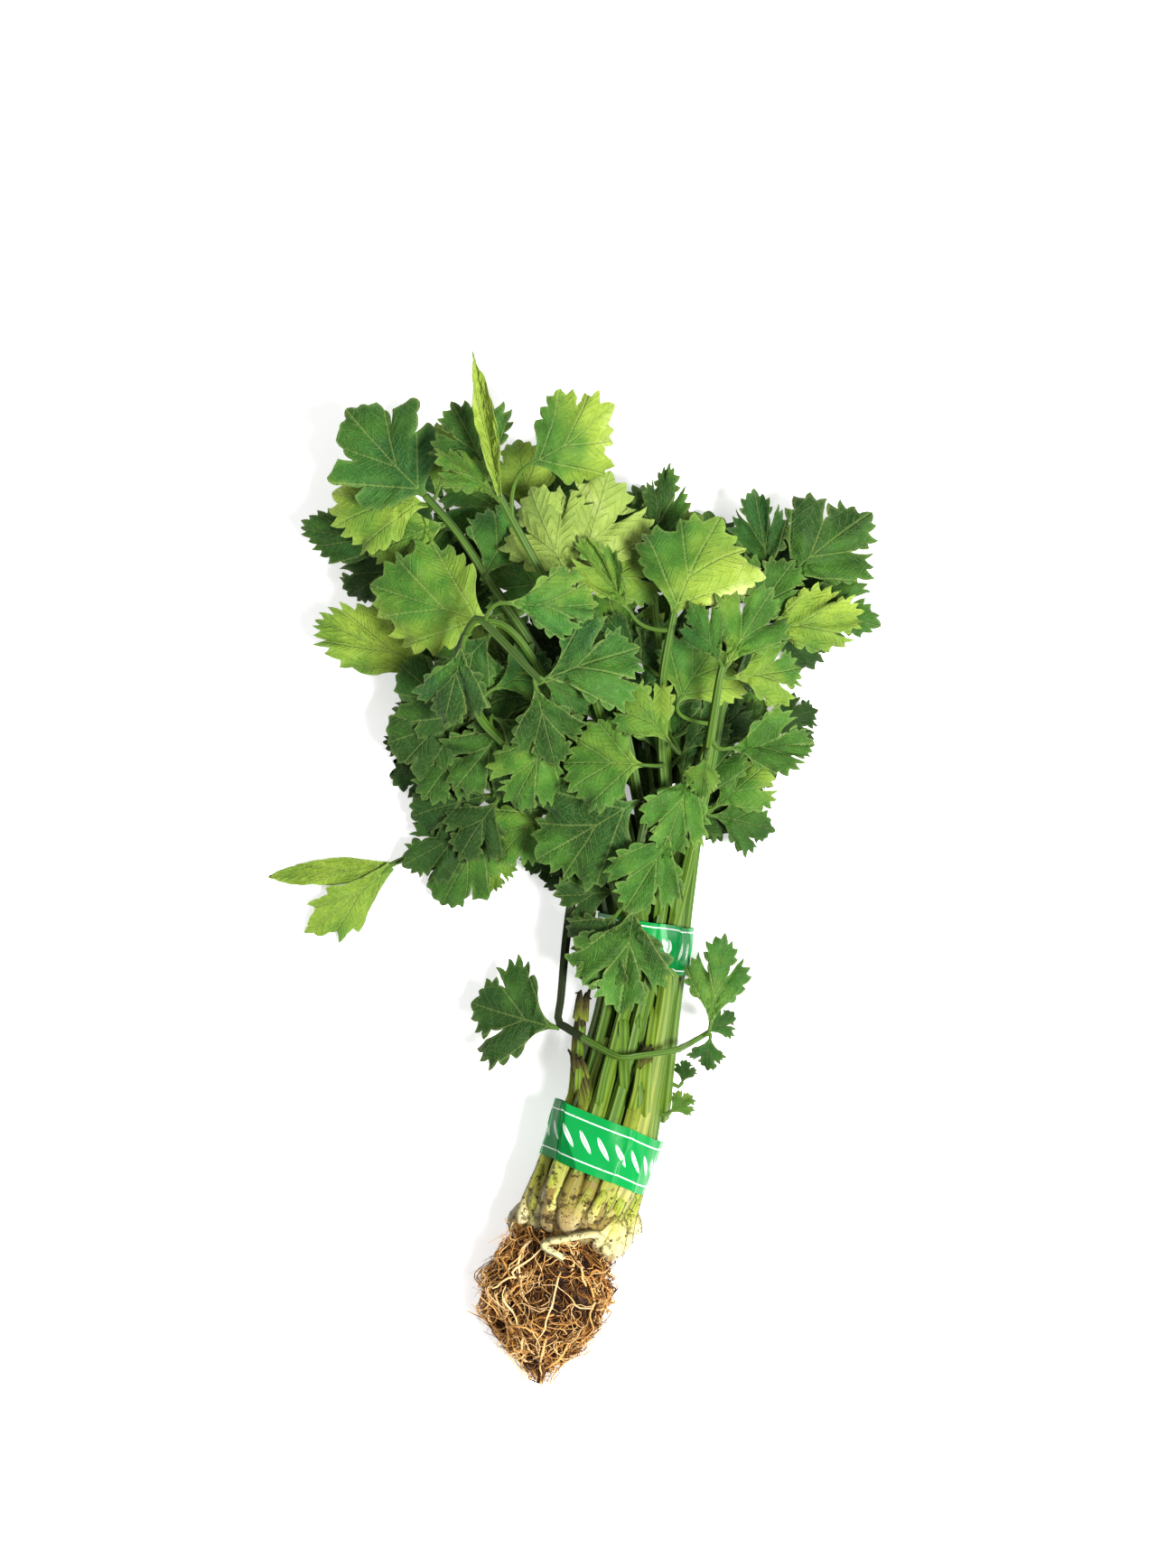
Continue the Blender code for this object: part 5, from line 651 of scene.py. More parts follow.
# The binding bands: centre, axis, sideways and upward directions, width, reach, and where the lap lies
BANDS = {
    "band_lower": {"centre": (12.57, -106.17, 23.50), "axis": (0.3782, 0.9245, -0.0471),
        "side": (0.9256, -0.3786, 0.0000), "up": (0.0178, 0.0436, 0.9989),
        "width": 22.0, "radius": 20.8, "lap": (55, 83), "skew": 7},
    "band_upper": {"centre": (30.62, -27.29, 20.00), "axis": (0.1641, 0.9864, 0.0001),
        "side": (0.9864, -0.1641, 0.0000), "up": (-0.0000, -0.0001, 1.0000),
        "width": 18.5, "radius": 15.8, "lap": (7, 35), "skew": 7},
}

# The film: its gap to the stalks, the steps round a band and rows across it, and the printed pattern
BAND_GAP = 0.3
BAND_STEPS = 180
BAND_ROWS = 12
PRINT_STEP = 7.4
PRINT_SLANT = 0.35
PRINT_HALF_HEIGHT = 3.9
PRINT_HALF_WIDTH = 1.35
STRIPE_AT = 7.6

# What a leaflet is made from, in the order of the table's rows, and how much more it curls and cups than its
# solid
LEAFLET_KEYS = (
    "kind", "base", "heading", "length", "pitch", "roll", "curl", "fold", "cup", "width", "wave", "start",
)
GROWN_CURL = 1.25
GROWN_CUP = 1.3

# The small shaded leaflets inside the bunch: how many a stalk has, the plan ellipse they keep to, and the
# ranges of their roll, curl, fold, cup and width
INNER_COUNT = 2
INNER_TRIES = 30
INNER_AT = (0.0, 74.0)
INNER_SPAN = (66.0, 62.0)
INNER_RANGES = ((-18, 18), (18, 42), (4, 24), (16, 34), (0.8, 1.0))

# Extra leaflets, mostly low dark ones under the bunch whose low tints are painted shade: foot, heading,
# length, outline and tint. One that finds no stalk within reach starts from its own foot.
EXTRA_RANGES = ((-8, 8), (10, 22), (4, 14), (10, 24), (0.9, 1.05))
EXTRA_REACH = 45.0
EXTRA_LEAFLETS = (
    ((17, -21, 40), 247, 25, "round", 0.12),
    ((17, -6, 30), 188, 24, "plain", 0.04),
    ((2, 86, 12), 160, 30, "plain", 0.04),
    ((44, 26, 14), 355, 22, "cut", 0.10),
    ((28, 24, 8), 86, 36, "plain", 0.02),
    ((74, 58, 12), 20, 24, "cut", 0.06),
    ((-24, 104, 10), 160, 26, "plain", 0.05),
    ((-52, 52, 10), 185, 22, "cut", 0.05),
    ((26, -6, 8), 85, 32, "plain", 0.02),
    ((4, 8, 10), 235, 20, "plain", 0.05),
    ((-50, 146, 12), 120, 26, "plain", 0.05),
    ((24, 104, 10), 70, 28, "plain", 0.03),
    ((72, 120, 10), 20, 24, "plain", 0.05),
    ((84, 108, 10), 30, 22, "cut", 0.08),
    ((48, 36, 12), 300, 26, "plain", 0.04),
    ((58, 80, 12), 5, 22, "plain", 0.04),
    ((-34, 116, 10), 130, 26, "plain", 0.04),
    ((-8, 78, 10), 96, 27, "plain", 0.05),
    ((16, -20, 8), 100, 25, "plain", 0.03),
    ((-4, 10, 10), 205, 17, "round", 0.08),
)

# Thin stalks that lie on the bound ones, below BOUND_END in the plan: plan of the lower end and of the
# upper end, radius, tint, and whether the upper end is a cut one
BOUND_END = 40.0
THIN_STALKS = (
    ((27.6, -95.1), (32.8, -48.6), 2.2, 0.55, False),
    ((21.3, -93.4), (19.9, -52.8), 2.2, -0.2, False),
    ((35.3, -94.8), (41.6, -38.8), 2.3, 0.0, False),
    ((25.1, -91.3), (26.1, -51.0), 1.6, -0.7, False),
    ((6.2, -88.5), (13.6, -63.3), 1.8, 0.5, True),
    ((2.4, -83.6), (3.8, -59.1), 1.4, 0.4, True),
    ((10.1, -89.5), (15.3, -66.8), 1.5, -0.3, False),
    ((23.1, -90.6), (26.2, -73.8), 1.7, 0.55, True),
    ((33.2, -17.0), (36.7, 22.5), 2.0, -0.3, False),
    ((39.1, -16.4), (43.7, 15.5), 1.8, 0.2, False),
)

# Torn strips at the end of an old stalk
SHREDS = 11

# The crowns: centre, radius, and how dirty their sheaths are. Before them, how much browner and darker the
# bulb under the sheaths is, partly soil and partly painted shade in the gaps between the sheaths, its axis,
# how near its skin a stalk starts that grows on it, and the radius of a grain of soil in metres. After them,
# the petiole that lies over the roots.
BULB_TINT = 0.62
BULB_AXIS = (0.1, 1.0, 0.1)
ROOTED = 3.0
GRAIN_RADIUS = 0.0006
CROWNS = {
    "crown_left": ((-16.2, -135.7, 19.0), 10.0, 0.25),
    "crown_middle": ((-1.2, -133.2, 34.0), 9.0, 0.75),
    "crown_right": ((13.8, -140.2, 20.5), 11.5, 0.05),
}
BROKEN_PETIOLE = (
    (10.8, -141.2, 29.0), (7.8, -137.7, 43.0), (-2.2, -139.2, 46.5), (-11.2, -141.7, 45.5),
    (-3.2, -147.2, 44.0),
)

# The root mass: the line through it, its radii by the share of the way, its share of height to width, how
# far it bows, and how deep the core of soil lies
ROOT_TOP = (-7.2, -140.2, 21.0)
ROOT_TIP = (-11.7, -195.2, 12.0)
ROOT_PROFILE = [(0.0, 17.0), (0.12, 22.5), (0.38, 26.5), (0.6, 24.0), (0.8, 17.0), (1.0, 5.0)]
ROOT_HEIGHT = 0.9
ROOT_BOW = -0.2
CORE_DEPTH = 6.4

# Sheaths laid over the crowns and the stalks below CROWN_END: plan of the upper end at the band and of the
# lower end at the roots, radius, how dirty they are, and the crown whose piece they belong to
SHEATHS = (
    ((-10.5, -110.5), (-20.0, -137.0), 2.6, 0.28, "crown_left"),
    ((-5.6, -112.0), (-15.6, -136.5), 2.2, 0.10, "crown_left"),
    ((-0.4, -114.0), (-11.4, -137.0), 2.5, -0.10, "crown_left"),
    ((5.0, -117.0), (-5.4, -135.0), 2.0, 0.45, "crown_middle"),
    ((8.2, -119.0), (-1.0, -137.5), 2.4, 0.50, "crown_middle"),
    ((10.6, -119.6), (2.6, -130.0), 1.5, -0.20, "crown_middle"),
    ((13.6, -120.8), (6.2, -135.0), 2.2, 0.20, "crown_middle"),
    ((16.6, -122.5), (9.5, -136.0), 1.7, -0.10, "crown_right"),
    ((19.9, -123.5), (8.0, -145.0), 2.6, -0.20, "crown_right"),
    ((23.4, -124.6), (12.2, -148.5), 2.8, -0.20, "crown_right"),
    ((25.0, -124.0), (16.4, -149.5), 2.4, -0.05, "crown_right"),
    ((26.6, -123.0), (20.4, -146.5), 2.1, 0.10, "crown_right"),
)
CROWN_END = -90.0

# The stage, in metres: the camera looks straight down on a place in the plan, and each light has a place, a
# size and a power
CAMERA_X = 6.29 * MM
CAMERA_Y = 35.47 * MM
LOOK_HEIGHT = 0.03
SENSOR_WIDTH = 36.0
FLOOR_HALF = 3.0
FLOOR_GLOW = 0.42
WORLD_STRENGTH = 0.50
LIGHTS = (
    ("key", (0.95, -0.35, 1.90), 0.62, 121.0),
    ("fill", (-1.2, 0.6, 1.6), 1.8, 12.0),
)


class CeleryLeafSettings(bpy.types.PropertyGroup):
    """Sizes and colours of the leaflets."""

    thickness: bpy.props.FloatProperty(
        name="Blade Thickness", description="Thickness of a leaflet's blade",
        default=0.0004, subtype="DISTANCE",
    )
    ruffle: bpy.props.FloatProperty(
        name="Ruffle", description="Height of the waves along a leaflet's edge",
        default=0.0017, subtype="DISTANCE",
    )
    detail: bpy.props.FloatProperty(
        name="Detail", description="Distance between a blade's points, in shares of its length", default=0.03
    )
    deep: bpy.props.FloatVectorProperty(
        name="Deep Green", description="Colour of the darkest leaves", size=4, subtype="COLOR",
        default=(0.0060, 0.0330, 0.0030, 1.0),
    )
    middle: bpy.props.FloatVectorProperty(
        name="Middle Green", description="Colour of most leaves", size=4, subtype="COLOR",
        default=(0.0350, 0.1160, 0.0100, 1.0),
    )
    bright: bpy.props.FloatVectorProperty(
        name="Bright Green", description="Colour of the youngest leaves", size=4, subtype="COLOR",
        default=(0.2050, 0.2850, 0.0300, 1.0),
    )
    seed: bpy.props.IntProperty(name="Seed", description="Seed of the teeth and waves", default=5)


class CeleryStalkSettings(bpy.types.PropertyGroup):
    """Sizes and colours of the stalks."""

    ribs: bpy.props.IntProperty(name="Ribs", description="Ribs round a stalk", default=6)
    rib_depth: bpy.props.FloatProperty(
        name="Rib Depth", description="Share of the radius that the ribs stand out",
        default=0.1, subtype="FACTOR",
    )
    base: bpy.props.FloatVectorProperty(
        name="Base", description="Colour where a stalk leaves its crown", size=4, subtype="COLOR",
        default=(0.330, 0.290, 0.080, 1.0),
    )
    lower: bpy.props.FloatVectorProperty(
        name="Lower Stalk", description="Colour between the bands", size=4, subtype="COLOR",
        default=(0.115, 0.170, 0.012, 1.0),
    )
    upper: bpy.props.FloatVectorProperty(
        name="Upper Stalk", description="Colour below the leaves", size=4, subtype="COLOR",
        default=(0.042, 0.100, 0.009, 1.0),
    )


class CeleryRootSettings(bpy.types.PropertyGroup):
    """Sizes and colours of the roots, crowns and soil."""

    strands: bpy.props.IntProperty(name="Thick Roots", description="Number of thicker roots", default=560)
    hairs: bpy.props.IntProperty(name="Fine Roots", description="Number of fine roots", default=1900)
    strand_radius: bpy.props.FloatProperty(
        name="Root Radius", description="Radius of a thicker root", default=0.0004, subtype="DISTANCE"
    )
    hair_radius: bpy.props.FloatProperty(
        name="Fine Root Radius", description="Radius of a fine root", default=0.0002, subtype="DISTANCE"
    )
    dark: bpy.props.FloatVectorProperty(
        name="Dark Root", description="Colour of the darkest roots", size=4, subtype="COLOR",
        default=(0.022, 0.007, 0.0025, 1.0),
    )
    light: bpy.props.FloatVectorProperty(
        name="Light Root", description="Colour of the palest roots", size=4, subtype="COLOR",
        default=(0.680, 0.460, 0.210, 1.0),
    )
    grains: bpy.props.IntProperty(
        name="Soil Grains", description="Grains of soil on each crown", default=260
    )


class CeleryBandSettings(bpy.types.PropertyGroup):
    """Sizes and colours of the binding bands."""

    film: bpy.props.FloatProperty(
        name="Film", description="Thickness of the band's film", default=0.0003, subtype="DISTANCE"
    )
    green: bpy.props.FloatVectorProperty(
        name="Band Green", description="Colour of the film", size=4, subtype="COLOR",
        default=(0.0004, 0.1550, 0.0250, 1.0),
    )
    print_white: bpy.props.FloatVectorProperty(
        name="Print White", description="Colour of the printed leaves", size=4, subtype="COLOR",
        default=(0.560, 0.600, 0.550, 1.0),
    )


class CeleryStageSettings(bpy.types.PropertyGroup):
    """The floor, lights and camera."""

    focal_length: bpy.props.FloatProperty(
        name="Focal Length", description="Camera lens, millimetres", default=120.0
    )
    view_height: bpy.props.FloatProperty(
        name="View Height", description="Height of the floor that the camera sees", default=0.6076,
        subtype="DISTANCE",
    )


class Shape:
    """Points and faces of one piece, with the values that its materials read."""

    def __init__(self):
        self.points, self.faces, self.uvs, self.slots = [], [], [], []
        self.values = {"tint": [], "under": [], "along": [], "rim": []}
        self.count = 0

    def add(self, points, faces, uvs, slot, tint=0.0, under=0.0, along=0.0, rim=0.0):
        """Adds points and faces, with one value or one for each point."""
        number = len(points)
        self.points.append(np.asarray(points, float))
        self.uvs.append(np.asarray(uvs, float))
        for key, value in (("tint", tint), ("under", under), ("along", along), ("rim", rim)):
            self.values[key].append(np.broadcast_to(np.asarray(value, float), (number,)))
        self.faces += [tuple(v + self.count for v in face) for face in faces]
        self.slots += [slot] * len(faces)
        self.count += number

    def add_tube(self, line, radii, sides, slot=0, tint=0.0, along=0.0, **form):
        """Adds a closed tube. Its tint and its place along a stalk are one number, or one for each ring."""
        points, faces, uvs = sweep(line, radii, sides, **form)
        tint, along = (ring_values(value, sides) if np.ndim(value) else value for value in (tint, along))
        self.add(points, faces, uvs, slot, tint, 0.0, along)

    def build(self, name, materials, sharp=50.0, lowest=LOWEST):
        """Makes the piece's object. A face that wraps round a tube's seam keeps its map in one run."""
        points = np.vstack(self.points)
        points[:, 2] = np.maximum(points[:, 2], lowest)
        mesh = bpy.data.meshes.new(name)
        mesh.from_pydata((points * MM).tolist(), [], self.faces)
        mesh.polygons.foreach_set("material_index", self.slots)
        mesh.polygons.foreach_set("use_smooth", [True] * len(self.faces))
        corners = np.zeros(len(mesh.loops), np.int32)
        mesh.loops.foreach_get("vertex_index", corners)
        uvs = np.vstack(self.uvs)[corners]
        sizes = np.array([len(face) for face in self.faces])
        first = np.concatenate([[0], np.cumsum(sizes)[:-1]])
        high = np.maximum.reduceat(uvs[:, 0], first)
        wraps = np.repeat(high - np.minimum.reduceat(uvs[:, 0], first) > 0.5, sizes)
        uvs[wraps & (uvs[:, 0] < 0.5), 0] += 1.0
        layer = mesh.uv_layers.new(name="plan")
        layer.data.foreach_set("uv", uvs.astype(np.float32).ravel())
        for key, parts in self.values.items():
            attribute = mesh.attributes.new(key, "FLOAT", "POINT")
            attribute.data.foreach_set("value", np.concatenate(parts).astype(np.float32))
        for material in materials:
            mesh.materials.append(material)
        mesh.set_sharp_from_angle(angle=math.radians(sharp))
        mesh.update()
        return placed(name, mesh)


def placed(name, data):
    """A new object in the scene that holds this data."""
    obj = bpy.data.objects.new(name, data)
    bpy.context.scene.collection.objects.link(obj)
    return obj


def settle(obj, node):
    """Makes a finished piece ride, and stand for its solid, if it has one."""
    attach(obj, "root")
    if node:
        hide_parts(node)


def unit(vector):
    """The vector, one unit long."""
    return vector / np.linalg.norm(vector)


def direction(heading, pitch):
    """Unit vector of a plan heading and an elevation, both in degrees."""
    h, p = math.radians(heading), math.radians(pitch)
    return np.array([math.cos(p) * math.cos(h), math.cos(p) * math.sin(h), math.sin(p)])


def across(tangent):
    """Two unit vectors square to a tangent, the second as near to up as it can be."""
    side = np.cross(tangent, (0.0, 0.0, 1.0))
    side = unit(side) if np.linalg.norm(side) > 0.05 else np.array([1.0, 0.0, 0.0])
    return side, np.cross(side, tangent)


def distances(line):
    """Distance along a line at each of its points."""
    return np.concatenate([[0.0], np.cumsum(np.linalg.norm(np.diff(line[:, :3], axis=0), axis=1))])


def smooth_rows(rows, step):
    """Rows of numbers, a place first, about one step apart on a centripetal Catmull-Rom curve."""
    rows = np.array(rows, float)
    ends = np.vstack([2 * rows[0] - rows[1], rows, 2 * rows[-1] - rows[-2]])
    line = [rows[0]]
    for a, b, c, d in zip(ends, ends[1:], ends[2:], ends[3:]):
        spans = [math.sqrt(np.linalg.norm((q - p)[:3])) for p, q in ((a, b), (b, c), (c, d))]
        t = np.cumsum([0.0] + [max(s, 1e-3) for s in spans])
        for share in np.linspace(0, 1, 13)[1:]:
            x = t[1] + share * (t[2] - t[1])
            ab = a + (b - a) * (x - t[0]) / (t[1] - t[0])
            bc = b + (c - b) * (x - t[1]) / (t[2] - t[1])
            cd = c + (d - c) * (x - t[2]) / (t[3] - t[2])
            abc = ab + (bc - ab) * (x - t[0]) / (t[2] - t[0])
            bcd = bc + (cd - bc) * (x - t[1]) / (t[3] - t[1])
            line.append(abc + (bcd - abc) * (x - t[1]) / (t[2] - t[1]))
    line = np.array(line)
    along = distances(line)
    wanted = np.linspace(0.0, along[-1], max(3, round(along[-1] / step) + 1))
    return np.column_stack([np.interp(wanted, along, line[:, k]) for k in range(line.shape[1])])


def sweep(line, radii, sides, ribs=0, depth=0.0, flat=1.0, turn=0.0, ragged=None):
    """A closed tube along a line: points, faces, and each point's share round it and distance along it."""
    line = np.asarray(line, float)
    tangents = np.gradient(line, axis=0)
    tangents /= np.maximum(np.linalg.norm(tangents, axis=1), 1e-9)[:, None]
    along = distances(line)
    radii = np.broadcast_to(radii, (len(line),))
    flat = np.broadcast_to(flat, (len(line),))
    side, up = across(tangents[0])
    angle = 2 * np.pi * np.arange(sides) / sides
    profile = 1.0 + depth * np.cos(ribs * angle)
    points, uvs = [], []
    for k, (point, tangent, radius) in enumerate(zip(line, tangents, radii)):
        side = unit(side - tangent * np.dot(side, tangent))
        up = np.cross(side, tangent)
        spin = angle + turn * along[k] / 100.0
        reach = radius * profile
        ring = np.cos(spin)[:, None] * side * reach[:, None]
        ring = ring + np.sin(spin)[:, None] * up * (reach * flat[k])[:, None]
        if ragged is not None and k == len(line) - 1:
            ring = ring + ragged[:, None] * tangent
        points.append(point + ring)
        uvs.append(np.column_stack([angle / (2 * np.pi), np.full(sides, along[k] / 10.0)]))
    faces = []
    for ring in range(len(line) - 1):
        for k in range(sides):
            a, b = ring * sides + k, ring * sides + (k + 1) % sides
            faces.append((b, a, a + sides, b + sides))
    points, uvs = np.vstack(points), np.vstack(uvs)
    last = len(points)
    points = np.vstack([points, line[0], line[-1]])
    uvs = np.vstack([uvs, [[0.5, along[0]], [0.5, along[-1] / 10.0]]])
    for k in range(sides):
        m = (k + 1) % sides
        faces.append((last, k, m))
        faces.append((last + 1, last - sides + m, last - sides + k))
    return points, faces, uvs


def ring_values(values, sides):
    """A value for each ring of a tube, spread over its points and its two caps."""
    values = np.asarray(values, float)
    return np.concatenate([np.repeat(values, sides), values[:1], values[-1:]])


def toothed_half(kind, rng, rough):
    """Half an outline from the stem end to the tip: convex below each tooth's tip, hollow above it."""
    deep, shallow = (np.array(half) for half in HALF_OUTLINES[kind])
    if len(deep) == len(shallow):
        share = rng.random()
        control = deep * (1 - share) + shallow * share
    else:
        control = deep
    size = 1.0 + rng.uniform(-0.07, 0.07)
    shift = np.array([[rng.uniform(-1, 1), rng.uniform(-1, 1)] for _ in control])
    control = control + 0.016 * rough * shift * (np.arange(len(control)) > 2)[:, None]
    control = np.vstack([control * (size, 1.0), (0.0, 1.0)])
    points = [control[0]]
    for k, (a, b) in enumerate(zip(control, control[1:])):
        run = b - a
        out = np.array([run[1], -run[0]])
        rising = run[1] > -0.2 * abs(run[0])
        outwards = np.hypot(*b) > np.hypot(*a)
        bow = 0.12 if outwards and rising else -0.06
        bow = bow * rough if k > 2 else -0.04
        inner = (0.28, 0.6, 0.86) if np.hypot(*run) > 0.06 else (0.5,)
        for share in inner:
            points.append(a + run * share + out * bow * 4 * share * (1 - share))
        if k + 2 < len(control):
            points.append(b)
    return np.array(points)


def distance_to_outline(points, outline):
    """How far each point of the plan is from a closed outline."""
    a, b = outline, np.roll(outline, -1, axis=0)
    run = b - a
    share = ((points[:, None] - a[None]) * run[None]).sum(axis=2) / (run**2).sum(axis=1)[None]
    nearest = a[None] + np.clip(share, 0.0, 1.0)[..., None] * run[None]
    return np.linalg.norm(points[:, None] - nearest, axis=2).min(axis=1)


def inside_outline(points, outline):
    """Whether each point of the plan is inside a closed outline."""
    a, b = outline, np.roll(outline, -1, axis=0)
    x, y = points[:, 0][:, None], points[:, 1][:, None]
    crosses = (a[None, :, 1] > y) != (b[None, :, 1] > y)
    rise = np.where(np.abs(b[:, 1] - a[:, 1]) < 1e-12, 1e-12, b[:, 1] - a[:, 1])
    at = a[None, :, 0] + (y - a[None, :, 1]) * ((b[:, 0] - a[:, 0]) / rise)[None]
    return (crosses & (x < at)).sum(axis=1) % 2 == 1


def vein_fields(plan):
    """Nearness to a main vein, and the phase of the side veins, at points of the flat leaflet plan."""
    x, y = np.abs(plan[:, 0]), plan[:, 1]
    best = np.full(len(plan), 9.0)
    phase = np.zeros(len(plan))
    for (ox, oy), (dx, dy) in MAIN_VEINS:
        along = (x - ox) * dx + (y - oy) * dy
        aside = np.abs((x - ox) * dy - (y - oy) * dx) + np.where(along < 0, BEHIND_VEIN, 0.0)
        nearer = aside < best
        phase = np.where(nearer, (along - SIDE_VEIN_SLANT * aside) / SIDE_VEIN_STEP, phase)
        best = np.where(nearer, aside, best)
    return best, phase


def leaf_plan(kind, rng, detail):
    """Outline and inner points of one leaflet, flat and one unit long, with the triangles of a face."""
    for rough in (1.0, 0.6, 0.2, 0.0):
        right = toothed_half(kind, rng, rough)
        left = toothed_half(kind, rng, rough) * (-1.0, 1.0)
        outline = np.vstack([right, [(0.0, 1.0)], left[::-1]])
        rows = np.arange(-0.05, 1.05, detail * 0.866)
        columns = np.arange(-0.66, 0.66, detail)
        shifted = columns + 0.5 * detail
        grid = [(x, y) for k, y in enumerate(rows) for x in (shifted if k % 2 else columns)]
        grid = np.array(grid)
        grid = grid[inside_outline(grid, outline)]
        grid = grid[distance_to_outline(grid, outline) > 0.55 * detail]
        points = np.vstack([outline, grid])
        count = len(outline)
        edges = [(k, (k + 1) % count) for k in range(count)]
        found = delaunay_2d_cdt([Vector(p) for p in points], edges, [list(range(count))], 1, 1e-7)
        if len(found[0]) == len(points) and all(len(old) == 1 for old in found[3]):
            break
    order = [old[0] for old in found[3]]
    return points, count, [tuple(order[v] for v in face) for face in found[2]]


def blade_surface(plan, spec):
    """Where points of the flat leaflet plan, in unit lengths, lie once it is bent, folded and waved."""
    length, wave = spec["length"], spec["wave"]
    a = plan[:, 0] * (1.0 + wave[3] * np.sign(plan[:, 0])) + wave[4] * plan[:, 1] ** 2
    a, b = a * spec["width"] * length, plan[:, 1] * length
    curl = math.radians(spec["curl"]) / length
    turn = curl * b
    forward = np.sin(turn) / curl if abs(curl) > 1e-7 else b
    drop = (1 - np.cos(turn)) / curl if abs(curl) > 1e-7 else 0.0 * b
    half = HALF_WIDTH * spec["width"] * length
    bend = math.radians(spec["cup"]) / half
    fold = math.radians(spec["fold"])
    away = np.abs(a)
    sideways = np.sign(a) * (math.sin(fold) - np.sin(fold - bend * away)) / bend
    rise = (np.cos(fold - bend * away) - math.cos(fold)) / bend
    share = away / half
    rise = rise + wave[0] * share**2 * np.sin(2 * math.pi * (wave[1] * plan[:, 1] + wave[2]) + np.sign(a))
    tangent = direction(spec["heading"], spec["pitch"])
    flat = direction(spec["heading"] + 90.0, 0.0)
    lift = np.cross(tangent, flat)
    roll = math.radians(spec["roll"])
    side = flat * math.cos(roll) + lift * math.sin(roll)
    normal = np.cross(tangent, side)
    out = np.cos(turn)[:, None] * normal + np.sin(turn)[:, None] * tangent
    line = forward[:, None] * tangent - drop[:, None] * normal
    return line + sideways[:, None] * side + rise[:, None] * out + spec["base"]


def leaf_waves(plan, to_edge, rng):
    """Heights of the waves over a blade: broad and fine ones at its rim, and broad and fine across it."""
    x, y = plan[:, 0], plan[:, 1]
    angle = np.arctan2(x, y - 0.25)

    def wave(low, high, place):
        return np.sin(rng.uniform(low, high) * place + rng.uniform(0, 6))

    waves = np.exp(-((to_edge / 0.16) ** 2)) * wave(5.0, 8.0, angle)
    waves += 0.8 * np.sin(rng.uniform(4.0, 6.5) * x + rng.uniform(3.0, 6.0) * y + rng.uniform(0, 6))
    waves += 0.42 * np.exp(-((to_edge / 0.07) ** 2)) * wave(15.0, 21.0, angle)
    waves += 0.35 * wave(11.0, 15.0, x) * wave(10.0, 14.0, y)
    return waves


def add_leaf_stem(shape, spec, tint):
    """Adds the short stem from a leaflet's stalk to a little way up its blade."""
    tangent = direction(spec["heading"], spec["pitch"])
    foot = spec["base"] + 0.12 * spec["length"] * tangent
    start = spec["base"] - 2.0 * tangent if spec["start"] is None else spec["start"]
    reach = np.linalg.norm(spec["base"] - start)
    bow = spec["base"] - tangent * reach * 0.45
    share = np.linspace(0, 1, max(4, round(reach / 2.0)))[:, None]
    line = (1 - share) ** 2 * start + 2 * share * (1 - share) * bow + share**2 * spec["base"]
    line = np.vstack([line, (line[-1] + foot) / 2, foot])
    radii = np.interp(np.arange(len(line)) / (len(line) - 1), (0.0, 0.85, 1.0), (0.95, 0.75, 0.2))
    shape.add_tube(line, radii, 8, 1, tint, 2.6)


def add_leaflet(shape, spec, leaf, rng, tint, turned=False):
    """Adds one leaflet: its blade, with its veins sunk and its edge waved, and its stem."""
    plan, edge, triangles = leaf_plan(spec["kind"], rng, leaf.detail * max(0.85, 36.0 / spec["length"]))
    middle = blade_surface(plan, spec)
    small = 0.01
    slope_a = blade_surface(plan + (small, 0.0), spec) - middle
    slope_b = blade_surface(plan + (0.0, small), spec) - middle
    normal = np.cross(slope_b, slope_a)
    normal /= np.linalg.norm(normal, axis=1)[:, None]
    near, phase = vein_fields(plan)
    to_edge = distance_to_outline(plan, plan[:edge])
    scale = spec["length"] / USUAL_LENGTH
    waves = leaf_waves(plan, to_edge, rng)
    waves *= leaf.ruffle / MM * scale * CALM.get(spec["kind"], 1.0) * np.clip(plan[:, 1] * 2.0, 0.0, 1.0)
    sunk = -0.32 * np.exp(-((near / 0.022) ** 2)) * np.clip(1.1 - plan[:, 1], 0.2, 1.0)
    quilt = 0.30 * np.cos(2 * math.pi * phase) * np.clip(near / 0.03, 0.0, 1.0)
    quilt = quilt * np.clip(to_edge / 0.05, 0.0, 1.0)
    middle = middle - normal * ((waves + (sunk + quilt) * scale)[:, None])
    count = len(plan)
    thick = leaf.thickness / MM / 2 * np.clip(0.45 + to_edge / 0.06, 0.45, 1.0)[:, None]
    points = np.vstack([middle - normal * thick, middle + normal * thick])
    faces = list(triangles) + [tuple(v + count for v in t[::-1]) for t in triangles]
    for k in range(edge):
        m = (k + 1) % edge
        faces.append((m, k, k + count, m + count))
    under = np.repeat((0.0, 1.0) if turned else (1.0, 0.0), count)
    drift = spec.get("drift") or (rng.uniform(-0.3, 0.3), rng.uniform(-0.25, 0.25))
    tint = tint + drift[0] * plan[:, 0] + drift[1] * (plan[:, 1] - 0.5)
    # Painted light: a pale band along the edge, for light that shines through the thin margin
    rim = np.exp(-((to_edge / 0.02) ** 2))
    shape.add(points, faces, np.vstack([plan, plan]), 0, np.tile(tint, 2), under, 3.0, np.tile(rim, 2))
    add_leaf_stem(shape, spec, float(tint.mean()))


def add_stalk(shape, rows, stalk, rng, tint, hanging, sides=24):
    """Adds a ribbed stalk along its rows, withered where it hangs beside the bundle."""
    line = smooth_rows(rows, 3.0)
    tints = np.full(len(line), tint)
    if hanging:
        tints[(line[:, 0] < HANGING_X) & (line[:, 1] < HANGING_Y)] = WITHERED
    along = distances(line)
    radii = line[:, 3] * (1.0 + 0.03 * np.sin(along / 9.0 + rng.uniform(0, 6)))
    form = {"ribs": stalk.ribs, "depth": stalk.rib_depth, "turn": rng.uniform(-0.5, 0.5)}
    shape.add_tube(line[:, :3], radii, sides, 1, tints, along / 100.0, **form)


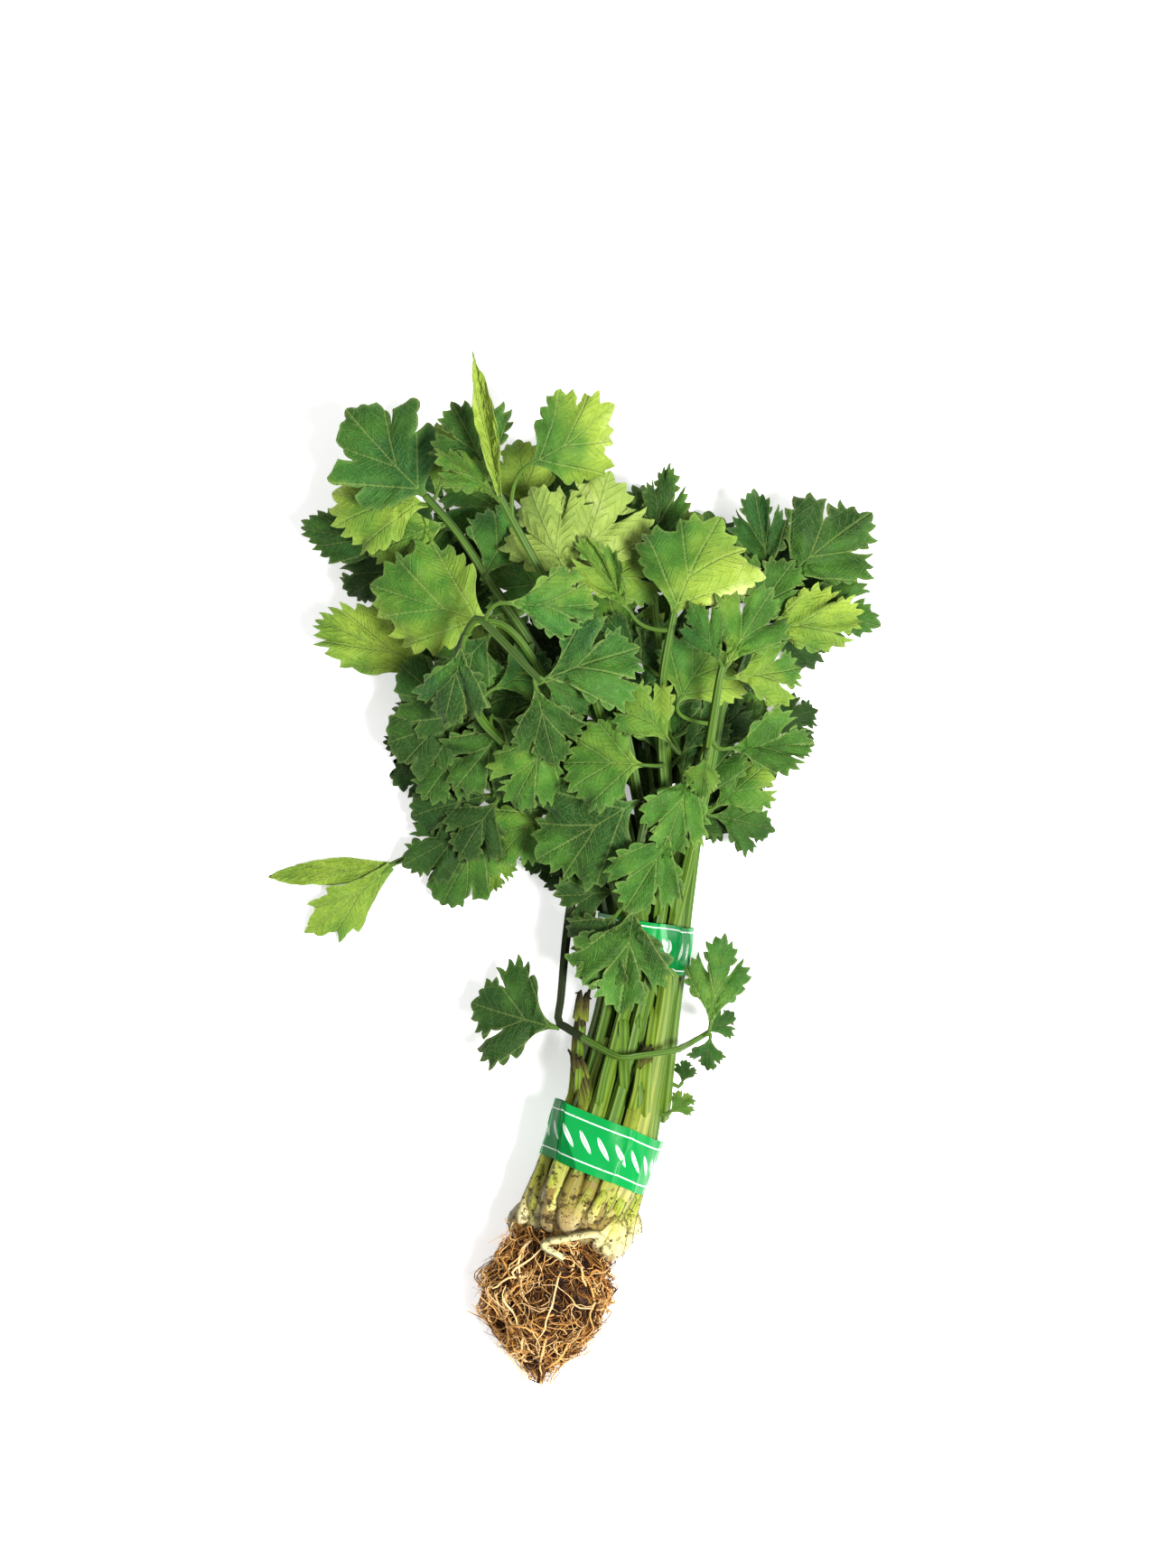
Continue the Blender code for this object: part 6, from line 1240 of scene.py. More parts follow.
def read_leaflet(row, own=None):
    """A leaflet's row by name, with its own outline and a grown leaf's curl and cup."""
    spec = dict(zip(LEAFLET_KEYS, row))
    spec["kind"] = own or spec["kind"]
    spec["base"] = np.array(spec["base"])
    spec["curl"] *= GROWN_CURL
    spec["cup"] *= GROWN_CUP
    if spec["start"] is not None:
        spec["start"] = np.array(spec["start"])
    return spec


def small_leaflet(rng, kind, base, heading, length, pitch, ranges, swell, start):
    """A leaflet with its roll, curl, fold, cup and width drawn from their ranges."""
    drawn = [rng.uniform(*ends) for ends in ranges]
    wave = (swell, 1.5, rng.random(), rng.uniform(-0.1, 0.1), rng.uniform(-0.1, 0.1))
    return dict(zip(LEAFLET_KEYS, (kind, base, heading, length, pitch, *drawn, wave, start)))


def inner_leaflets(name, rng):
    """Small shaded leaflets low on a stalk, which fill the inside of the bunch."""
    line = smooth_rows(STALK_LINES[name], 3.0)[:, :3]
    found = []
    for _ in range(INNER_TRIES):
        at = line[rng.randrange(len(line) // 3, len(line) - 3)]
        heading = math.degrees(math.atan2(*(line[-1] - line[-6])[[1, 0]])) + rng.uniform(-75, 75)
        length = rng.uniform(26, 35)
        pitch = rng.uniform(-14, 6)
        base = at + 9.0 * direction(heading, 0) - np.array([0, 0, rng.uniform(1.0, 4.0)])
        tip = base + length * direction(heading, pitch)
        inside = all((((place[:2] - INNER_AT) / INNER_SPAN) ** 2).sum() < 1 for place in (base, tip))
        if not inside or not 9.0 < base[2] < 50.0 or tip[2] < 4.0:
            continue
        start = line[max(0, int(np.argmin(np.linalg.norm(line - base, axis=1))) - 2)]
        kind = rng.choice(("cut", "plain", "cut"))
        found.append(small_leaflet(rng, kind, base, heading, length, pitch, INNER_RANGES, 1.2, start))
        if len(found) == INNER_COUNT:
            break
    return found


def extra_leaflets():
    """The extra leaflets of each stalk: each hangs on the stalk whose line comes nearest to its foot."""
    lines = {name: smooth_rows(STALK_LINES[name], 3.0)[6:-2, :3] for name in LEAFLETS}
    found = {name: [] for name in LEAFLETS}
    rng = random.Random(9)
    for base, heading, length, kind, tint in EXTRA_LEAFLETS:
        base = np.array(base, float)
        away = {name: np.linalg.norm(line - base, axis=1) for name, line in lines.items()}
        name = min(away, key=lambda one: float(away[one].min()))
        start = lines[name][int(np.argmin(away[name]))] if away[name].min() < EXTRA_REACH else None
        pitch = rng.uniform(-4, 5)
        one = small_leaflet(rng, kind, base, heading, length, pitch, EXTRA_RANGES, 1.0, start)
        found[name].append((one, tint))
    return found


class Signal:
    """An output of a material's node. The signs of arithmetic add maths nodes to it."""

    def __init__(self, wiring, socket):
        self.wiring, self.socket = wiring, socket

    def __add__(self, other):
        return self.wiring.maths("ADD", self, other)

    def __sub__(self, other):
        return self.wiring.maths("SUBTRACT", self, other)

    def __rsub__(self, other):
        return self.wiring.maths("SUBTRACT", other, self)

    def __mul__(self, other):
        return self.wiring.maths("MULTIPLY", self, other)

    def __truediv__(self, other):
        return self.wiring.maths("DIVIDE", self, other)

    def __abs__(self):
        return self.wiring.maths("ABSOLUTE", self)


def paint(colour):
    """A colour that a socket takes: a name in PAINT, a setting, or the signal that it already is."""
    if isinstance(colour, str):
        return (*PAINT[colour], 1.0)
    return colour if isinstance(colour, Signal) else tuple(colour)


class Wiring:
    """Adds nodes to a material and joins them."""

    def __init__(self, name):
        self.material = bpy.data.materials.new(name)
        self.material.use_nodes = True
        self.tree = self.material.node_tree
        self.shader = self.tree.nodes["Principled BSDF"]

    def feed(self, socket, value):
        """Joins a signal to a socket, or sets its value."""
        if isinstance(value, Signal):
            self.tree.links.new(value.socket, socket)
        else:
            socket.default_value = value

    def node(self, kind, inputs, output=0, **settings):
        """A new node with its settings and inputs, as the signal that leaves it."""
        node = self.tree.nodes.new(kind)
        for key, value in settings.items():
            setattr(node, key, value)
        for key, value in inputs.items():
            self.feed(node.inputs[key], value)
        return Signal(self, node.outputs[output])

    def maths(self, operation, *values, clamp=False):
        return self.node("ShaderNodeMath", dict(enumerate(values)), operation=operation, use_clamp=clamp)

    def mix(self, factor, a, b, blend="MIX"):
        """Two colours mixed."""
        inputs = {"Factor": factor, 6: paint(a), 7: paint(b)}
        return self.node("ShaderNodeMix", inputs, 2, data_type="RGBA", blend_type=blend)

    def coats(self, colour, *coats):
        """Lays paints over a colour, each through its own mask and with its own strength."""
        for mask, strength, over in coats:
            colour = self.mix(mask * strength, colour, over)
        return colour

    def attribute(self, name):
        return self.node("ShaderNodeAttribute", {}, "Fac", attribute_name=name)

    def part(self, vector, axis):
        return self.node("ShaderNodeSeparateXYZ", {"Vector": vector}, axis)

    def object_place(self):
        return self.node("ShaderNodeTexCoord", {}, "Object")

    def plan(self):
        """The piece's own map, whole and as its two parts."""
        uv = self.node("ShaderNodeUVMap", {}, "UV", uv_map="plan")
        return uv, self.part(uv, "X"), self.part(uv, "Y")

    def noise(self, scale, detail=3.0, vector=None, roughness=0.55):
        inputs = {"Scale": scale, "Detail": detail, "Roughness": roughness}
        inputs["Vector"] = vector or self.object_place()
        return self.node("ShaderNodeTexNoise", inputs, "Fac")

    def swing(self, scale, detail, reach):
        """Noise that swings round zero."""
        return (self.noise(scale, detail) - 0.5) * reach

    def streaks(self, around, lengthwise, detail=3.0):
        """How far round its tube a place is, and noise drawn out along the tube."""
        _, x, y = self.plan()
        place = self.node("ShaderNodeCombineXYZ", {"X": x * around, "Y": y * lengthwise})
        return x, self.noise(1.0, detail, vector=place)

    def steps(self, value, low, high):
        """The value spread from 0 at low to 1 at high, smoothly, and held beyond."""
        inputs = {"From Min": low, "From Max": high, "Value": value}
        return self.node("ShaderNodeMapRange", inputs, "Result", interpolation_type="SMOOTHSTEP")

    def ramp(self, value, *stops):
        """The colour that a ramp with these stops gives a value."""
        colour = self.node("ShaderNodeValToRGB", {"Fac": value}, "Color")
        elements = colour.socket.node.color_ramp.elements
        while len(elements) < len(stops):
            elements.new(0.5)
        for element, (place, stop) in zip(elements, stops):
            element.position = place
            element.color = paint(stop)
        return colour

    def finish(self, colour, height, depth, strength, roughness, **others):
        """Sets the shader's inputs, and gives the material."""
        bump = {"Strength": strength, "Distance": depth, "Height": height}
        normal = self.node("ShaderNodeBump", bump, "Normal")
        values = {"Base Color": colour, "Normal": normal, "Roughness": roughness}
        for key, value in {**values, **others}.items():
            self.feed(self.shader.inputs[key.replace("_", " ")], value)
        return self.material


def vein_nodes(w, uv, x, y):
    """The main veins, the side veins that branch off the nearest one, and the valley beside it, as masks."""
    x = abs(x)
    best = phase = None
    for (ox, oy), (dx, dy) in MAIN_VEINS:
        px, py = x - ox, y - oy
        along = px * dx + py * dy
        aside = abs(px * dy - py * dx) + w.maths("LESS_THAN", along, 0.0) * BEHIND_VEIN
        here = (along - aside * SIDE_VEIN_SLANT) / SIDE_VEIN_STEP
        if best is None:
            best, phase = aside, here
            continue
        nearer = w.maths("LESS_THAN", aside, best)
        phase = phase * (1.0 - nearer) + here * nearer
        best = w.maths("MINIMUM", aside, best)
    bend = (w.noise(5.0, 2.0, vector=uv) - 0.5) * 0.8
    off = abs(w.maths("FRACT", phase + bend) - 0.5)
    main, side = 1.0 - w.steps(best, 0.004, 0.016), 1.0 - w.steps(off, 0.03, 0.14)
    return main, side, 1.0 - w.steps(best, 0.01, 0.085)


def leaf_material(leaf):
    """Patchy green, deep to yellow by tint, pale veins, painted shade in the valleys and low down, painted
    light at the rim.
    """
    w = Wiring("celery_leaf")
    uv, x, y = w.plan()
    main, side, valley = vein_nodes(w, uv, x, y)
    tint, under = w.attribute("tint"), w.attribute("under")
    level = w.maths("MAXIMUM", tint + (w.swing(95.0, 5.0, 0.75) + w.swing(30.0, 2.0, 1.15)), 0.0) / 1.4
    stops = ((0.0, leaf.deep), (0.29, leaf.middle), (0.71, leaf.bright), (1.0, "leaf_brightest"))
    green = w.ramp(level, *stops)
    cool = w.steps(w.noise(17.0, 3.0), 0.48, 0.66) * w.steps(tint, 0.75, 0.35)
    green = w.coats(green, (cool, 0.34, "leaf_cool"))
    colour = w.mix(under, green, w.mix(0.5, green, "leaf_back"))
    # Painted shade: patches of the valleys beside the main veins darken, less on the yellow leaflets
    sunk = valley * w.steps(w.noise(60.0, 2.0), 0.30, 0.62)
    sunk = sunk * (1.0 - w.steps(level, 0.30, 0.60) * 0.62)
    colour = w.coats(colour, (sunk, 0.70, w.mix(0.50, colour, "leaf_valley")))
    light = w.mix(0.7, colour, "leaf_vein", "LIGHTEN")
    net = {"Scale": 42.0, "Vector": uv}
    net = w.node("ShaderNodeTexVoronoi", net, "Distance", feature="DISTANCE_TO_EDGE")
    net = 1.0 - w.steps(net, 0.0, 0.16)
    # Painted shade: leaflets near the floor darken towards black-green, the deep green ones most
    low = w.steps(w.part(w.object_place(), "Z"), 0.040, 0.006) * w.steps(tint, 0.50, 0.20)
    colour = w.mix(w.maths("MAXIMUM", main * 0.34, side * 0.16), colour, light)
    # Painted light: the rim value pales the blade along its edge
    colour = w.coats(colour, (net, 0.15, light), (w.attribute("rim"), 0.30, light), (low, 0.55, "leaf_low"))
    height = (main * -1.0 + side * -0.55 + net * -0.22) * (1.0 - under * 2.0) + w.noise(420.0, 2.0) * 0.25
    roughness = w.noise(90.0) * 0.22 + 0.42
    return w.finish(colour, height, 0.0005, 0.9, roughness, Specular_IOR_Level=0.11)


def stalk_material(stalk):
    """Ribbed green, paling to the crown; ribs partly painted highlight, painted shade in grooves and below;
    soil at the foot.
    """
    w = Wiring("celery_stalk")
    x, streak = w.streaks(26.0, 0.22)
    along, tint = w.attribute("along"), w.attribute("tint")
    shift = (streak - 0.5) * 0.30 + w.swing(35.0, 3.0, 0.35)
    place = w.maths("ADD", along / 3.0 - (tint - 0.35) * 0.35, shift * 0.35, clamp=True)
    stops = ((0.0, stalk.base), (0.05, "stalk_foot"), (0.13, stalk.lower), (0.36, "stalk_middle"))
    colour = w.ramp(place, *stops, (0.85, stalk.upper))
    # Rib tops paler, partly their own colour and partly painted highlight, and painted shade in the grooves
    # between them
    rib = w.maths("COSINE", x * (2 * math.pi * stalk.ribs)) * 0.5 + 0.5
    rib = rib * w.steps(streak, 0.25, 0.75)
    groove = w.maths("SUBTRACT", 1.0, rib * 4.0, clamp=True)
    colour = w.coats(colour, (rib, 0.24, "stalk_rib"), (groove, 0.46, "stalk_groove"))
    withered = w.steps(tint, -1.2, -1.8)
    soil = w.steps(w.noise(210.0, 5.0), 0.56, 0.68) * w.steps(along, 0.55, 0.05)
    # Painted shade: the lower side of each stalk darkens
    painted_flank_shade = w.steps(w.maths("SINE", x * (2 * math.pi)), 0.45, -0.5)
    colour = w.mix(withered, colour, "stalk_withered")
    colour = w.coats(colour, (soil, 0.85, "stalk_soil"), (painted_flank_shade, 0.68, "stalk_flank"))
    roughness = withered * 0.4 + 0.36 + streak * 0.25
    return w.finish(colour, streak + w.noise(300.0) * 0.3, 0.0004, 0.7, roughness, Specular_IOR_Level=0.16)


def old_stalk_material():
    """Green at the foot, brown and black at the torn end."""
    w = Wiring("withered_stalk")
    _, streak = w.streaks(18.0, 0.3, 4.0)
    level = w.maths("ADD", w.attribute("along"), (streak - 0.5) * 0.55, clamp=True)
    stops = ((0.0, "old_foot"), (0.35, "old_lower"), (0.70, "old_middle"), (0.86, "old_upper"))
    colour = w.ramp(level, *stops, (1.0, "old_tip"))
    colour = w.coats(colour, (w.steps(w.noise(260.0, 4.0), 0.58, 0.70), 0.8, "old_spots"))
    return w.finish(colour, streak, 0.0006, 0.9, streak * 0.25 + 0.62, Specular_IOR_Level=0.08)


def crown_material():
    """Pale flesh greening towards the stalks, stained and streaked, soil in specks and patches, painted shade
    on the sides.
    """
    w = Wiring("crown_flesh")
    x, streak = w.streaks(22.0, 0.4)
    tint = w.attribute("tint")
    swing = (streak - 0.5) * 0.5
    place = w.maths("ADD", w.attribute("along"), swing, clamp=True)
    stops = ((0.0, "crown_top"), (0.30, "crown_upper"), (0.60, "crown_middle"), (1.0, "crown_foot"))
    base = w.ramp(place, *stops)
    dirt = w.steps(w.noise(215.0, 8.0, roughness=0.80), 0.53, 0.63)
    amount = w.maths("ADD", 0.68, tint * 0.7, clamp=True)
    # Painted shade: the sides and undersides of each sheath and bulb darken
    painted_flank_shade = w.steps(w.maths("SINE", x * (2 * math.pi)) + swing, 0.80, 0.0)
    colour = w.coats(
        w.mix(w.maths("MAXIMUM", tint, 0.0), base, "crown_brown"),
        (w.steps(w.noise(70.0, 4.0), 0.48, 0.68), 0.30, "crown_stain"),
        (w.steps(streak, 0.48, 0.30), 0.55, "crown_streak"),
        (dirt, amount, "crown_dirt"),
        (w.steps(w.noise(620.0, 3.0), 0.62, 0.70), 0.8, "crown_specks"),
        (painted_flank_shade, 0.80, "crown_flank"),
    )
    return w.finish(colour, streak + dirt * 0.8, 0.0006, 0.8, dirt * 0.4 + 0.42, Specular_IOR_Level=0.14)


def root_material(root):
    """Brown to straw by the root's tint, mottled with soil."""
    w = Wiring("root_fibre")
    tint = w.attribute("tint") * 1.35 - 0.14
    level = w.maths("ADD", tint, w.swing(140.0, 4.0, 0.7), clamp=True)
    colour = w.ramp(level, (0.0, root.dark), (0.30, "root_brown"), (0.60, "root_tan"), (1.0, root.light))
    roughness = w.noise(300.0) * 0.25 + 0.66
    return w.finish(colour, w.noise(900.0, 3.0), 0.0003, 0.8, roughness, Specular_IOR_Level=0.12)


def soil_material():
    """Dark crumbly soil."""
    w = Wiring("clinging_soil")
    colour = w.ramp(w.noise(380.0, 5.0), (0.3, "soil_dark"), (0.7, "soil_light"))
    return w.finish(colour, w.noise(700.0, 5.0), 0.0008, 1.0, w.noise(200.0) * 0.15 + 0.82)


def band_material(band):
    """Glossy green film printed with a row of plain white leaves, drawn from the piece's own map."""
    w = Wiring("band_film")
    _, x, y = w.plan()
    aside = abs((w.maths("FRACT", x / PRINT_STEP) - 0.5) * PRINT_STEP - y * PRINT_SLANT)
    tall = y / PRINT_HALF_HEIGHT
    blade = w.steps((1.0 - tall * tall) * PRINT_HALF_WIDTH - aside, -0.08, 0.08) * w.steps(aside, 0.14, 0.26)
    stripe = 1.0 - w.steps(abs(abs(y) - STRIPE_AT), 0.18, 0.30)
    printed = w.maths("MAXIMUM", blade, stripe) * w.steps(w.noise(900.0, 3.0), 0.30, 0.42)
    shade = w.mix(w.noise(45.0, 3.0), band.green, "band_light")
    colour = w.mix(printed, shade, band.print_white)
    crease = w.noise(70.0, 3.0) + w.noise(260.0, 2.0) * 0.25
    roughness = w.noise(120.0) * 0.16 + 0.26
    return w.finish(colour, crease, 0.0007, 0.5, roughness, Specular_IOR_Level=0.09)


class CELERY_OT_leafy_stalks(bpy.types.Operator):
    """Build every leafy stalk with its leaflets"""

    bl_idname = "celery.leafy_stalks"
    bl_label = "Leafy Stalks"

    def execute(self, context):
        leaf, stalk = context.scene.celery_leaf, context.scene.celery_stalk
        materials = [leaf_material(leaf), stalk_material(stalk)]
        extras = extra_leaflets()
        for order, (name, rows) in enumerate(LEAFLETS.items()):
            rng = random.Random(1000 * leaf.seed + order)
            shape = Shape()
            tints = TINTS.get(name, DEFAULT_TINTS)
            tint = rng.choice(STALK_TINTS) + rng.uniform(-0.1, 0.1)
            add_stalk(shape, STALK_LINES[name], stalk, rng, tint, name == HANGING)
            for number, row in enumerate(rows):
                tint = tints[number % len(tints)] + rng.uniform(-0.03, 0.03)
                one = read_leaflet(row, OWN_OUTLINES.get((name, number)))
                one["drift"] = DRIFTS.get((name, number))
                one["base"][2] -= LOWERED.get((name, number), 0.0)
                add_leaflet(shape, one, leaf, rng, tint, (name, number) in TURNED)
            for one in inner_leaflets(name, random.Random(3000 + order)):
                add_leaflet(shape, one, leaf, rng, rng.uniform(0.02, 0.3))
            for one, tint in extras[name]:
                add_leaflet(shape, one, leaf, rng, tint)
            settle(shape.build(name + "_grown", materials), name)
        return {"FINISHED"}


def bundle_height(lines, x, y):
    """Height of the top of the bound stalks over a place in the plan."""
    away = np.hypot(lines[:, 0] - x, lines[:, 1] - y)
    under = lines[away < lines[:, 3]]
    if not len(under):
        return None
    away = np.hypot(under[:, 0] - x, under[:, 1] - y)
    return float((under[:, 2] + np.sqrt(under[:, 3] ** 2 - away**2)).max())


def laid_heights(lines, x, y):
    """Heights of a line that lies on the bound stalks over places in the plan, smoothed along it."""
    tops = [bundle_height(lines, *place) for place in zip(x, y)]
    known = [k for k, top in enumerate(tops) if top is not None]
    z = np.interp(range(len(tops)), known, [tops[k] for k in known])
    for _ in range(3):
        z = np.concatenate([z[:1], (z[:-2] + 2 * z[1:-1] + z[2:]) / 4, z[-1:]])
    return z


def bound_lines(*left_out):
    """Points all along the stalks, each with its radius, leaving out some."""
    return np.vstack([smooth_rows(rows, 1.0) for name, rows in STALK_LINES.items() if name not in left_out])


def laid_line(ground, start, end, count, bow, rng):
    """A line between two places in the plan that bows a little and lies on the ground: shares, x, y, z."""
    share = np.linspace(0.0, 1.0, count)
    x = np.interp(share, (0, 1), (start[0], end[0])) + bow * rng.uniform(-1, 1) * np.sin(np.pi * share)
    y = np.interp(share, (0, 1), (start[1], end[1]))
    return share, x, y, laid_heights(ground, x, y)


class CELERY_OT_thin_stalks(bpy.types.Operator):
    """Build the thin stalks that lie in the grooves of the bound ones"""

    bl_idname = "celery.thin_stalks"
    bl_label = "Thin Stalks"

    def execute(self, context):
        lines = bound_lines(HANGING, "leafy_stalk_over_band")
        lines = lines[lines[:, 1] < BOUND_END]
        shape = Shape()
        rng = random.Random(31)
        sides = 16
        for lower, upper, radius, tint, cut in THIN_STALKS:
            share, x, y, z = laid_line(lines, lower, upper, 15, 0.8, rng)
            z += 0.1 * radius - 3.0 * radius * np.exp(-((share / 0.07) ** 2))
            if not cut:
                z -= 3.0 * radius * np.exp(-(((1 - share) / 0.07) ** 2))
            radii = radius * np.interp(share, (0, 1), (1.1, 0.9))
            line = smooth_rows(np.column_stack([x, y, z, radii]), 2.5)
            ragged = np.array([rng.uniform(-1.2, 1.2) for _ in range(sides)]) if cut else None
            along = (line[:, 1] + 150.0) / 100.0
            shape.add_tube(line[:, :3], line[:, 3], sides, 0, tint, along, ribs=5, depth=0.12, ragged=ragged)
        material = stalk_material(context.scene.celery_stalk)
        settle(shape.build("thin_stalks", [material]), None)
        return {"FINISHED"}


class CELERY_OT_old_stalks(bpy.types.Operator):
    """Build the old stalks, cut short above the lower band"""

    bl_idname = "celery.old_stalks"
    bl_label = "Old Stalks"

    def execute(self, context):
        material = old_stalk_material()
        sides = 20
        for order, name in enumerate(n for n in STALK_LINES if n.startswith("old")):
            rng = random.Random(70 + order)
            line = smooth_rows(STALK_LINES[name], 2.0)
            along = np.linspace(0.0, 1.0, len(line))
            radii = line[:, 3] * (1.0 + 0.08 * np.sin(9.0 * along + order))
            radii *= np.interp(along, (0, 0.9, 1), (1, 1, 0.75))
            ragged = np.array([rng.uniform(-2.5, 2.0) for _ in range(sides)])
            shape = Shape()
            form = {"ribs": 6, "depth": 0.12, "turn": 1.2, "ragged": ragged}
            shape.add_tube(line[:, :3], radii, sides, along=along, **form)
            top, ahead = line[-1, :3], unit(line[-1, :3] - line[-4, :3])
            for _ in range(SHREDS):
                self.shred(shape, top, ahead, rng)
            settle(shape.build(name + "_withered", [material]), name)
        return {"FINISHED"}

    @staticmethod
    def shred(shape, top, ahead, rng):
        """Adds one curled strip that hangs from the torn end."""
        aside = unit(np.array([rng.uniform(-1, 1), rng.uniform(-0.4, 0.4), rng.uniform(-0.6, 1)]))
        reach = rng.uniform(5.0, 11.0)
        strip = smooth_rows([
            top - ahead * 4.0 + aside * 1.4,
            top + ahead * 0.3 * reach + aside * 2.0,
            top + ahead * 0.6 * reach + aside * 0.24 * reach,
            top + ahead * rng.uniform(0.5, 0.9) * reach + aside * 0.36 * reach,
        ], 1.2)
        strip[:, 2] = np.maximum(strip[:, 2], 2.0)
        radii, along = np.linspace(1.9, 0.4, len(strip)), np.linspace(0.72, 1.0, len(strip))
        shape.add_tube(strip, radii, 8, along=along, flat=0.35, turn=3.0)


def bulb_points(centre, radius, axis, rng, rings=22, sides=32):
    """A smooth lumpy bulb round a crown's centre, drawn out a little along its axis."""
    side, up = across(axis)
    points, uvs = [centre - axis * radius * 0.97], [(0.5, 0.0)]
    phase = [rng.uniform(0, 6) for _ in range(3)]
    for k in range(1, rings):
        slope = math.pi * k / rings
        for m in range(sides):
            angle = 2 * math.pi * m / sides
            lump = 0.95 + 0.03 * math.sin(3 * angle + phase[0])
            lump += 0.02 * math.sin(5 * slope + 4 * angle + phase[1])
            out = math.sin(slope) * (math.cos(angle) * side + math.sin(angle) * up) - math.cos(slope) * axis
            points.append(centre + radius * lump * out)
            uvs.append((m / sides, slope * radius / 10.0))
    points.append(centre + axis * radius * 0.97)
    uvs.append((0.5, math.pi * radius / 10.0))
    faces = [(0, 1 + k, 1 + (k + 1) % sides) for k in range(sides)]
    for ring in range(rings - 2):
        for k in range(sides):
            a, b = 1 + ring * sides + k, 1 + ring * sides + (k + 1) % sides
            faces.append((a, a + sides, b + sides, b))
    last = len(points) - 1
    start = 1 + (rings - 2) * sides
    faces += [(last, start + (k + 1) % sides, start + k) for k in range(sides)]
    return np.array(points), faces, np.array(uvs)


def sheath_line(centre, radius, stalk_rows, reach):
    """A line from a stalk down over its crown's surface towards the roots."""
    line = smooth_rows(stalk_rows, 2.0)[:8, :3][::-1]
    out = unit(line[-1] - centre)
    towards = np.array([0.0, -1.0, -0.15])
    towards = unit(towards - out * np.dot(out, towards))
    turns = [reach * k / 12 for k in range(1, 13)]
    arc = [centre + radius * 0.92 * (math.cos(turn) * out + math.sin(turn) * towards) for turn in turns]
    return np.vstack([line, arc])


class CELERY_OT_crowns(bpy.types.Operator):
    """Build the crowns with the sheaths of their stalks and the broken petiole"""

    bl_idname = "celery.crowns"
    bl_label = "Crowns"

    @staticmethod
    def lay(shape, ground, upper, lower, thick, muddy, rng):
        """Adds a sheath that lies on the crowns from the band to the roots and swells near its lower end."""
        share, x, y, z = laid_line(ground, upper, lower, 13, 0.9, rng)
        z += thick * np.interp(share, (0, 0.12, 0.85, 1), (-1.2, -0.1, 0.0, -1.6))
        radii = thick * np.interp(share, (0, 0.4, 0.8, 1), (0.8, 0.9, 1.15, 0.35))
        line = smooth_rows(np.column_stack([x, y, z, radii]), 1.5)
        along = np.linspace(0.0, 1.0, len(line))
        shape.add_tube(line[:, :3], line[:, 3], 16, 0, muddy, along, ribs=6, depth=0.07, flat=0.75)

    @staticmethod
    def wrap(shape, rows, centre, radius, dirty, rng):
        """Adds the sheath of a stalk that grows on the crown, if this one does."""
        if abs(np.linalg.norm(np.array(rows[0][:3]) - centre) - radius) > ROOTED:
            return
        line = sheath_line(centre, radius, rows, rng.uniform(1.0, 1.6))
        along = np.linspace(0.0, 1.0, len(line))
        radii = np.interp(along, (0.0, 0.3, 0.55, 0.85, 1.0), (rows[0][3] * 1.25, 3.9, 4.6, 3.2, 0.6))
        radii = np.minimum(radii, radius * 0.45)
        flat = np.interp(along, (0, 0.35, 0.7), (0.9, 0.75, 0.5))
        tint = dirty + rng.uniform(-0.15, 0.15)
        shape.add_tube(line, radii, 16, 0, tint, along, ribs=6, depth=0.05, flat=flat)

    def execute(self, context):
        material, soil = crown_material(), soil_material()
        grains = context.scene.celery_root.grains
        ground = bound_lines(HANGING)
        crowns = [[*centre, radius] for centre, radius, _ in CROWNS.values()]
        ground = np.vstack([ground[ground[:, 1] < CROWN_END], crowns])
        for order, (name, (centre, radius, dirty)) in enumerate(CROWNS.items()):
            rng = random.Random(40 + order)
            centre = np.array(centre)
            shape = Shape()
            bulb, faces, uvs = bulb_points(centre, radius * 0.95, unit(np.array(BULB_AXIS)), rng)
            # The bulb is browner than its sheaths: partly soil, partly painted shade in the gaps between them
            shape.add(bulb, faces, uvs, 0, dirty + BULB_TINT, 0.0, 0.60 - 0.03 * (bulb - centre)[:, 1])
            for rows in STALK_LINES.values():
                self.wrap(shape, rows, centre, radius, dirty, rng)
            for *sheath, owner in SHEATHS:
                if owner == name:
                    self.lay(shape, ground, *sheath, rng)
            if name == "crown_right":
                line = smooth_rows(BROKEN_PETIOLE, 1.5)
                radii = np.linspace(1.9, 1.3, len(line))
                shape.add_tube(line, radii, 12, 0, -0.1, 0.75, ribs=5, depth=0.08)
            obj = shape.build(name + "_sheathed", [material])
            settle(obj, name)
            settle(strew_grains(name + "_soil", obj, grains, GRAIN_RADIUS, order, soil), None)
        return {"FINISHED"}


def root_radius(share):
    """Radius of the root mass at a share of the way to its tip."""
    return float(np.interp(share, *zip(*ROOT_PROFILE)))


def root_surface(share, angle, proud):
    """A point on the root mass: share of the way to its tip, angle round it, and height over its skin."""
    top, tip = np.array(ROOT_TOP), np.array(ROOT_TIP)
    axis = unit(tip - top)
    side, up = across(axis)
    lumps = 1.0 + 0.07 * math.sin(3 * angle + 5 * share) + 0.05 * math.sin(5 * angle - 9 * share)
    radius = root_radius(share) * lumps
    radius -= 3.0 * max(0.0, -math.cos(angle)) * math.exp(-(((share - 0.85) / 0.25) ** 2))
    radius -= 2.5 * max(0.0, math.cos(angle)) * math.exp(-(((share - 0.15) / 0.2) ** 2))
    radius = max(1.0, radius + proud)
    across_axis = math.cos(angle) * side + ROOT_HEIGHT * math.sin(angle) * up
    bow = ROOT_BOW * math.sin(math.pi * min(1.0, share))
    return top + axis * share * np.linalg.norm(tip - top) + radius * across_axis + np.array([bow, 0.0, 0.0])


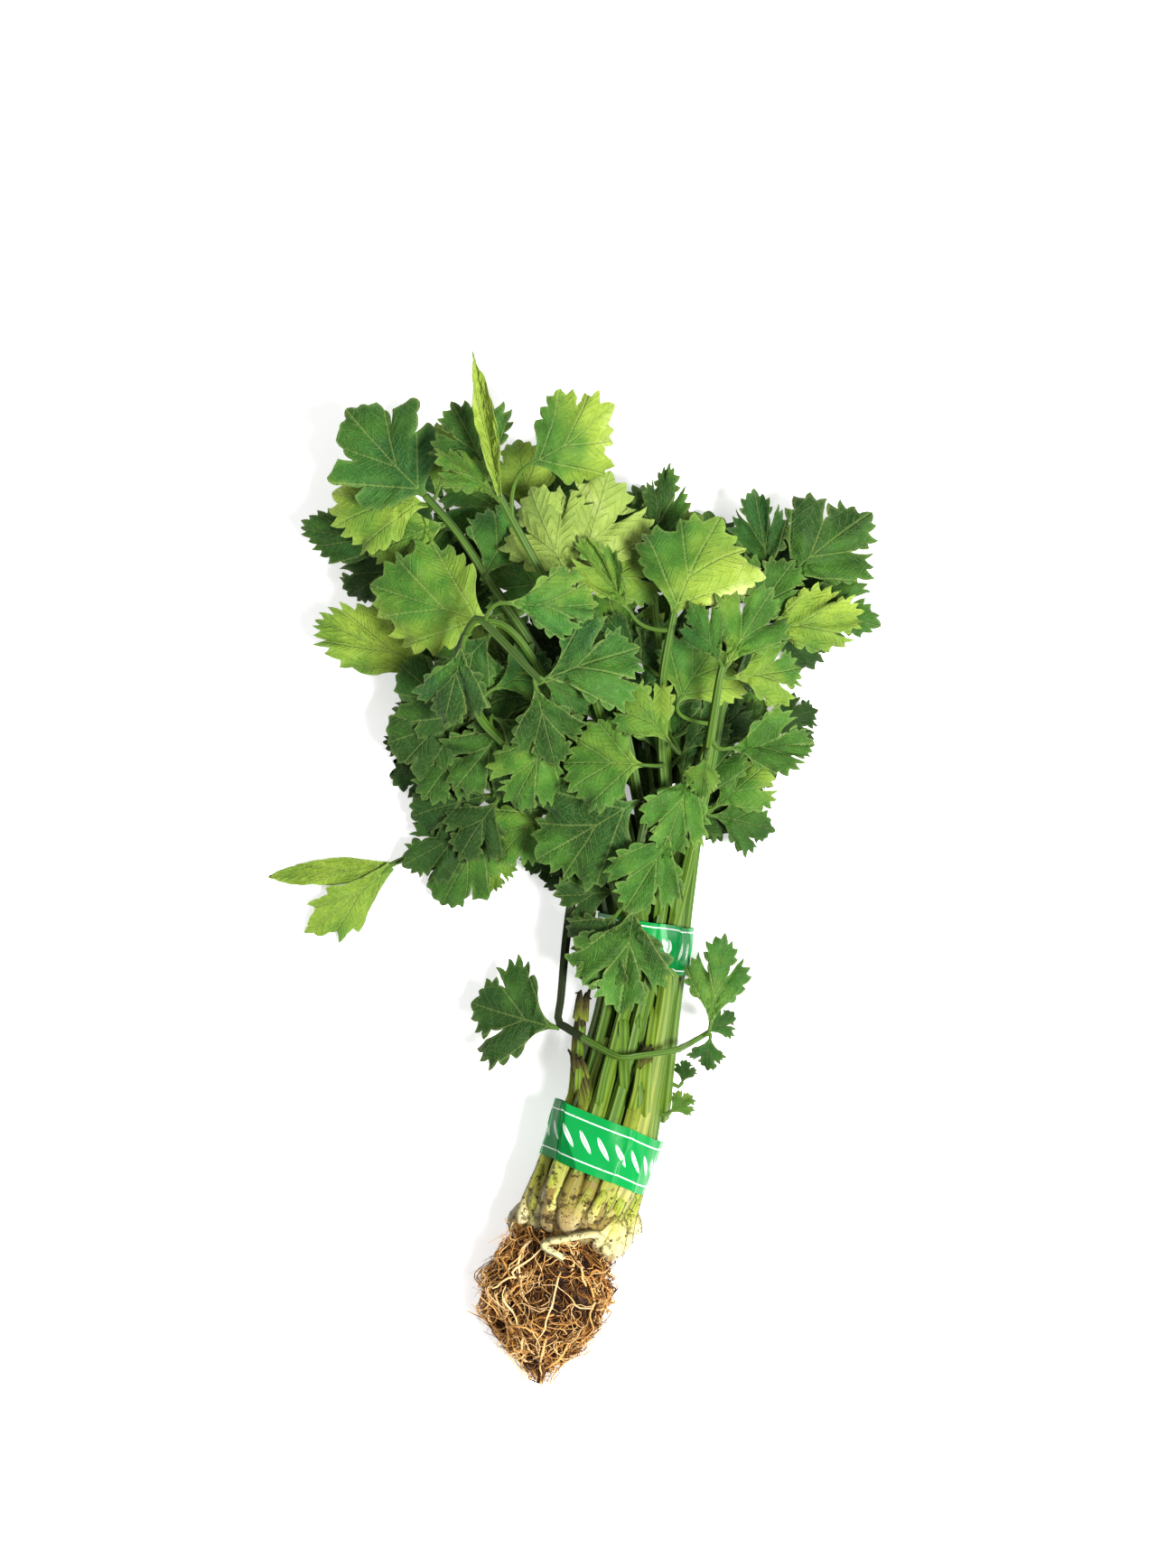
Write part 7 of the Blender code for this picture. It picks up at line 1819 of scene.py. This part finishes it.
def root_paths(count, fine, rng):
    """Lines of roots that wander over the root mass, each with a tint and a thickness."""
    length = float(np.linalg.norm(np.array(ROOT_TIP) - np.array(ROOT_TOP)))
    paths = []
    for order in range(count):
        hanging = not fine and order < count // 9
        angle = rng.uniform(0, 2 * math.pi)
        share = rng.random() * 0.98 - 0.06
        course = rng.uniform(-math.pi, math.pi)
        steps, step, waver = (11, 1.5, 0.5) if fine else (rng.randrange(9, 15), 1.9, 0.40)
        if hanging:
            share, course = rng.uniform(-0.06, 0.7), rng.gauss(0.0, 0.3)
            steps, step, waver = rng.randrange(9, 16), 2.7, 0.25
        bend = rng.gauss(0.0, 0.22 if fine else 0.16)
        depth = rng.random() ** 0.8
        lift, phase = 1.6 - 6.5 * depth, rng.uniform(0, 6)
        stands = rng.random() < (0.3 if fine else 0.1)
        # Painted shade: the deeper a root lies in the tangle, the darker its tint
        tint = rng.gauss(0.74, 0.24) - 0.8 * depth + (0.15 if hanging and depth < 0.3 else 0.0)
        tint = min(1.0, max(0.0, tint))
        line = []
        shade = 0.0
        for k in range(steps):
            t = k / (steps - 1)
            proud = lift + 1.5 * math.sin(5.0 * t + phase) - (2.5 if k == 0 else 0.0)
            pit = max(0.0, math.sin(5 * angle + 2.0) * math.sin(15 * share + 1.0))
            proud -= 4.2 * pit
            shade += pit / steps
            if stands:
                proud += 4.2 * t**2
            point = root_surface(share, angle, proud)
            point[2] = max(point[2], 0.6)
            line.append(point)
            course += bend + rng.gauss(0.0, waver)
            if hanging:
                course *= 0.8
            share += step * math.cos(course) / length
            angle += step * math.sin(course) / max(9.0, root_radius(share))
            if share > 1.04 or share < -0.08:
                course += 1.6
            share = min(max(share, -0.1), 1.07)
        bulk = rng.uniform(*((0.7, 1.4) if hanging else (0.55, 1.25)))
        # Painted shade: a root darkens for the share of its run that lies in the pits
        paths.append((np.array(line), max(0.0, tint - 0.4 * shade), bulk))
    return paths


def node_tree(name, numbers, kinds, links, material):
    """A Geometry Nodes tree over one mesh, with named number inputs, that ends by making its result real and
    giving it its material. Each node has a kind, settings and input values, and each link reads
    "node.output > node.input"."""
    tree = bpy.data.node_groups.new(name, "GeometryNodeTree")
    tree.interface.new_socket("Geometry", in_out="INPUT", socket_type="NodeSocketGeometry")
    inputs = {}
    for key, kind in numbers.items():
        inputs[key] = tree.interface.new_socket(key, in_out="INPUT", socket_type=kind).identifier
    tree.interface.new_socket("Geometry", in_out="OUTPUT", socket_type="NodeSocketGeometry")
    kinds = {
        **kinds,
        "in": ("NodeGroupInput", {}, {}),
        "real": ("GeometryNodeRealizeInstances", {}, {}),
        "finish": ("GeometryNodeSetMaterial", {}, {"Material": material}),
        "out": ("NodeGroupOutput", {}, {}),
    }
    nodes = {}
    for key, (kind, settings, values) in kinds.items():
        node = nodes[key] = tree.nodes.new(kind)
        for setting, value in settings.items():
            setattr(node, setting, value)
        for socket, value in values.items():
            node.inputs[socket].default_value = value
    for link in (*links, "real.Geometry > finish.Geometry", "finish.Geometry > out.Geometry"):
        (source, output), (target, socket) = (end.split(".") for end in link.split(" > "))
        tree.links.new(nodes[source].outputs[output], nodes[target].inputs[socket])
    return tree, inputs


def through_tree(obj, tree, inputs, **values):
    """Puts an object's mesh through a tree with its inputs set, and leaves the result as a plain mesh."""
    modifier = obj.modifiers.new(tree.name, "NODES")
    modifier.node_group = tree
    for key, value in values.items():
        modifier[inputs[key]] = value
    graph = bpy.context.evaluated_depsgraph_get()
    grown = bpy.data.meshes.new_from_object(obj.evaluated_get(graph))
    obj.modifiers.clear()
    obj.data = grown
    return obj


def curve_tree(name, material, sides):
    """Node tree that sweeps a round section along every edge path, as thick as its own thickness value."""
    kinds = {
        "curve": ("GeometryNodeMeshToCurve", {}, {}),
        "circle": ("GeometryNodeCurvePrimitiveCircle", {}, {"Resolution": sides}),
        "thickness": ("GeometryNodeInputNamedAttribute", {"data_type": "FLOAT"}, {"Name": "thickness"}),
        "skin": ("GeometryNodeCurveToMesh", {}, {"Fill Caps": True}),
        "smooth": ("GeometryNodeSetShadeSmooth", {}, {}),
    }
    links = (
        "in.Geometry > curve.Mesh",
        "in.Radius > circle.Radius",
        "curve.Curve > skin.Curve",
        "circle.Curve > skin.Profile Curve",
        "thickness.Attribute > skin.Scale",
        "skin.Mesh > smooth.Geometry",
        "smooth.Geometry > real.Geometry",
    )
    return node_tree(name, {"Radius": "NodeSocketFloat"}, kinds, links, material)


def grow_paths(name, paths, radius, sides, material):
    """Turns lines into closed round roots through the curve tree, as one plain mesh."""
    mesh = bpy.data.meshes.new(name + "_lines")
    points, edges, tints, thick = [], [], [], []
    for line, tint, bulk in paths:
        first = len(points)
        points += (line * MM).tolist()
        edges += [(first + k, first + k + 1) for k in range(len(line) - 1)]
        tints += [tint] * len(line)
        thick += (bulk * np.interp(np.linspace(0, 1, len(line)), (0, 0.2, 1.0), (1.0, 1.0, 0.35))).tolist()
    mesh.from_pydata(points, edges, [])
    for key, values in (("tint", tints), ("thickness", thick)):
        mesh.attributes.new(key, "FLOAT", "POINT").data.foreach_set("value", values)
    return through_tree(placed(name, mesh), *curve_tree(name + "_sweep", material, sides), Radius=radius)


def grain_tree(material):
    """Node tree that strews small lumps over a surface and keeps only the lumps."""
    numbers = {"Density": "NodeSocketFloat", "Size": "NodeSocketFloat", "Seed": "NodeSocketInt"}
    vector = {"data_type": "FLOAT_VECTOR"}
    kinds = {
        "strew": ("GeometryNodeDistributePointsOnFaces", {}, {}),
        "lump": ("GeometryNodeMeshIcoSphere", {}, {"Subdivisions": 1}),
        "place": ("GeometryNodeInstanceOnPoints", {}, {}),
        "turn": ("FunctionNodeRandomValue", vector, {"Max": (math.pi, math.pi, math.pi)}),
        "grow": ("FunctionNodeRandomValue", vector, {"Min": (0.4, 0.4, 0.3), "Max": (1.4, 1.2, 0.9)}),
    }
    links = (
        "in.Geometry > strew.Mesh",
        "in.Density > strew.Density",
        "in.Seed > strew.Seed",
        "in.Size > lump.Radius",
        "strew.Points > place.Points",
        "lump.Mesh > place.Instance",
        "turn.Value > place.Rotation",
        "grow.Value > place.Scale",
        "place.Instances > real.Geometry",
    )
    return node_tree("soil_grains", numbers, kinds, links, material)


def strew_grains(name, surface, count, radius, seed, material):
    """Small lumps strewn over a finished piece, as a plain mesh of their own."""
    grains = placed(name, surface.data.copy())
    area = sum(face.area for face in surface.data.polygons)
    return through_tree(grains, *grain_tree(material), Density=count / area, Size=radius, Seed=seed)


def root_core(rings=44, sides=56):
    """Points and faces of the rough lump of soil inside the root mass."""
    rng = random.Random(21)
    phase = [rng.uniform(0, 6) for _ in range(6)]
    top, tip = np.array(ROOT_TOP), np.array(ROOT_TIP)
    points = [top]
    for ring in range(rings):
        share = ring / (rings - 1)
        for k in range(sides):
            angle = 2 * math.pi * k / sides
            rough = 0.8 * math.sin(7 * angle + 11 * share + phase[0])
            rough += 0.6 * math.sin(13 * angle - 17 * share + phase[1])
            rough += 0.5 * math.sin(23 * angle + 31 * share + phase[2])
            points.append(root_surface(share, angle, rough - CORE_DEPTH))
    points.append(tip + (tip - top) * 0.03)
    faces = [(0, 1 + (k + 1) % sides, 1 + k) for k in range(sides)]
    for ring in range(rings - 1):
        for k in range(sides):
            a, b = 1 + ring * sides + k, 1 + ring * sides + (k + 1) % sides
            faces.append((a, b, b + sides, a + sides))
    last = 1 + (rings - 1) * sides
    faces += [(last + k, last + (k + 1) % sides, len(points) - 1) for k in range(sides)]
    return np.array(points), faces


class CELERY_OT_roots(bpy.types.Operator):
    """Build the soil core and the tangle of roots over it"""

    bl_idname = "celery.roots"
    bl_label = "Roots"

    def execute(self, context):
        root = context.scene.celery_root
        points, faces = root_core()
        shape = Shape()
        shape.add(points, faces, np.zeros((len(points), 2)), 0)
        core = shape.build("root_core_soil", [soil_material()], lowest=SOIL_LOWEST)
        outward(core)
        settle(core, "root_mass")
        fibre = root_material(root)
        rng = random.Random(22)
        for name, count, fine, radius, sides in (
            ("root_strands", root.strands, False, root.strand_radius, 6),
            ("root_hairs", root.hairs, True, root.hair_radius, 4),
        ):
            settle(grow_paths(name, root_paths(count, fine, rng), radius, sides, fibre), None)
        return {"FINISHED"}


def outward(obj):
    """Recalculates a closed mesh's normals so that they point outwards."""
    edit = bmesh.new()
    edit.from_mesh(obj.data)
    bmesh.ops.recalc_face_normals(edit, faces=edit.faces)
    edit.to_mesh(obj.data)
    edit.free()


def band_ring(spec, offset):
    """Points round the stalks that a band lies on, at an offset along its axis."""
    centre, axis, side, up = (np.array(spec[key]) for key in ("centre", "axis", "side", "up"))
    seen = []
    for rows in STALK_LINES.values():
        rows = np.array(rows)
        for a, b in zip(rows, rows[1:]):
            for share in np.linspace(0, 1, max(2, round(np.linalg.norm((b - a)[:3]) / 1.5))):
                row = a + (b - a) * share
                along = np.dot(row[:3] - centre, axis)
                out = row[:3] - centre - along * axis
                here = abs(along - offset) < spec["width"] / 2 + 1.0
                if here and np.linalg.norm(out) < 1.2 * spec["radius"]:
                    seen.append((np.dot(out, side), np.dot(out, up), row[3]))
    seen = np.array(seen)
    ring = []
    for k in range(BAND_STEPS):
        angle = 2 * math.pi * k / BAND_STEPS
        normal = np.array([math.cos(angle), math.sin(angle)])
        best = seen[int(np.argmax(seen[:, :2] @ normal + seen[:, 2]))]
        ring.append(best[:2] + best[2] * normal)
    return np.array(ring)


def band_points(spec, start, end, film):
    """One layer of a band from one angle to another: inner and outer points row by row."""
    centre, axis, side, up = (np.array(spec[key]) for key in ("centre", "axis", "side", "up"))
    outlines = []
    for at in (band_ring(spec, -spec["width"] / 2), band_ring(spec, spec["width"] / 2)):
        for _ in range(6):
            at = (np.roll(at, 1, axis=0) + 2 * at + np.roll(at, -1, axis=0)) / 4
        outlines.append(at)
    steps = np.arange(start, end + 1)
    inner, outer, uvs = [], [], []
    for row in range(BAND_ROWS + 1):
        share = row / BAND_ROWS
        arc = 0.0
        last = None
        for k in steps:
            place = (k + spec["skew"] * (share - 0.5)) % BAND_STEPS
            low = int(place)
            part = place - low
            at = [o[low % BAND_STEPS] * (1 - part) + o[(low + 1) % BAND_STEPS] * part for o in outlines]
            at = at[0] * (1 - share) + at[1] * share
            angle = 2 * math.pi * place / BAND_STEPS
            normal = np.array([math.cos(angle), math.sin(angle)])
            wrinkle = 0.30 * math.sin(9 * angle + 5 * share) * math.sin(math.pi * share) ** 0.5
            wrinkle += 0.16 * math.sin(23 * angle - 7 * share + 1.3)
            out = BAND_GAP + 0.35 + wrinkle * 0.8
            flat = at + normal * out
            if last is not None:
                arc += float(np.linalg.norm(flat - last))
            last = flat
            along = (share - 0.5) * spec["width"] + 0.25 * math.sin(5 * angle + 2.0)
            base = centre + axis * along
            for sheet, more in ((inner, 0.0), (outer, film)):
                a, b = at + normal * (out + more)
                sheet.append(base + side * a + up * b)
            uvs.append((arc, (share - 0.5) * spec["width"]))
    return np.array(inner), np.array(outer), np.array(uvs), len(steps)


def film_sheet(inner, outer, uvs, columns):
    """A closed thin sheet from its inner and outer points."""
    rows = BAND_ROWS + 1
    count = rows * columns
    points = np.vstack([inner, outer])
    faces = []
    for row in range(rows - 1):
        for k in range(columns - 1):
            a, b = row * columns + k, row * columns + k + 1
            faces.append((a, b, b + columns, a + columns))
            faces.append((a + count, a + columns + count, b + columns + count, b + count))
    border = list(range(columns)) + [row * columns + columns - 1 for row in range(1, rows)]
    border += [(rows - 1) * columns + k for k in range(columns - 2, -1, -1)]
    border += [row * columns for row in range(rows - 2, 0, -1)]
    for a, b in zip(border, border[1:] + border[:1]):
        faces.append((b, a, a + count, b + count))
    return points, faces, np.vstack([uvs, uvs])


class CELERY_OT_bands(bpy.types.Operator):
    """Build the two green binding bands with their laps"""

    bl_idname = "celery.bands"
    bl_label = "Bands"

    def execute(self, context):
        band = context.scene.celery_band
        material = band_material(band)
        for name, spec in BANDS.items():
            start, end = spec["lap"]
            shape = Shape()
            shape.add(*film_sheet(*band_points(spec, start, end + BAND_STEPS, band.film / MM)), 0)
            obj = shape.build(name + "_film", [material], sharp=40.0)
            outward(obj)
            settle(obj, name)
        return {"FINISHED"}


class CELERY_OT_stage(bpy.types.Operator):
    """Set the floor, the lights and the camera"""

    bl_idname = "celery.stage"
    bl_label = "Stage"

    def execute(self, context):
        scene, stage = context.scene, context.scene.celery_stage
        mesh = bpy.data.meshes.new("floor")
        corners = [(x * FLOOR_HALF, y * FLOOR_HALF, 0) for x, y in ((-1, -1), (1, -1), (1, 1), (-1, 1))]
        mesh.from_pydata(corners, [], [(0, 1, 2, 3)])
        w = Wiring("pale_floor")
        w.feed(w.shader.inputs["Base Color"], w.mix(w.noise(6.0), "floor_dark", "floor_light"))
        w.feed(w.shader.inputs["Roughness"], 0.9)
        w.feed(w.shader.inputs["Emission Color"], paint("white"))
        w.feed(w.shader.inputs["Emission Strength"], FLOOR_GLOW)
        mesh.materials.append(w.material)
        placed("floor", mesh)
        world = scene.world = bpy.data.worlds.new("studio")
        world.use_nodes = True
        background = world.node_tree.nodes["Background"].inputs
        background["Color"].default_value = paint("white")
        background["Strength"].default_value = WORLD_STRENGTH
        centre = Vector((CAMERA_X, CAMERA_Y, LOOK_HEIGHT))
        for name, place, size, power in LIGHTS:
            light = bpy.data.lights.new(name, "AREA")
            light.size = size
            light.energy = power
            lamp = placed(name, light)
            lamp.location = place
            lamp.rotation_euler = (centre - lamp.location).to_track_quat("-Z", "Y").to_euler()
        lens = bpy.data.cameras.new("camera")
        lens.lens = stage.focal_length
        lens.sensor_width = SENSOR_WIDTH
        lens.clip_end = 20.0
        scene.camera = placed("camera", lens)
        distance = stage.view_height * stage.focal_length / SENSOR_WIDTH
        scene.camera.location = (CAMERA_X, CAMERA_Y, distance + LOOK_HEIGHT)
        scene.view_settings.view_transform = "Standard"
        scene.view_settings.look = "None"
        return {"FINISHED"}


class VIEW3D_PT_celery(bpy.types.Panel):
    """The pieces of the bunch, one button each"""

    bl_label = "Celery Bunch"
    bl_space_type = "VIEW_3D"
    bl_region_type = "UI"
    bl_category = "Celery"

    def draw(self, context):
        for operator in OPERATORS:
            self.layout.operator(operator.bl_idname)
        for group in SETTINGS:
            settings = getattr(context.scene, group)
            for key in settings.bl_rna.properties.keys():
                if key not in ("rna_type", "name"):
                    self.layout.prop(settings, key)


OPERATORS = (
    CELERY_OT_leafy_stalks,
    CELERY_OT_thin_stalks,
    CELERY_OT_old_stalks,
    CELERY_OT_crowns,
    CELERY_OT_roots,
    CELERY_OT_bands,
    CELERY_OT_stage,
)
SETTINGS = {
    "celery_leaf": CeleryLeafSettings,
    "celery_stalk": CeleryStalkSettings,
    "celery_root": CeleryRootSettings,
    "celery_band": CeleryBandSettings,
    "celery_stage": CeleryStageSettings,
}


def register():
    for settings in SETTINGS.values():
        bpy.utils.register_class(settings)
    for key, settings in SETTINGS.items():
        setattr(bpy.types.Scene, key, bpy.props.PointerProperty(type=settings))
    for operator in OPERATORS:
        bpy.utils.register_class(operator)
    bpy.utils.register_class(VIEW3D_PT_celery)


def unregister():
    bpy.utils.unregister_class(VIEW3D_PT_celery)
    for operator in OPERATORS:
        bpy.utils.unregister_class(operator)
    for key, settings in SETTINGS.items():
        delattr(bpy.types.Scene, key)
        bpy.utils.unregister_class(settings)


def main():
    """Builds every piece and the stage."""
    register()
    for obj in [o for o in bpy.data.objects if o.type in ("LIGHT", "CAMERA") or o.name == "Cube"]:
        bpy.data.objects.remove(obj)
    bpy.ops.celery.leafy_stalks()
    bpy.ops.celery.thin_stalks()
    bpy.ops.celery.old_stalks()
    bpy.ops.celery.crowns()
    bpy.ops.celery.roots()
    bpy.ops.celery.bands()
    bpy.ops.celery.stage()
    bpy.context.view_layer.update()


if __name__ == "__main__":
    main()
